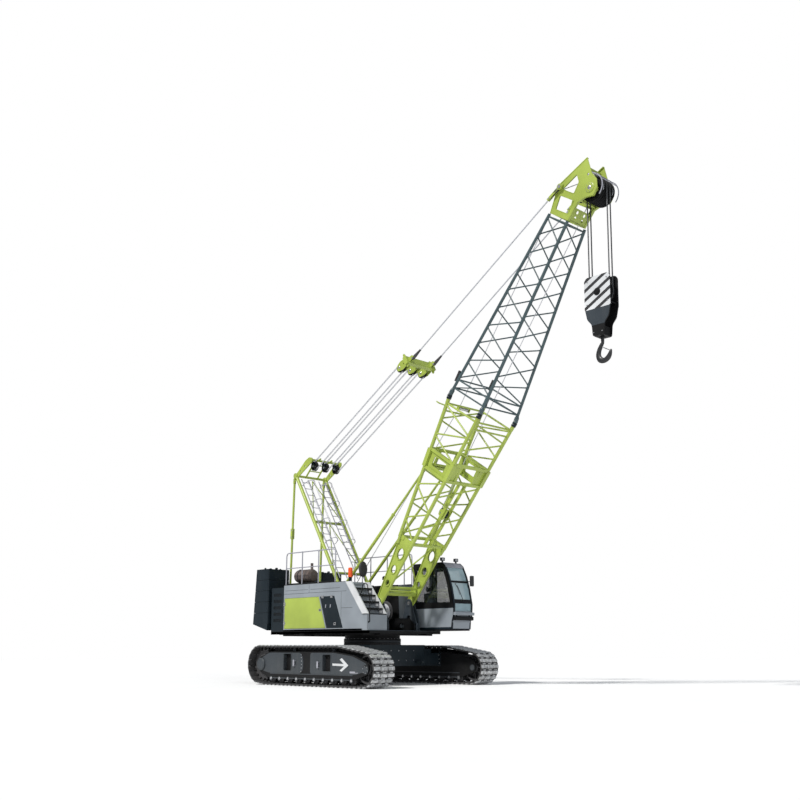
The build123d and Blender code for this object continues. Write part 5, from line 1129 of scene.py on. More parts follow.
# bars along the middle of a track: from x and z to x and z, width, depth and slot
TOP_BARS = ((-1.80, 0.972, 1.10, 0.972, 0.49, 0.026, 0), (1.10, 0.972, 1.90, 0.882, 0.49, 0.026, 0),
            (1.90, 0.882, 1.95, 0.70, 0.49, 0.026, 0), (-1.95, 1.038, 1.05, 1.034, 0.11, 0.122, 1),
            (1.05, 1.032, 1.96, 0.927, 0.11, 0.078, 1), (-1.86, 0.36, -1.86, 0.96, 0.49, 0.03, 0),
            (1.93, 0.36, 1.93, 0.86, 0.49, 0.03, 0), (-1.9, 0.36, 1.95, 0.36, 0.49, 0.02, 0))
ROLLER_Z = 0.028 + 0.045 + 0.125 + 0.0003
roller_xs = [3.66 * (i / 9 - 0.5) for i in range(10)]
for side_name, sign in (("right", -1), ("left", 1)):
    g = Gather()

    def ty(y, sign=sign):
        """The y of what is so far outward from the middle of the track."""
        return sign * (TRACK_Y + y)

    def side_plate(outline, y0, y1, slot=0, holes=(), g=g):
        g.plate([outline] + list(holes), y0, y1, slot)

    outline = rounded(FRAME_SIDE, 0.12, 5)
    windows = [rounded(w, 0.04) for w in WINDOW]
    wheel_holes = [ring(x, z, 0.092, 28) for x, z, _ in (SPROCKET, IDLER)]
    side_plate(outline, ty(0.240), ty(0.266), 1, windows + wheel_holes)
    # the inner side plate is black: painted shade, standing for the shaded inner side between the tracks
    side_plate(outline, ty(-0.266), ty(-0.240), 1, wheel_holes)
    rear_panel = rounded([(-2.42, 0.46), (-1.95, 0.36), (-0.42, 0.36), (-0.30, 0.50), (-0.30, 0.78),
                          (-0.42, 0.955), (-1.95, 0.955), (-2.42, 0.76)], 0.14, 6)
    front_panel = rounded([(0.02, 0.36), (1.95, 0.36), (2.45, 0.46), (2.45, 0.67), (1.88, 0.86),
                           (1.08, 0.955), (0.02, 0.955)], 0.08, 5)
    side_plate(rear_panel, ty(0.264), ty(0.270), 0, [windows[0], ring(*SPROCKET[:2], 0.13, 32)])
    side_plate(front_panel, ty(0.264), ty(0.270), 0, [windows[1], ring(*IDLER[:2], 0.12, 32)])
    for w in windows:
        side_plate(offset(w, -0.022), ty(0.264), ty(0.276), 0, [w])
        xs, zs = [p[0] for p in w], [p[1] for p in w]
        # the black plate behind the window is painted shade: it stands for the dark inside of the frame seen
        # through the window
        g.box(min(xs) - 0.02, max(xs) + 0.02, ty(0.150), ty(0.162), min(zs) - 0.02, max(zs) + 0.02, 1)
        for x in (min(xs), max(xs)):
            g.box(x - 0.008, x + 0.008, ty(0.158), ty(0.262), min(zs) - 0.01, max(zs) + 0.01, 0)
    # top, ends and floor between the side plates
    for xa, za, xb, zb, wide, deep, slot in TOP_BARS:
        g.beam((xa, ty(0), za), (xb, ty(0), zb), wide, deep, slot=slot)
    for y in (0.255, -0.255):
        g.beam((-1.88, ty(y), 0.215), (1.88, ty(y), 0.215), 0.05, 0.03)
        g.beam((-1.88, ty(y), 0.345), (1.88, ty(y), 0.345), 0.042, 0.024)
    for x in roller_xs:
        for way in (1, -1):
            g.lathe((x, ty(way * 0.266), ROLLER_Z), (0, way * sign, 0),
                    [(0.0, 0.043), (0.0, 0.066), (0.010, 0.066), (0.012, 0.06), (0.012, 0.043)], 20, 0)
    for z in (0.42, 0.52, 0.62, 0.72, 0.82, 0.90):
        x = -0.36 - 0.10 * abs(z - 0.66)
        g.tube((x, ty(0.268), z), (x, ty(0.284), z), 0.016, 6, 2)
    for x, z in ((-0.70, 0.66), (0.40, 0.62)):
        for dz in (-0.075, 0.075):
            g.box(x - 0.03, x + 0.03, ty(0.268), ty(0.315), z + dz - 0.018, z + dz + 0.018, 3)
        g.box(x - 0.03, x + 0.03, ty(0.300), ty(0.320), z - 0.093, z + 0.093, 3)
    side_plate(ARROW, ty(0.2695), ty(0.2725), 4)
    side_plate(rounded(rect(1.76, 2.10, 0.405, 0.455), 0.01), ty(0.2695), ty(0.2725), 3)
    for x in (-0.9, 0.9):
        for s in (-1, 1):
            g.box(x - 0.06, x + 0.06, ty(s * 0.11), ty(s * 0.13), 0.98, 1.075)
    # idler slide and tension block
    side_plate(rounded([(1.98, 0.42), (2.50, 0.44), (2.50, 0.58), (1.98, 0.60)], 0.02), ty(0.262),
               ty(0.273), 0, [ring(*IDLER[:2], 0.07, 24)])
    g.bolts((IDLER[0], ty(0.272), IDLER[1]), (0, sign, 0), 0.098, 6, 0.012, 0.012, 2)
    g.done("track_frame_body_" + side_name, "undercarriage",
           ["slate_paint", "black_paint", "bare_steel", "rail_grey", "white_paint"], 0.004,
           ["track_frame_" + side_name])

# Rollers, sprockets and idlers
rollers, sprockets, idlers = Gather(), Gather(), Gather()
sprocket_r, idler_r = (wheel[2] - 0.073 - 0.016 for wheel in (SPROCKET, IDLER))
ROLLER = ((0.215, 0), (0.215, 0.075), (0.20, 0.095), (0.19, 0.125), (0.165, 0.125), (0.155, 0.110),
          (0.10, 0.110), (0.09, 0.090))
TOOTH = ((-0.80, 0.060), (-0.55, 0.052), (-0.30, 0.006), (-0.12, 0), (0.12, 0), (0.30, 0.006),
         (0.55, 0.052), (0.80, 0.060))
TEETH = 15
teeth = [(radians(360 / TEETH) * (tooth + share / 2), sprocket_r - less) for tooth in range(TEETH)
         for share, less in TOOTH]
for sign in (-1, 1):
    Y = sign * TRACK_Y
    for x in roller_xs:
        rollers.lathe((x, Y, ROLLER_Z), ACROSS, even(*ROLLER), 26, 0, False)
        for s in (-1, 1):
            rollers.lathe((x, Y, ROLLER_Z), (0, s, 0), [(0.21, 0.0), (0.21, 0.042), (0.276, 0.042),
                                                        (0.284, 0.034), (0.284, 0.0)], 18, 1, False)
    for x in (-0.9, 0.9):
        z = 1.18 - 0.073 - 0.050 - 0.002 - 0.01 * (x + 2.33) / (1.3 + 2.33)
        idlers.lathe((x, Y, z), ACROSS, even((0.105, 0), (0.105, 0.050), (0.085, 0.050), (0.075, 0.040)),
                     24, 0, False)
        idlers.tube((x, Y - 0.15, z), (x, Y + 0.15, z), 0.024, 14, 1)
    # sprocket: two toothed rings on a drum, its hub outside and its motor inside
    centre = Vector((SPROCKET[0], Y, SPROCKET[1]))
    toothed = [(centre.x + r * cos(t), centre.z + r * sin(t)) for t, r in teeth]
    for y0, y1 in ((-0.16, -0.06), (0.06, 0.16)):
        sprockets.plate([toothed, ring(*SPROCKET[:2], 0.30, 40)], Y + y0, Y + y1, 0)
    sprockets.lathe(centre, ACROSS, even((0.19, 0), (0.19, 0.27), (0.16, 0.31), (0.05, 0.31), (0.04, 0.36)),
                    44, 0, False)
    hub = [(0.19, 0), (0.19, 0.085), (0.2703, 0.085), (0.2703, 0.185), (0.300, 0.190), (0.318, 0.170),
           (0.328, 0.11), (0.330, 0)]
    motor = [(0.19, 0), (0.19, 0.085), (0.2703, 0.085), (0.2703, 0.20), (0.36, 0.21), (0.42, 0.19),
             (0.44, 0.10), (0.44, 0)]
    for way, profile, face, ring_r, count, r, tall in ((sign, hub, 0.300, 0.160, 12, 0.013, 0.014),
                                                       (-sign, motor, 0.36, 0.195, 14, 0.012, 0.012)):
        sprockets.lathe(centre, (0, way, 0), profile, 40, 1, False)
        sprockets.bolts(centre + ACROSS * (way * face), (0, way, 0), ring_r, count, r, tall, 2)
    # idler: rim, web, ribs and hub
    centre = Vector((IDLER[0], Y, IDLER[1]))
    rim = even((0.19, idler_r - 0.05), (0.19, idler_r - 0.012), (0.17, idler_r), (0.075, idler_r),
               (0.065, idler_r - 0.02))
    idlers.lathe(centre, ACROSS, rim + [(0.05, idler_r - 0.07), (0.04, 0.13), (-0.04, 0.13),
                                        (-0.05, idler_r - 0.07)], 52, 0)
    idlers.lathe(centre, ACROSS, even((0.20, 0), (0.20, 0.11), (0.17, 0.14)), 32, 0, False)
    idlers.lathe(centre, ACROSS, even((0.282, 0), (0.282, 0.082), (0.274, 0.09)), 28, 1, False)
    for way in circle(AHEAD, UP, 1, 8):
        for s in (-1, 1):
            idlers.beam(centre + ACROSS * (s * 0.10) + way * 0.12,
                        centre + ACROSS * (s * 0.08) + way * (idler_r - 0.05), 0.09, 0.022)
rollers.done("track_roller_set", "undercarriage", ["cast_steel", "bare_steel"], 0.0, ["track_rollers"])
sprockets.done("drive_sprocket_set", "undercarriage", ["cast_steel", "slate_paint", "bare_steel"], 0.003,
               ["drive_sprockets"])
idlers.done("idler_and_carrier_set", "undercarriage", ["cast_steel", "slate_paint"], 0.003,
            ["front_idlers", "carrier_rollers"])

# Carbody
g = Gather()
body = rounded(rect(-1.15, 1.15, -1.15, 1.15), 0.10)
for z0, z1 in ((0.60, 1.14), (1.14, 1.18), (0.56, 0.60)):
    g.plate([body], z0, z1, 0, flat)
for x in (-0.8, 0.8):
    for sy in (-1, 1):
        g.box(x - 0.23, x + 0.23, sy * 1.10, sy * 1.8797, 0.58, 0.91)
        g.box(x - 0.25, x + 0.25, sy * 1.10, sy * 1.875, 0.56, 0.59)
        g.box(x - 0.25, x + 0.25, sy * 1.10, sy * 1.875, 0.90, 0.93)
        g.box(x - 0.28, x + 0.28, sy * 1.850, sy * 1.8797, 0.54, 0.96)
        for dx in (-0.25, 0.25):
            for z in (0.62, 0.75, 0.88):
                g.tube((x + dx, sy * 1.83, z), (x + dx, sy * 1.852, z), 0.018, 6, 1)
for sx in (-1, 1):
    for sy in (-1, 1):
        g.plate([rect(sx * 1.031, sx * 0.60, sy * 1.50, sy * 1.10)], 0.59, 1.06, 0, flat)
        lug = rounded([(sx * 1.14, sy * 0.70), (sx * 1.42, sy * 0.76), (sx * 1.42, sy * 0.86),
                       (sx * 1.14, sy * 0.98)], 0.03)
        g.plate([lug, ring(sx * 1.33, sy * 0.815, 0.035, 20)], 0.64, 0.70, 0, flat)
for sx in (-1, 1):
    g.plate([rounded(rect(-0.7, 0.7, 0.68, 1.06), 0.06)], sx * 1.148, sx * 1.162, 0, facing)
    for y in (-0.62, -0.31, 0, 0.31, 0.62):
        for z in (0.73, 1.01):
            g.tube((sx * 1.16, y, z), (sx * 1.172, y, z), 0.014, 6, 1)
g.done("carbody_frame", "undercarriage", ["dark_paint", "bare_steel"], 0.006, ["carbody"])

g = Gather()
GEAR_TEETH = 96
gear = []
for i in range(GEAR_TEETH):
    for share, r in ((-0.5, 0.835), (-0.22, 0.868), (0.22, 0.868), (0.5, 0.835)):
        t = 2 * pi * (i + share) / GEAR_TEETH
        gear.append((r * cos(t), r * sin(t)))
g.plate([gear, ring(0, 0, 0.645, 60)], 1.1803, 1.25, 0, flat)
g.lathe((0, 0, 0), UP, [(1.25, 0.645), (1.25, 0.85), (1.26, 0.87), (1.31, 0.87), (1.31, 0.645)], 72, 1)
g.bolts((0, 0, 1.1803), UP, 0.70, 36, 0.016, 0.085, 2)
g.done("swing_bearing_ring", "undercarriage", ["cast_steel", "slate_paint", "bare_steel"], 0.0,
       ["swing_bearing"])

# Revolving frame: deck, beams and brackets

g = Gather()
g.box(-3.20, 1.48, -1.46, 1.46, 1.51, 1.585, 0)
g.plate([rounded(rect(-3.19, 1.47, -1.45, 1.45), 0.03)], 1.585, 1.60, 1, flat)
for y in (-1.46, 1.46):
    g.box(-3.20, 1.48, y - 0.012 if y > 0 else y, y if y > 0 else y + 0.012, 1.505, 1.60, 0)
g.lathe((0, 0, 0), UP, [(1.3103, 0.0), (1.3103, 0.87), (1.36, 0.87), (1.37, 0.84), (1.48, 0.84),
                        (1.50, 0.87), (1.53, 0.87), (1.53, 0.0)], 64, 0, False)
g.bolts((0, 0, 1.352), UP, 0.855, 40, 0.012, 0.020, 3)
g.box(-3.84, -3.19, -0.65, 0.65, 1.51, 1.775, 0)
for x in (-2.6, -1.6, 1.15):
    g.box(x - 0.04, x + 0.04, -1.40, 1.40, 1.455, 1.512, 0)
for y in (-0.95, 0.95):
    g.box(-3.15, 1.42, y - 0.035, y + 0.035, 1.47, 1.512, 0)
# each winch: x of its drum, radius of its flanges and of its barrel
WINCHES, WINCH_Z = ((0.15, 0.33, 0.23), (-0.85, 0.38, 0.26), (-1.90, 0.33, 0.22)), 2.19
FOOT_SIDE = [(0.70, 1.56), (1.33, 1.56), (1.33, 1.85), (1.10, 2.48), (1.05, 2.56), (0.95, 2.56),
             (0.90, 2.48), (0.70, 1.85)]
STOP_SIDE = [(-1.42, 1.94), (-0.98, 1.94), (-1.13, 2.70), (-1.16, 2.72), (-1.24, 2.72), (-1.27, 2.70)]
BEAM_SIDE = [(-3.84, 1.56), (1.30, 1.56), (1.30, 1.80), (1.06, 1.98), (-0.13, 1.98), (-0.20, 2.07),
             (-0.32, 2.07), (-0.39, 1.98), (-3.255, 1.98), (-3.325, 2.07), (-3.445, 2.07), (-3.515, 1.98),
             (-3.84, 1.98)]
for sy in (-1, 1):
    g.plate([rounded(BEAM_SIDE, 0.02, 2), ring(-0.26, 1.99, 0.031, 16), ring(-3.385, 1.99, 0.031, 16)] +
            [ring(x, 1.76, 0.075, 24, 1.5) for x in (0.75, -0.35, -1.40, -2.45, -3.0)], sy * 0.505,
            sy * 0.555, 0)
    for x0, x1 in ((-3.84, -3.52), (-3.25, -0.40), (-0.12, 1.05)):
        g.box(x0, x1, sy * 0.49, sy * 0.575, 1.958, 1.982, 0)
    for y0, y1 in ((0.560, 0.600), (0.680, 0.712)):
        g.plate([rounded(FOOT_SIDE, 0.05), ring(1.0, 2.44, 0.061, 24), ring(1.0, 1.98, 0.09, 28)], sy * y0,
                sy * y1, 1)
    g.lathe((1.0, 0, 2.44), (0, sy, 0), [(0.548, 0.061), (0.548, 0.11), (0.56, 0.115), (0.56, 0.061)], 28, 1)
    g.box(0.72, 1.31, sy * 0.598, sy * 0.682, 1.60, 1.66, 1)
    for x in (0.71, 1.30):
        g.box(x - 0.012, x + 0.012, sy * 0.56, sy * 0.71, 1.58, 1.84, 1)
    g.plate([STOP_SIDE, ring(-1.2, 2.66, 0.031, 16), ring(-1.2, 2.30, 0.07, 24)], sy * 0.500, sy * 0.530, 2)
    g.box(-1.44, -0.96, sy * 0.495, sy * 0.575, 1.93, 1.962, 2)
    for x, _, _ in WINCHES:
        g.plate([rounded([(x - 0.26, 1.59), (x + 0.26, 1.59), (x + 0.12, 2.33), (x - 0.12, 2.33)], 0.03),
                 ring(x, WINCH_Z, 0.066, 22)], sy * 0.4995, sy * 0.5305, 0)
        g.collar((x, 0, WINCH_Z), (0, sy, 0), 0.485, 0.50, 0.066, 0.12, 26, 0)
        g.bolts((x, sy * 0.53, WINCH_Z), (0, sy, 0), 0.095, 8, 0.010, 0.010, 3)
g.done("revolving_frame_body", "superstructure", ["black_paint", "slate_paint", "lime_paint", "bare_steel"],
       0.004, ["revolving_frame"])

# Winches, each wound with rope
g = Gather()
ROPE_TURNS, TURN_STEPS = 30, 18
for x, flange_r, barrel_r in WINCHES:
    drum = even((0.400, 0.065), (0.400, flange_r - 0.01), (0.392, flange_r), (0.378, flange_r),
                (0.370, flange_r - 0.01), (0.370, barrel_r))
    g.lathe((x, 0, WINCH_Z), ACROSS, drum, 44, 0)
    g.lathe((x, 0, WINCH_Z), ACROSS, even((0.528, 0), (0.528, 0.055), (0.52, 0.065)), 26, 1, False)
    for s in (-1, 1):
        g.lathe((x, s * 0.40, WINCH_Z), (0, s, 0), [(0, 0.0), (0, 0.16), (0.03, 0.155), (0.055, 0.12),
                                                    (0.055, 0.0)], 30, 0, False)
        g.bolts((x, s * 0.43, WINCH_Z), (0, s, 0), 0.135, 10, 0.009, 0.010, 1)
    rope_r, rope = barrel_r + 0.011, []
    for i in range(ROPE_TURNS * TURN_STEPS + 1):
        t = 2 * pi * i / TURN_STEPS
        rope.append((x + rope_r * cos(t), -0.36 + 0.72 * i / (ROPE_TURNS * TURN_STEPS),
                     WINCH_Z + rope_r * sin(t)))
    g.pipe(rope, 0.0115, 6, 2)
g.done("winch_drum_set", "superstructure", ["cast_steel", "bare_steel", "wire_rope"], 0.0, ["winch_drums"])

# Hoist ropes: one from the guide inside the boom, one from the middle winch over a roller on the boom's back
def on_sheave(l, h):
    """Where a straight rope from (l, h) touches the wrap on a head sheave, in the boom's own axes."""
    dl, dh = axle_l - l, axle_h - h
    far = hypot(dl, dh)
    bearing = atan2(dh, dl) + asin(WRAP_R / far)
    reach = sqrt(far * far - WRAP_R * WRAP_R)
    return l + reach * cos(bearing), h + reach * sin(bearing)


# side view places: the guide inside the boom, the rope over the roller on its back and over the head's roller
INSIDE, BACK, OVER = (3.20, -0.144), (6.12, 0.765), (12.75, 0.492)
g = Gather()
for y0, y1, (l0, h0), (l1, h1) in ((0.0, 0.21, INSIDE, on_sheave(*INSIDE)), (-0.10, -0.21, BACK, OVER),
                                   (-0.21, -0.21, OVER, on_sheave(*OVER))):
    g.tube(bp(l0, y0, h0), bp(l1, y1, h1), 0.012, 8, 0)
for y, first in ((0.21, 146), (-0.21, 89)):
    wrap_round(g, axle, y, range(first, -25, -6), 0.012, 0)
for (l, h), half, r in ((BACK, 0.20, 0.045), (OVER, 0.26, 0.025)):
    flange = r + 0.012
    g.lathe(bp(l, 0, h - flange), ACROSS, even((half, 0), (half, flange), (half - 0.012, flange),
                                               (half - 0.014, r)), 24, 1, False)
roller_cheek = [(BACK[0] + x, z) for x, z in ((-0.06, 0.62), (0.06, 0.62), (0.035, 0.745), (-0.035, 0.745))]
for y in (-0.22, 0.22):
    g.plate([rounded(roller_cheek, 0.02)], y - 0.006, y + 0.006, 2, on_boom)
g.done("boom_hoist_rope", "boom", ["wire_rope", "bare_steel", "lime_paint"], 0.0)

g = Gather()
winch_top, roller_top = Vector((-1.059, -0.30, 2.362)), bp(BACK[0], -0.10, BACK[1])
g.tube(winch_top, roller_top, 0.012, 8, 0)
lead = g.done("winch_lead_rope", None, ["wire_rope"], 0.0)
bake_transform(lead)

# Counterweight
g = Gather()
TRAY = [(-3.31, 1.64), (-4.07, 1.84), (-4.07, 1.85), (-3.31, 1.85)]
for sy in (-1, 1):
    g.plate([TRAY], sy * 0.665, sy * 1.54, 0)
g.box(-4.07, -3.31, -0.67, 0.67, 1.78, 1.85, 0)
g.done("counterweight_base", "superstructure", ["dark_paint"], 0.006, ["counterweight_tray"])

g = Gather()
STACK_Z = [1.8503 + 0.35 * i for i in range(5)] + [3.60]
SLAB_Y, SLAB_GAP = (0.69, 1.54), 0.004


def rear_at(z):
    """The stack's rear face leans forward a little towards the top."""
    return -4.10 + 0.14 * (z - 1.85) / 1.75


for sy in (-1, 1):
    y0, y1 = (sy * y for y in SLAB_Y)
    for i in range(5):
        z0, z1 = STACK_Z[i] + (SLAB_GAP if i else 0), STACK_Z[i + 1] - (SLAB_GAP if i < 4 else 0)
        low, high = (rounded([(-3.30, y0), (-3.30, y1), (rear_at(z), y1), (rear_at(z), y0)], 0.05, 4)
                     for z in (z0, z1))
        n = len(low)
        g.add([(x, y, z0) for x, y in low] + [(x, y, z1) for x, y in high],
              [tuple(range(n))[::-1], tuple(range(n, 2 * n))] +
              [(k, (k + 1) % n, n + (k + 1) % n, n + k) for k in range(n)], 0)
        if i < 4:
            g.box(-4.0, -3.36, sy * 0.73, sy * 1.50, z1 - 0.002, z1 + 0.012, 1)
        for x in (-3.42, -3.86):
            g.box(x - 0.05, x + 0.05, sy * 1.532, sy * 1.5399, z1 - 0.09, z1 - 0.02, 1)
    # lifting lugs and guide pins on the top slab
    for x in (-3.48, -3.80):
        lug = [(x - 0.06, 3.598), (x + 0.06, 3.598), (x + 0.05, 3.665), (x - 0.05, 3.665)]
        g.plate([rounded(lug, 0.02), ring(x, 3.635, 0.020, 14)], sy * 1.08, sy * 1.11, 0)
        g.box(x - 0.09, x + 0.09, sy * 1.05, sy * 1.14, 3.598, 3.608, 0)
    for y in (0.82, 1.42):
        g.tube((-3.64, sy * y, 3.598), (-3.64, sy * y, 3.65), 0.03, 14, 0)
g.done("counterweight_slabs", "superstructure", ["dark_paint", "black_paint"], 0.010,
       ["counterweight_stacks"])

# Machinery houses: hollow, with a plate for each side
HOUSE_LOW, ROOF_Z, HOUSE_IN, HOUSE_OUT = 1.6003, 3.03, 0.72, 1.46
# each door: its body, side, outline, the hole it fills and its paint
DOORS = {
    "house_door_rear": ("door_right_rear", -1, [(-2.52, 1.68), (-2.52, 2.62), (-0.83, 2.62), (-0.50, 1.68)],
                        [(-2.526, 1.674), (-2.526, 2.626), (-0.828, 2.626), (-0.492, 1.674)], "lime_paint"),
    "house_door_front": ("door_right_front", -1,
                         [(-0.764, 2.62), (-0.10, 2.62), (0.30, 1.68), (-0.434, 1.68)],
                         [(-0.786, 2.626), (-0.096, 2.626), (0.308, 1.674), (-0.456, 1.674)], "dark_paint"),
    "house_door_left": ("door_left", 1, [(-2.30, 1.68), (-2.30, 2.62), (-1.30, 2.62), (-1.30, 1.68)],
                        [(-2.306, 1.674), (-2.306, 2.626), (-1.294, 2.626), (-1.294, 1.674)], "grey_paint"),
}


def louvres(g, x0, x1, z0, count, y0, y1):
    """Level slots, one over the other."""
    for k in range(count):
        z = z0 + 0.055 * k
        g.plate([rounded(rect(x0, x1, z, z + 0.030), 0.008, 2)], y0, y1, 1)


def house(sy, top_x, low_x, seams):
    """A hollow house with a leaning front: its side plates, edges, sill, roof line and seams."""
    g = Gather()
    face, rear, knee = sy * HOUSE_OUT, -2.56, 2.07
    outline = [(rear, HOUSE_LOW), (rear, ROOF_Z), (top_x, ROOF_Z), (low_x, knee), (low_x, HOUSE_LOW)]
    holes = [hole for _, door_side, _, hole, _ in DOORS.values() if door_side == sy]
    g.plate([outline] + holes, sy * (HOUSE_OUT - 0.034), face, 0)
    g.plate([outline], sy * HOUSE_IN, sy * (HOUSE_IN + 0.03), 1)
    y = sy * (HOUSE_IN + HOUSE_OUT) / 2
    for xa, za, xb, zb, thick in ((rear, ROOF_Z - 0.02, top_x - 0.01, ROOF_Z - 0.02, 0.04),
                                  (top_x - 0.022, ROOF_Z - 0.01, low_x - 0.022, knee, 0.04),
                                  (low_x - 0.021, 2.08, low_x - 0.021, HOUSE_LOW + 0.01, 0.04),
                                  (-2.54, HOUSE_LOW + 0.01, -2.54, ROOF_Z - 0.01, 0.04),
                                  (rear, HOUSE_LOW + 0.015, low_x - 0.03, HOUSE_LOW + 0.015, 0.03)):
        g.beam((xa, y, za), (xb, y, zb), HOUSE_OUT - HOUSE_IN - 0.004, thick)

    def front_at(z):
        return min(low_x, top_x + (ROOF_Z - z) * (low_x - top_x) / (ROOF_Z - knee))
    sill = [(rear, HOUSE_LOW), (rear, 1.648), (front_at(1.648), 1.648), (front_at(HOUSE_LOW), HOUSE_LOW)]
    g.plate([sill], face - sy * 0.002, face, 1)
    g.box(rear, top_x, face - sy * 0.06, face, ROOF_Z - 0.002, ROOF_Z + 0.012, 1)
    ledge = [(-2.555, 2.748), (-2.555, 2.760), (front_at(2.76) - 0.28, 2.760),
             (front_at(2.748) - 0.28, 2.748)]
    g.plate([ledge], face - sy * 0.012, face - sy * 0.0005, 0)
    for xa, za, xb, zb in seams:
        g.beam((xa, face - sy * 0.0015, za), (xb, face - sy * 0.0015, zb), 0.004, 0.010, slot=1)
    return g, face


g, face = house(-1, 0.40, 1.16, ((-2.555, 2.755, 0.22, 2.755), (0.22, 2.755, 0.22, 1.66),
                                 (-1.30, 2.755, -1.30, 3.02), (0.22, 2.755, 0.45, 2.755),
                                 (0.22, 2.26, 0.73, 2.26), (-2.50, 2.86, -1.36, 2.86),
                                 (-1.24, 2.86, 0.16, 2.86)))
for x, z in ((0.30, 2.60), (0.30, 1.80), (0.62, 2.20), (0.86, 1.80)):
    g.lathe((x, face + 0.002, z), (0, -1, 0), [(0.0, 0.0), (0.0, 0.016), (0.0019, 0.014), (0.0019, 0.0)],
            14, 2, False)
# hatch and vents on the roof
g.plate([rounded(rect(-2.45, -0.35, -1.40, -0.78), 0.05)], ROOF_Z - 0.001, ROOF_Z + 0.010, 1, flat)
for k in range(5):
    g.box(-0.95 + k * 0.11, -0.88 + k * 0.11, -1.30, -0.88, ROOF_Z + 0.008, ROOF_Z + 0.022, 0)
g.done("house_body_right", "superstructure", ["grey_paint", "black_paint", "bare_steel"], 0.006,
       ["house_right"])

g, face = house(1, 0.33, 0.394, ((-2.555, 2.755, 0.33, 2.755), (-0.40, 2.755, -0.40, 1.66),
                                 (-1.20, 2.755, -1.20, 1.66), (-1.20, 2.755, -1.20, 3.02),
                                 (-2.50, 2.86, 0.20, 2.86)))
louvres(g, -1.08, -0.52, 1.80, 14, face - 0.0015, face)
g.plate([rounded(rect(-2.45, 0.15, 1.40, 0.78), 0.05)], ROOF_Z - 0.001, ROOF_Z + 0.010, 1, flat)
g.lathe((-0.55, 1.08, ROOF_Z), UP, [(0, 0.0), (0, 0.09), (0.20, 0.09), (0.21, 0.14), (0.30, 0.14),
                                    (0.33, 0.10), (0.33, 0.0)], 28, 1, False)
g.lathe((-1.25, 1.08, ROOF_Z), UP, [(0, 0.0), (0, 0.07), (0.05, 0.07), (0.06, 0.05), (0.06, 0.0)], 24, 1,
        False)
g.done("house_body_left", "superstructure", ["grey_paint", "black_paint", "bare_steel"], 0.006,
       ["house_left"])

# each door's latch and hinges; a hinge stands upright or lies level
FITTINGS = {
    "house_door_left": ((-1.38, 2.15), [("up", -2.30, z) for z in (1.85, 2.45)]),
    "house_door_rear": ((-0.76, 2.22), [("up", -2.52, z) for z in (1.85, 2.45)]),
    "house_door_front": ((-0.06, 1.80), [("level", x, 2.62) for x in (-0.65, -0.23)]),
}
for node, (body, sy, outline, _, mat) in DOORS.items():
    g = Gather()
    face = sy * HOUSE_OUT
    g.plate([outline], face - sy * 0.040, face - sy * 0.006, 0)
    g.plate([rounded(offset(outline, 0.012), 0.03)], face - sy * 0.008, face, 0)
    if node == "house_door_left":
        louvres(g, -2.16, -1.44, 1.82, 12, face - sy * 0.0012, face + sy * 0.0006)
    if node == "house_door_front":
        for x in (-0.52, -0.30):
            grip = [(x, 2.28), (x + 0.035, 2.28), (x + 0.05, 2.38), (x + 0.015, 2.38)]
            g.plate([rounded(grip, 0.01, 2)], face - sy * 0.001, face + sy * 0.004, 3)
    (x, z), hinges = FITTINGS[node]
    g.plate([rounded(rect(x - 0.055, x + 0.055, z - 0.04, z + 0.04), 0.015)], face - sy * 0.002,
            face + sy * 0.004, 2)
    g.plate([rounded(rect(x - 0.035, x + 0.035, z - 0.012, z + 0.016), 0.006)], face + sy * 0.003,
            face + sy * 0.010, 1)
    for kind, x, z in hinges:
        y, y0, y1 = face + sy * 0.0123, face - sy * 0.001, face + sy * 0.006
        if kind == "up":
            g.tube((x - 0.015, y, z - 0.055), (x - 0.015, y, z + 0.055), 0.012, 14, 2)
            g.box(x - 0.014, x + 0.05, y0, y1, z - 0.05, z + 0.05, 2)
        else:
            g.tube((x - 0.055, y, z + 0.015), (x + 0.055, y, z + 0.015), 0.012, 14, 2)
            g.box(x - 0.05, x + 0.05, y0, y1, z - 0.05, z + 0.014, 2)
    g.done(node + "_leaf", body, [mat, "black_paint", "bare_steel", "rail_grey"], 0.003, [node])

# Rear cowls with their louvres
g = Gather()
COWL = rounded(rect(-3.20, -2.5603, 2.97, 1.6003), 0.03)
LOUVRE_ZS = (1.9, 2.1, 2.3, 2.5, 2.7)
for sy in (-1, 1):
    face = sy * HOUSE_OUT
    g.plate([COWL], sy * HOUSE_IN, sy * (HOUSE_OUT - 0.012), 0)
    g.plate([COWL] + [rounded(rect(-3.08, -2.68, z, z + 0.09), 0.02) for z in LOUVRE_ZS], face - sy * 0.012,
            face, 0)
    for z in LOUVRE_ZS:
        for d in (0.010, 0.040, 0.070):
            g.beam((-3.08, face - sy * 0.008, z + d), (-2.68, face - sy * 0.008, z + d), 0.010, 0.012, slot=1)
    for k in range(11):
        z = 1.80 + 0.09 * k
        g.box(-3.206, -3.195, sy * 0.82, sy * 1.36, z, z + 0.045, 1)
    g.plate([rounded(rect(-2.62, -2.58, 2.20, 2.30), 0.01, 2)], face - sy * 0.001, face, 2)
g.done("rear_cowl_bodies", "superstructure", ["dark_paint", "black_paint", "rail_grey"], 0.006,
       ["rear_cowls"])

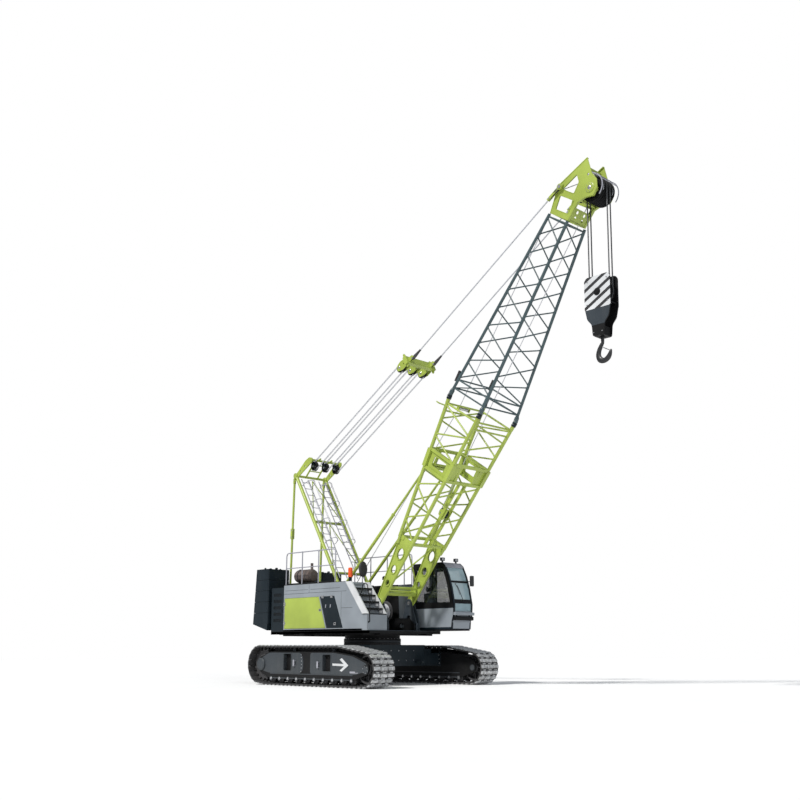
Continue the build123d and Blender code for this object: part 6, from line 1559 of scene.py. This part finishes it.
# Engine block seen through open doors
g = Gather()
g.box(-2.20, -0.70, -1.33, -0.83, 1.6406, 2.05, 0)
for k in range(6):
    x = -2.01 + k * 0.24
    g.box(x - 0.09, x + 0.09, -1.25, -0.95, 2.05, 2.32, 0)
    g.box(x - 0.08, x + 0.08, -1.27, -0.93, 2.32, 2.42, 1)
    g.pipe([(x, -1.25, 2.20), (x, -1.30, 2.22), (x, -1.31, 2.34), (x + 0.03, -1.28, 2.46)], 0.022, 8, 2)
g.tube((-2.15, -1.27, 2.47), (-0.75, -1.27, 2.47), 0.030, 14, 2)
g.lathe((-1.60, -1.329, 1.86), ACROSS, [(0, 0), (0, 0.13), (0.10, 0.13), (0.12, 0.10), (0.12, 0)], 26, 1,
        False)
g.done("engine_body", "superstructure", ["cast_steel", "slate_paint", "rusty_steel"], 0.008, ["engine"])

# Stairs
STEP, BOX_TOP, STAIR_Y = 0.26, 2.07, (-1.46, -0.72)


def slope_x(z):
    """The leaning front of the right house at z."""
    return 0.40 + (ROOF_Z - z) * 0.7917


def grip_holes(xs, y_from):
    return [rounded(rect(x, x + 0.035, y_from + 0.125 * j, y_from + 0.125 * j + 0.08), 0.010, 2) for x in xs
            for j in range(5)]


g = Gather()
top_front = slope_x(ROOF_Z)
stringer = [(top_front + 0.0005, ROOF_Z), (top_front + STEP, ROOF_Z), (1.42, BOX_TOP), (1.1605, BOX_TOP)]
for y0, y1 in ((-1.46, -1.415), (-0.765, -0.72)):
    g.plate([stringer], y0, y1, 1)
for z in (2.23, 2.43, 2.63, 2.83):
    x0, x1 = slope_x(z) + 0.02, slope_x(z) + STEP - 0.012
    rows = [x0 + 0.03 + 0.055 * k for k in range(int((x1 - x0 - 0.05) / 0.055))]
    g.plate([rounded(rect(x0, x1, -1.44, -0.74), 0.01)] + grip_holes(rows, -1.39), z - 0.013, z + 0.010, 2,
            flat)
    g.box(x1 - 0.012, x1 + 0.006, -1.44, -0.74, z - 0.035, z + 0.014, 2)
    g.box(x0 - 0.004, x0 + 0.008, -1.44, -0.74, z - 0.020, z + 0.030, 2)
for z in (2.13, 2.33, 2.53, 2.73, 2.93):
    xs = slope_x(z)
    g.box(xs + 0.003, xs + 0.009, -1.41, -0.77, z - 0.062, z + 0.050, 3)
g.plate([rounded(rect(-1.46, -0.72, 1.6005, 2.071), 0.012)], 1.385, 1.42, 3, facing)
for y0, y1 in ((-1.46, -1.42), (-0.76, -0.72)):
    g.plate([rect(1.1605, 1.40, 1.6005, 2.071)], y0, y1, 3)
g.plate([rounded(rect(1.1605, 1.42, *STAIR_Y), 0.01)], 2.045, 2.071, 3, flat)
g.plate([rounded(rect(1.20, 1.395, -1.40, -0.78), 0.01)] + grip_holes((1.215, 1.27, 1.325), -1.37), 2.071,
        2.0755, 2, flat)
for y, z in ((-1.41, 1.65), (-0.77, 1.65), (-1.41, 2.02), (-0.77, 2.02)):
    g.lathe((1.4185, y, z), AHEAD, [(0, 0), (0, 0.014), (0.0014, 0.012), (0.0014, 0)], 12, 2, False)
g.done("stair_frames", "superstructure", ["rail_grey", "white_paint", "black_paint", "grey_paint"], 0.004,
       ["stairs"])

# Hand rails
RAIL_R, RAIL_LOW, RAIL_MID, RAIL_TOP = 0.018, 3.031, 3.56, 4.04


def bend(points, r, steps=5):
    """The points with a soft turn of about r at every inner one."""
    out = [Vector(points[0])]
    for a, p, b in zip(points, points[1:], points[2:]):
        a, p, b = Vector(a), Vector(p), Vector(b)
        ua, ub = (a - p).normalized(), (b - p).normalized()
        cut = min(r, (a - p).length * 0.45, (b - p).length * 0.45)
        for k in range(steps + 1):
            t = k / steps
            out.append((p + ua * cut) * (1 - t) ** 2 + p * (2 * t * (1 - t)) + (p + ub * cut) * t ** 2)
    return out + [Vector(points[-1])]


def fence(g, y, xs):
    """One roof fence: a bent outer rail, a middle rail, posts with their feet and clips, and a kick strip."""
    first, last = xs[0], xs[-1]
    g.pipe(bend([(first, y, RAIL_LOW), (first, y, RAIL_TOP), (last, y, RAIL_TOP), (last, y, RAIL_LOW)],
                0.12), RAIL_R, 12, 0)
    g.tube((first + 0.012, y, RAIL_MID), (last - 0.012, y, RAIL_MID), RAIL_R * 0.85, 10, 0)
    clip = [(-0.03, RAIL_R), (-0.03, RAIL_R + 0.005), (0.02, RAIL_R + 0.004), (0.02, RAIL_R)]
    for x in xs:
        inner = x not in (first, last)
        if inner:
            g.tube((x, y, RAIL_LOW), (x, y, RAIL_TOP), RAIL_R, 12, 0)
        g.disc((x, y, RAIL_LOW), UP, 0, 0.006, 0.030, 16, 0)
        for z in (RAIL_MID, RAIL_TOP) if inner else (RAIL_MID,):
            g.lathe((x, y, z), UP, clip, 12, 0)
    g.box(first - 0.005, last + 0.005, y - 0.003, y + 0.003, 3.032, 3.085, 2)


g = Gather()
fence(g, -1.43, (-2.5, -1.7, -0.9, -0.1))
fence(g, 1.43, (-2.5, -1.7, -0.9, -0.1, 0.25))
grab = [(x, -1.4375, z) for x, z in ((1.0007, 2.6003), (1.102, 2.681), (1.160, 2.94), (1.345, 2.92),
                                     (1.465, 2.45), (1.465, 1.83), (1.4203, 1.83))]
g.pipe(bend(grab, 0.07), 0.014, 12, 2)
g.lathe((1.4203, -1.4375, 1.83), AHEAD, [(0, 0), (0, 0.028), (0.006, 0.026), (0.006, 0)], 16, 2, False)
g.done("hand_rail_set", "superstructure", ["rail_grey", "grey_paint", "black_paint"], 0.0, ["hand_rails"])

# Muffler
g = Gather()
MUFFLER_Y, MUFFLER_Z = -1.0, 3.33
prof = [(-2.450, 0.0), (-2.450, 0.13), (-2.444, 0.165), (-2.425, 0.185), (-2.40, 0.190)]
for k in range(8):
    x = -2.38 + 0.09 * k
    prof += [(x - 0.006, 0.190), (x, 0.203), (x + 0.008, 0.205), (x + 0.022, 0.205), (x + 0.030, 0.203),
             (x + 0.036, 0.190)]
prof += [(-1.70, 0.190), (-1.675, 0.185), (-1.656, 0.165), (-1.650, 0.13), (-1.650, 0.0)]
g.lathe((0, MUFFLER_Y, MUFFLER_Z), AHEAD, prof, 40, 0, False)
for x in (-2.25, -1.85):
    g.plate([rounded(rect(MUFFLER_Y - 0.06, MUFFLER_Y + 0.06, 3.0305, 3.2), 0.01)], x - 0.05, x + 0.05, 1,
            facing)
    g.box(x - 0.075, x + 0.075, MUFFLER_Y - 0.16, MUFFLER_Y + 0.16, 3.0305, 3.045, 1)
    g.collar((x, MUFFLER_Y, MUFFLER_Z), AHEAD, -0.018, 0.018, 0.190, 0.2055, 40, 2)
    g.tube((x, MUFFLER_Y - 0.2, MUFFLER_Z - 0.03), (x, MUFFLER_Y - 0.2, MUFFLER_Z + 0.03), 0.009, 10, 2)
g.lathe((-1.76, MUFFLER_Y, 3.40), UP, [(0.0, 0.040), (0.09, 0.040), (0.10, 0.060), (0.125, 0.060),
                                       (0.135, 0.043), (0.32, 0.043), (0.32, 0.036), (0.02, 0.036)], 28, 0)
g.plate([ring(-1.76, MUFFLER_Y, 0.045, 24)], 3.706, 3.72, 1, flat)
g.lathe((-2.30, MUFFLER_Y, MUFFLER_Z + 0.188), UP,
        [(0, 0), (0, 0.07), (0.02, 0.07), (0.03, 0.05), (0.03, 0)], 22, 1, False)
g.done("muffler_body", "superstructure", ["rusty_steel", "black_paint", "cast_steel"], 0.0, ["muffler"])

# Beacon
g = Gather()
BEACON_X, BEACON_Y = 0.33, -1.208
g.lathe((BEACON_X, BEACON_Y, 3.0305), UP, [(0, 0), (0, 0.049), (0.01, 0.050), (0.13, 0.050), (0.145, 0.062),
                                           (0.15, 0.062), (0.15, 0)], 30, 1, False)
lens = [(0.14, 0.060), (0.15, 0.069)]
for k in range(9):
    lens += [(0.165 + 0.026 * k, 0.069), (0.178 + 0.026 * k, 0.0655)]
lens += [(0.40, 0.067), (0.418, 0.060), (0.427, 0.045), (0.4295, 0.020), (0.4295, 0.0)]
g.lathe((BEACON_X, BEACON_Y, 3.0305), UP, lens, 36, 0, False)
g.done("beacon_lamp", "superstructure", ["orange_lens", "dark_paint"], 0.0, ["beacon"])

# Mirrors
g = Gather()
g.plate([rounded(rect(2.30, 2.35, 3.05, 3.11), 0.008, 2)], 1.7003, 1.712, 0)
g.pipe(bend([(2.33, 1.712, 3.08), (2.36, 1.745, 3.08), (2.53, 1.76, 3.08)], 0.03), 0.011, 12, 0)
g.plate([rounded(rect(1.67, 1.83, 2.93, 3.25), 0.035)], 2.512, 2.54, 0, facing)
g.plate([rounded(rect(1.68, 1.82, 2.94, 3.24), 0.030)], 2.5105, 2.5125, 1, facing)
OVAL_Y, OVAL_Z = -0.755, 3.43
g.tube((0.36, OVAL_Y, 3.031), (0.36, OVAL_Y, 3.42), 0.0155, 14, 2)
g.disc((0.36, OVAL_Y, 3.0305), UP, 0, 0.008, 0.035, 18, 2)
# the round mirror's shell: distance forward and share of its size
n = 40
OVAL_HALF = (0.164, 0.239)
rows = [(0.366, 0.93), (0.372, 0.985), (0.385, 0.995), (0.402, 0.96), (0.415, 0.84), (0.422, 0.60),
        (0.4247, 0.25)]
g.loft([[(x, OVAL_Y + OVAL_HALF[0] * k * cos(2 * pi * i / n), OVAL_Z + OVAL_HALF[1] * k * sin(2 * pi * i / n))
         for i in range(n)] for x, k in rows], 0, True)
glass_edge = [(OVAL_Y + OVAL_HALF[0] * 0.9 * cos(2 * pi * i / n),
               OVAL_Z + OVAL_HALF[1] * 0.9 * sin(2 * pi * i / n)) for i in range(n)]
g.plate([glass_edge], 0.3652, 0.3665, 1, facing)
g.done("mirror_set", "superstructure", ["black_plastic", "bare_steel", "rail_grey"], 0.0, ["mirrors"])

# Cab
CAB_IN, CAB_OUT, CAB_LOW = 0.87, 1.70, 1.64
# the front's curve, from the roof down
FRONT = [(2.10, 3.64), (2.23, 3.54), (2.385, 3.22), (2.50, 2.86), (2.60, 2.38), (2.585, 2.06), (2.53, 1.88),
         (2.51, 1.64)]


def front_x(z, back=0.0):
    """The cab's front at z, or that far behind it."""
    for (xa, za), (xb, zb) in zip(FRONT, FRONT[1:]):
        if zb <= z <= za:
            return xb + (xa - xb) * (z - zb) / (za - zb) - back
    return FRONT[-1][0] - back


def side_opening(rear, low, high, edge, r=0.05):
    """An opening of the side view that keeps its distance, edge, from the curved front."""
    levels = [z for _, z in FRONT if low < z < high]
    return rounded([(rear, low), (rear, high)] + [(front_x(z, edge), z) for z in [high] + levels + [low]], r)


SIDE_WINDOW = side_opening(1.02, 2.42, 3.50, 0.13)
DOOR_HOLE = side_opening(1.01, 1.72, 3.54, 0.12)
DOOR_WINDOW = side_opening(1.11, 2.42, 3.44, 0.215)
PANES = ((3.08, 3.48), (2.52, 3.02), (2.17, 2.40))


def inset(d, low, high, r):
    """A rounded rectangle of the cab's end view, d in from its sides."""
    return rounded(rect(CAB_IN + d, CAB_OUT - d, low, high), r)


def on_roof(x0, x1, d, r):
    """A rounded rectangle of its plan, d in from its sides."""
    return rounded(rect(x0, x1, CAB_IN + d, CAB_OUT - d), r)


outline = [(0.88, CAB_LOW), (0.88, 3.64)] + FRONT
g = Gather()
g.plate([outline, SIDE_WINDOW], CAB_IN, CAB_IN + 0.05, 0)
g.plate([outline, DOOR_HOLE], CAB_OUT - 0.05, CAB_OUT, 0)
for xa, xb, z, slot in ((0.88, 2.49, 1.665, 0), (0.90, 2.105, 3.615, 2)):
    g.beam((xa, (CAB_IN + CAB_OUT) / 2, z), (xb, (CAB_IN + CAB_OUT) / 2, z), CAB_OUT - CAB_IN - 0.002,
           0.048, slot=slot)
g.plate([inset(0.001, CAB_LOW, 3.639, 0.04), inset(0.12, 2.50, 3.45, 0.05)], 0.8805, 0.93, 0, facing)


def front_strip(g, y0, y1, levels, back, thick, slot):
    """A skin that follows the curved front between y0 and y1, through the levels given."""
    zs = [z for _, z in FRONT if levels[1] < z < levels[0]]
    zs = [levels[0]] + zs + [levels[1]]
    pts = [(front_x(z, back), z) for z in zs] + [(front_x(z, back + thick), z) for z in zs[::-1]]
    g.plate([pts], y0, y1, slot)


for y0, y1 in ((CAB_IN, CAB_IN + 0.06), (CAB_OUT - 0.06, CAB_OUT)):
    front_strip(g, y0, y1, (3.62, 1.66), 0.0005, 0.05, 0)
for high, low, slot in ((3.62, 3.48, 2), (3.08, 3.02, 1), (2.52, 2.40, 1), (2.17, 1.66, 4)):
    front_strip(g, CAB_IN + 0.058, CAB_OUT - 0.058, (high, low), 0.001, 0.048, slot)
front_strip(g, CAB_IN + 0.02, CAB_OUT - 0.02, (3.635, 3.50), 0.0, 0.03, 2)
# seals round the openings
for low, high in PANES:
    for y in (CAB_IN + 0.055, CAB_OUT - 0.067):
        front_strip(g, y, y + 0.012, (high, low), -0.002, 0.012, 1)
for loop, y0, y1 in ((SIDE_WINDOW, CAB_IN, CAB_IN + 0.012), (DOOR_HOLE, CAB_OUT - 0.052, CAB_OUT - 0.046)):
    g.plate([loop, offset(loop, 0.016)], y0, y1, 1)
# lower outside: grey panel with a black foot, beam and bumper
grey_panel = [(0.90, 1.70), (0.90, 2.26), *[(front_x(z) - 0.02, z) for z in (2.26, 2.06, 1.88)], (2.49, 1.70)]
g.plate([rounded(grey_panel, 0.02)], CAB_IN - 0.0008, CAB_IN + 0.004, 4)
black_panel = [(0.90, 2.275), (0.90, 3.625), (2.095, 3.625), (2.21, 3.53), (2.36, 3.22), (2.475, 2.86),
               (2.57, 2.38), (2.57, 2.275)]
g.plate([rounded(black_panel, 0.02), SIDE_WINDOW], CAB_IN - 0.0004, CAB_IN + 0.004, 1)
g.box(0.88, 2.47, CAB_IN, CAB_OUT, 1.6005, 1.641, 1)
bumper = [(2.565, 2.052), (2.655, 2.052), (2.67, 2.07), (2.67, 2.125), (2.655, 2.14), (2.565, 2.14)]
g.plate([rounded(bumper, 0.008)], CAB_IN, CAB_OUT, 4)
bar = [(2.52, 1.902), (2.635, 1.902), (2.65, 1.92), (2.65, 2.00), (2.635, 2.02), (2.55, 2.02)]
g.plate([rounded(bar, 0.010)], CAB_IN + 0.02, CAB_OUT - 0.02, 1)
for y in (CAB_IN + 0.14, CAB_OUT - 0.14):
    g.box(2.53, 2.60, y - 0.02, y + 0.02, 1.93, 2.11, 1)
g.plate([rounded([(2.50, 1.70), (2.535, 1.885), (2.50, 1.885)], 0.004, 2)], CAB_IN + 0.03, CAB_OUT - 0.03, 4)
# roof: raised edge and hatch frame; rear: vents
g.plate([on_roof(0.90, 2.08, 0.01, 0.06), on_roof(1.30, 1.90, 0.16, 0.04)], 3.615, 3.6395, 2, flat)
g.plate([on_roof(1.28, 1.92, 0.14, 0.05), on_roof(1.315, 1.885, 0.175, 0.04)], 3.63, 3.640, 1, flat)
for k in range(8):
    z = 1.80 + 0.06 * k
    g.plate([rounded(rect(CAB_IN + 0.15, CAB_OUT - 0.15, z, z + 0.03), 0.01, 2)], 0.8800, 0.884, 1, facing)
# inside: floor mat, rear shelf, headliner
g.plate([on_roof(0.95, 2.45, 0.07, 0.05)], 1.690, 1.700, 1, flat)
g.box(0.932, 1.10, CAB_IN + 0.08, CAB_OUT - 0.08, 2.06, 2.36, 1)
g.plate([on_roof(0.96, 1.27, 0.08, 0.04)], 3.572, 3.588, 3, flat)
# wiper on the upper pane
g.tube((front_x(2.49), 1.28, 2.49), (front_x(2.49, -0.03), 1.28, 2.49), 0.02, 14, 1)
ARM = ((2.50, -0.022, 1.28), (2.75, -0.020, 1.20), (2.95, -0.016, 1.13))
BLADE = ((2.66, -0.009, 1.20), (2.86, -0.007, 1.14), (3.00, -0.006, 1.08))
for line, r in ((ARM, 0.007), (BLADE, 0.006)):
    g.pipe([(front_x(z, back), y, z) for z, back, y in line], r, 8, 1)
g.done("cab_body", "superstructure", ["dark_paint", "black_paint", "rail_grey", "slate_paint",
                                      "grey_paint"], 0.004, ["cab_shell"])

g = Gather()
g.plate([offset(SIDE_WINDOW, 0.004)], CAB_IN + 0.021, CAB_IN + 0.027, 1)
for low, high in PANES:
    front_strip(g, CAB_IN + 0.0605, CAB_OUT - 0.0605, (high - 0.001, low + 0.001), 0.016, 0.007, 0)
g.plate([on_roof(1.301, 1.899, 0.161, 0.04)], 3.611, 3.617, 1, flat)
g.plate([inset(0.121, 2.501, 3.449, 0.05)], 0.901, 0.907, 1, facing)
g.done("cab_panes", "superstructure", ["clear_glass", "side_glass"], 0.0, ["cab_glass"])

g = Gather()
leaf = side_opening(1.016, 1.726, 3.534, 0.126)
g.plate([leaf, DOOR_WINDOW], CAB_OUT - 0.045, CAB_OUT - 0.004, 0)
g.plate([offset(leaf, 0.01), offset(DOOR_WINDOW, -0.05)], CAB_OUT - 0.006, CAB_OUT, 0)
g.plate([offset(DOOR_WINDOW, -0.03), offset(DOOR_WINDOW, 0.006)], CAB_OUT - 0.050, CAB_OUT - 0.001, 1)
grip = [(1.985, -0.004), (1.985, 0.026), (2.095, 0.026), (2.095, -0.004)]
g.pipe(bend([(x, CAB_OUT + y, 2.295) for x, y in grip], 0.012), 0.009, 10, 1)
g.plate([rounded(rect(1.96, 2.12, 2.26, 2.33), 0.02)], CAB_OUT - 0.002, CAB_OUT + 0.003, 1)
for z in (1.95, 3.25):
    g.tube((1.001, CAB_OUT + 0.0123, z - 0.055), (1.001, CAB_OUT + 0.0123, z + 0.055), 0.012, 14, 2)
    g.box(1.002, 1.075, CAB_OUT - 0.003, CAB_OUT + 0.005, z - 0.045, z + 0.045, 2)
panel = rounded([(1.10, 1.80), (2.33, 1.80), (2.37, 1.95), (2.40, 2.20), (1.10, 2.20)], 0.05)
g.plate([panel, offset(panel, 0.012)], CAB_OUT - 0.003, CAB_OUT, 1)
g.done("cab_door_leaf", "cab_door", ["dark_paint", "black_paint", "bare_steel"], 0.003, ["cab_door"])
g = Gather()
g.plate([offset(DOOR_WINDOW, 0.003)], CAB_OUT - 0.029, CAB_OUT - 0.023, 0)
g.done("cab_door_pane", "cab_door", ["side_glass"], 0.0, ["cab_door_glass"], finish="clear_glass")


# Seat: stuffed pieces on a plain carrier
SEAT_Y, SEAT_LOW = 1.285, 1.6903


SQUARE = 4.0


def cushion(name, sections):
    """A soft body over stacked sections: (centre x, height over the floor, half length, half width)."""
    g = Gather()
    n = 36
    rings = []
    for cx, up, hx, hy in sections:
        ring_points = []
        for i in range(n):
            c, s_ = cos(2 * pi * i / n), sin(2 * pi * i / n)
            rx, ry = (abs(v) ** (2 / SQUARE) * (1 if v >= 0 else -1) for v in (c, s_))
            ring_points.append((cx + hx * rx, SEAT_Y + hy * ry, SEAT_LOW + up))
        rings.append(ring_points)
    g.loft(rings, 0, True)
    o = g.done(name, "superstructure", ["seat_fabric"])


def seat_plate(g, outline, half, slot=0, r=0.01, steps=4, y=SEAT_Y):
    """A rounded plate of the seat's side view, z over the floor, half as wide either way of y."""
    g.plate([rounded([(x, SEAT_LOW + z) for x, z in outline], r, steps)], y - half, y + half, slot)


g = Gather()
seat_plate(g, [(1.32, 0), (1.72, 0), (1.72, 0.05), (1.66, 0.08), (1.66, 0.20), (1.70, 0.262), (1.34, 0.262),
               (1.38, 0.20), (1.38, 0.08), (1.32, 0.05)], 0.15)
for k in range(4):
    z = 0.085 + 0.03 * k
    seat_plate(g, [(1.372, z), (1.668, z), (1.655, z + 0.02), (1.385, z + 0.02)], 0.158, 1, 0.004, 2)
seat_plate(g, rect(1.235, 1.775, 0.262, 0.290), 0.235)
back_plate = [(1.17, 0.40), (1.21, 0.40), (1.155, 1.05), (1.125, 1.05)]
g.plate([[(x, SEAT_LOW + z) for x, z in back_plate]], SEAT_Y - 0.19, SEAT_Y + 0.19, 0)
for y in (SEAT_Y - 0.05, SEAT_Y + 0.05):
    g.tube((1.16, y, SEAT_LOW + 1.03), (1.16, y, SEAT_LOW + 1.13), 0.008, 10, 1)
for s in (-1, 1):
    arm_rest = [(1.22, 0.236, 0.50), (1.24, 0.238, 0.56), (1.50, 0.238, 0.56)]
    g.pipe(bend([(x, SEAT_Y + s * y, SEAT_LOW + z) for x, y, z in arm_rest], 0.04), 0.020, 10, 0)
g.disc((1.24, SEAT_Y - 0.236, SEAT_LOW + 0.42), ACROSS, 0.0, 0.472, 0.03, 18, 0)
g.done("seat_carrier", "superstructure", ["black_plastic", "cast_steel"], 0.003, ["operator_seat"],
       finish="seat_fabric")
cushion("seat_base_cushion", [(1.505, 0.288, 0.20, 0.18), (1.505, 0.295, 0.262, 0.225),
                              (1.505, 0.335, 0.272, 0.236), (1.505, 0.375, 0.268, 0.232),
                              (1.502, 0.394, 0.24, 0.205), (1.50, 0.399, 0.12, 0.10)])
cushion("seat_back_cushion", [(1.245, 0.40, 0.02, 0.12), (1.247, 0.41, 0.045, 0.20),
                              (1.235, 0.55, 0.050, 0.214), (1.215, 0.75, 0.046, 0.214),
                              (1.195, 0.95, 0.040, 0.200), (1.184, 1.05, 0.032, 0.180),
                              (1.182, 1.064, 0.012, 0.10)])
cushion("seat_head_cushion", [(1.162, 1.095, 0.02, 0.06), (1.162, 1.10, 0.040, 0.100),
                              (1.158, 1.18, 0.042, 0.107), (1.154, 1.255, 0.036, 0.098),
                              (1.153, 1.266, 0.015, 0.05)])

# Consoles with levers and buttons, and the pedals
g = Gather()
CONSOLE = [(1.40, 0), (1.90, 0), (1.90, 0.40), (1.86, 0.50), (1.78, 0.53), (1.44, 0.53), (1.40, 0.48)]
BOOT = [(0.0, 0), (0.0, 0.045), (0.012, 0.044), (0.03, 0.030), (0.045, 0.022), (0.06, 0.017), (0.06, 0)]
KNOB = [(-0.030, 0), (-0.028, 0.014), (-0.015, 0.027), (0.0, 0.0315), (0.015, 0.027), (0.028, 0.014),
        (0.031, 0)]
for s in (-1, 1):
    y = SEAT_Y + s * 0.30
    seat_plate(g, CONSOLE, 0.05, 0, 0.02, 4, y)
    g.lathe((1.815, y, SEAT_LOW + 0.525), (0.1, 0, 1), BOOT, 20, 0, False)
    g.tube((1.80, y, SEAT_LOW + 0.51), (1.829, y, SEAT_LOW + 0.72), 0.010, 12, 1)
    g.lathe((1.83, y, SEAT_LOW + 0.74), (0.1, 0, 1), KNOB, 20, 0, False)
    for k in range(3):
        g.lathe((1.50 + 0.08 * k, y + 0.012 * s, SEAT_LOW + 0.53), UP,
                [(-0.004, 0), (-0.004, 0.014), (0.0, 0.012), (0.0, 0)], 14, 2 if k == 1 else 1, False)
seat_plate(g, [(2.20, 0), (2.33, 0), (2.33, 0.04), (2.30, 0.09), (2.20, 0.09)], 0.12)
for y in (SEAT_Y - 0.06, SEAT_Y + 0.06):
    g.tube((2.26, y, SEAT_LOW + 0.08), (2.22, y, SEAT_LOW + 0.51), 0.012, 12, 1)
    g.disc((2.2205, y, SEAT_LOW + 0.50), (-0.1, 0, 1), -0.01, 0.008, 0.0135, 14, 0)
g.done("control_set", "superstructure", ["black_plastic", "bare_steel", "orange_lens"], 0.003,
       ["cab_controls"])

# Work lamps
g = Gather()
LAMP_Z = 3.74


def lamp_plate(g, y, sizes, x0, x1, slot=0):
    """A plate round a lamp's middle; sizes: half width, half height and corner of it and of its hole."""
    loops = [rounded(rect(y - w, y + w, LAMP_Z - h, LAMP_Z + h), r) for w, h, r in sizes]
    g.plate(loops, x0, x1, slot, facing)


for y in (0.99, 1.58):
    g.plate([rounded(rect(2.00, 2.04, 3.6405, 3.70), 0.006, 2)], y - 0.02, y + 0.02, 0)
    lamp_plate(g, y, [(0.07, 0.05, 0.02)], 1.985, 2.05)
    lamp_plate(g, y, [(0.045, 0.035, 0.015)], 1.97, 1.99)
    lamp_plate(g, y, [(0.07, 0.05, 0.02), (0.058, 0.038, 0.016)], 2.048, 2.060)
    lamp_plate(g, y, [(0.060, 0.040, 0.016)], 2.050, 2.054, 1)
g.done("work_lamp_set", "superstructure", ["black_plastic", "bare_steel"], 0.0, ["work_lamps"])
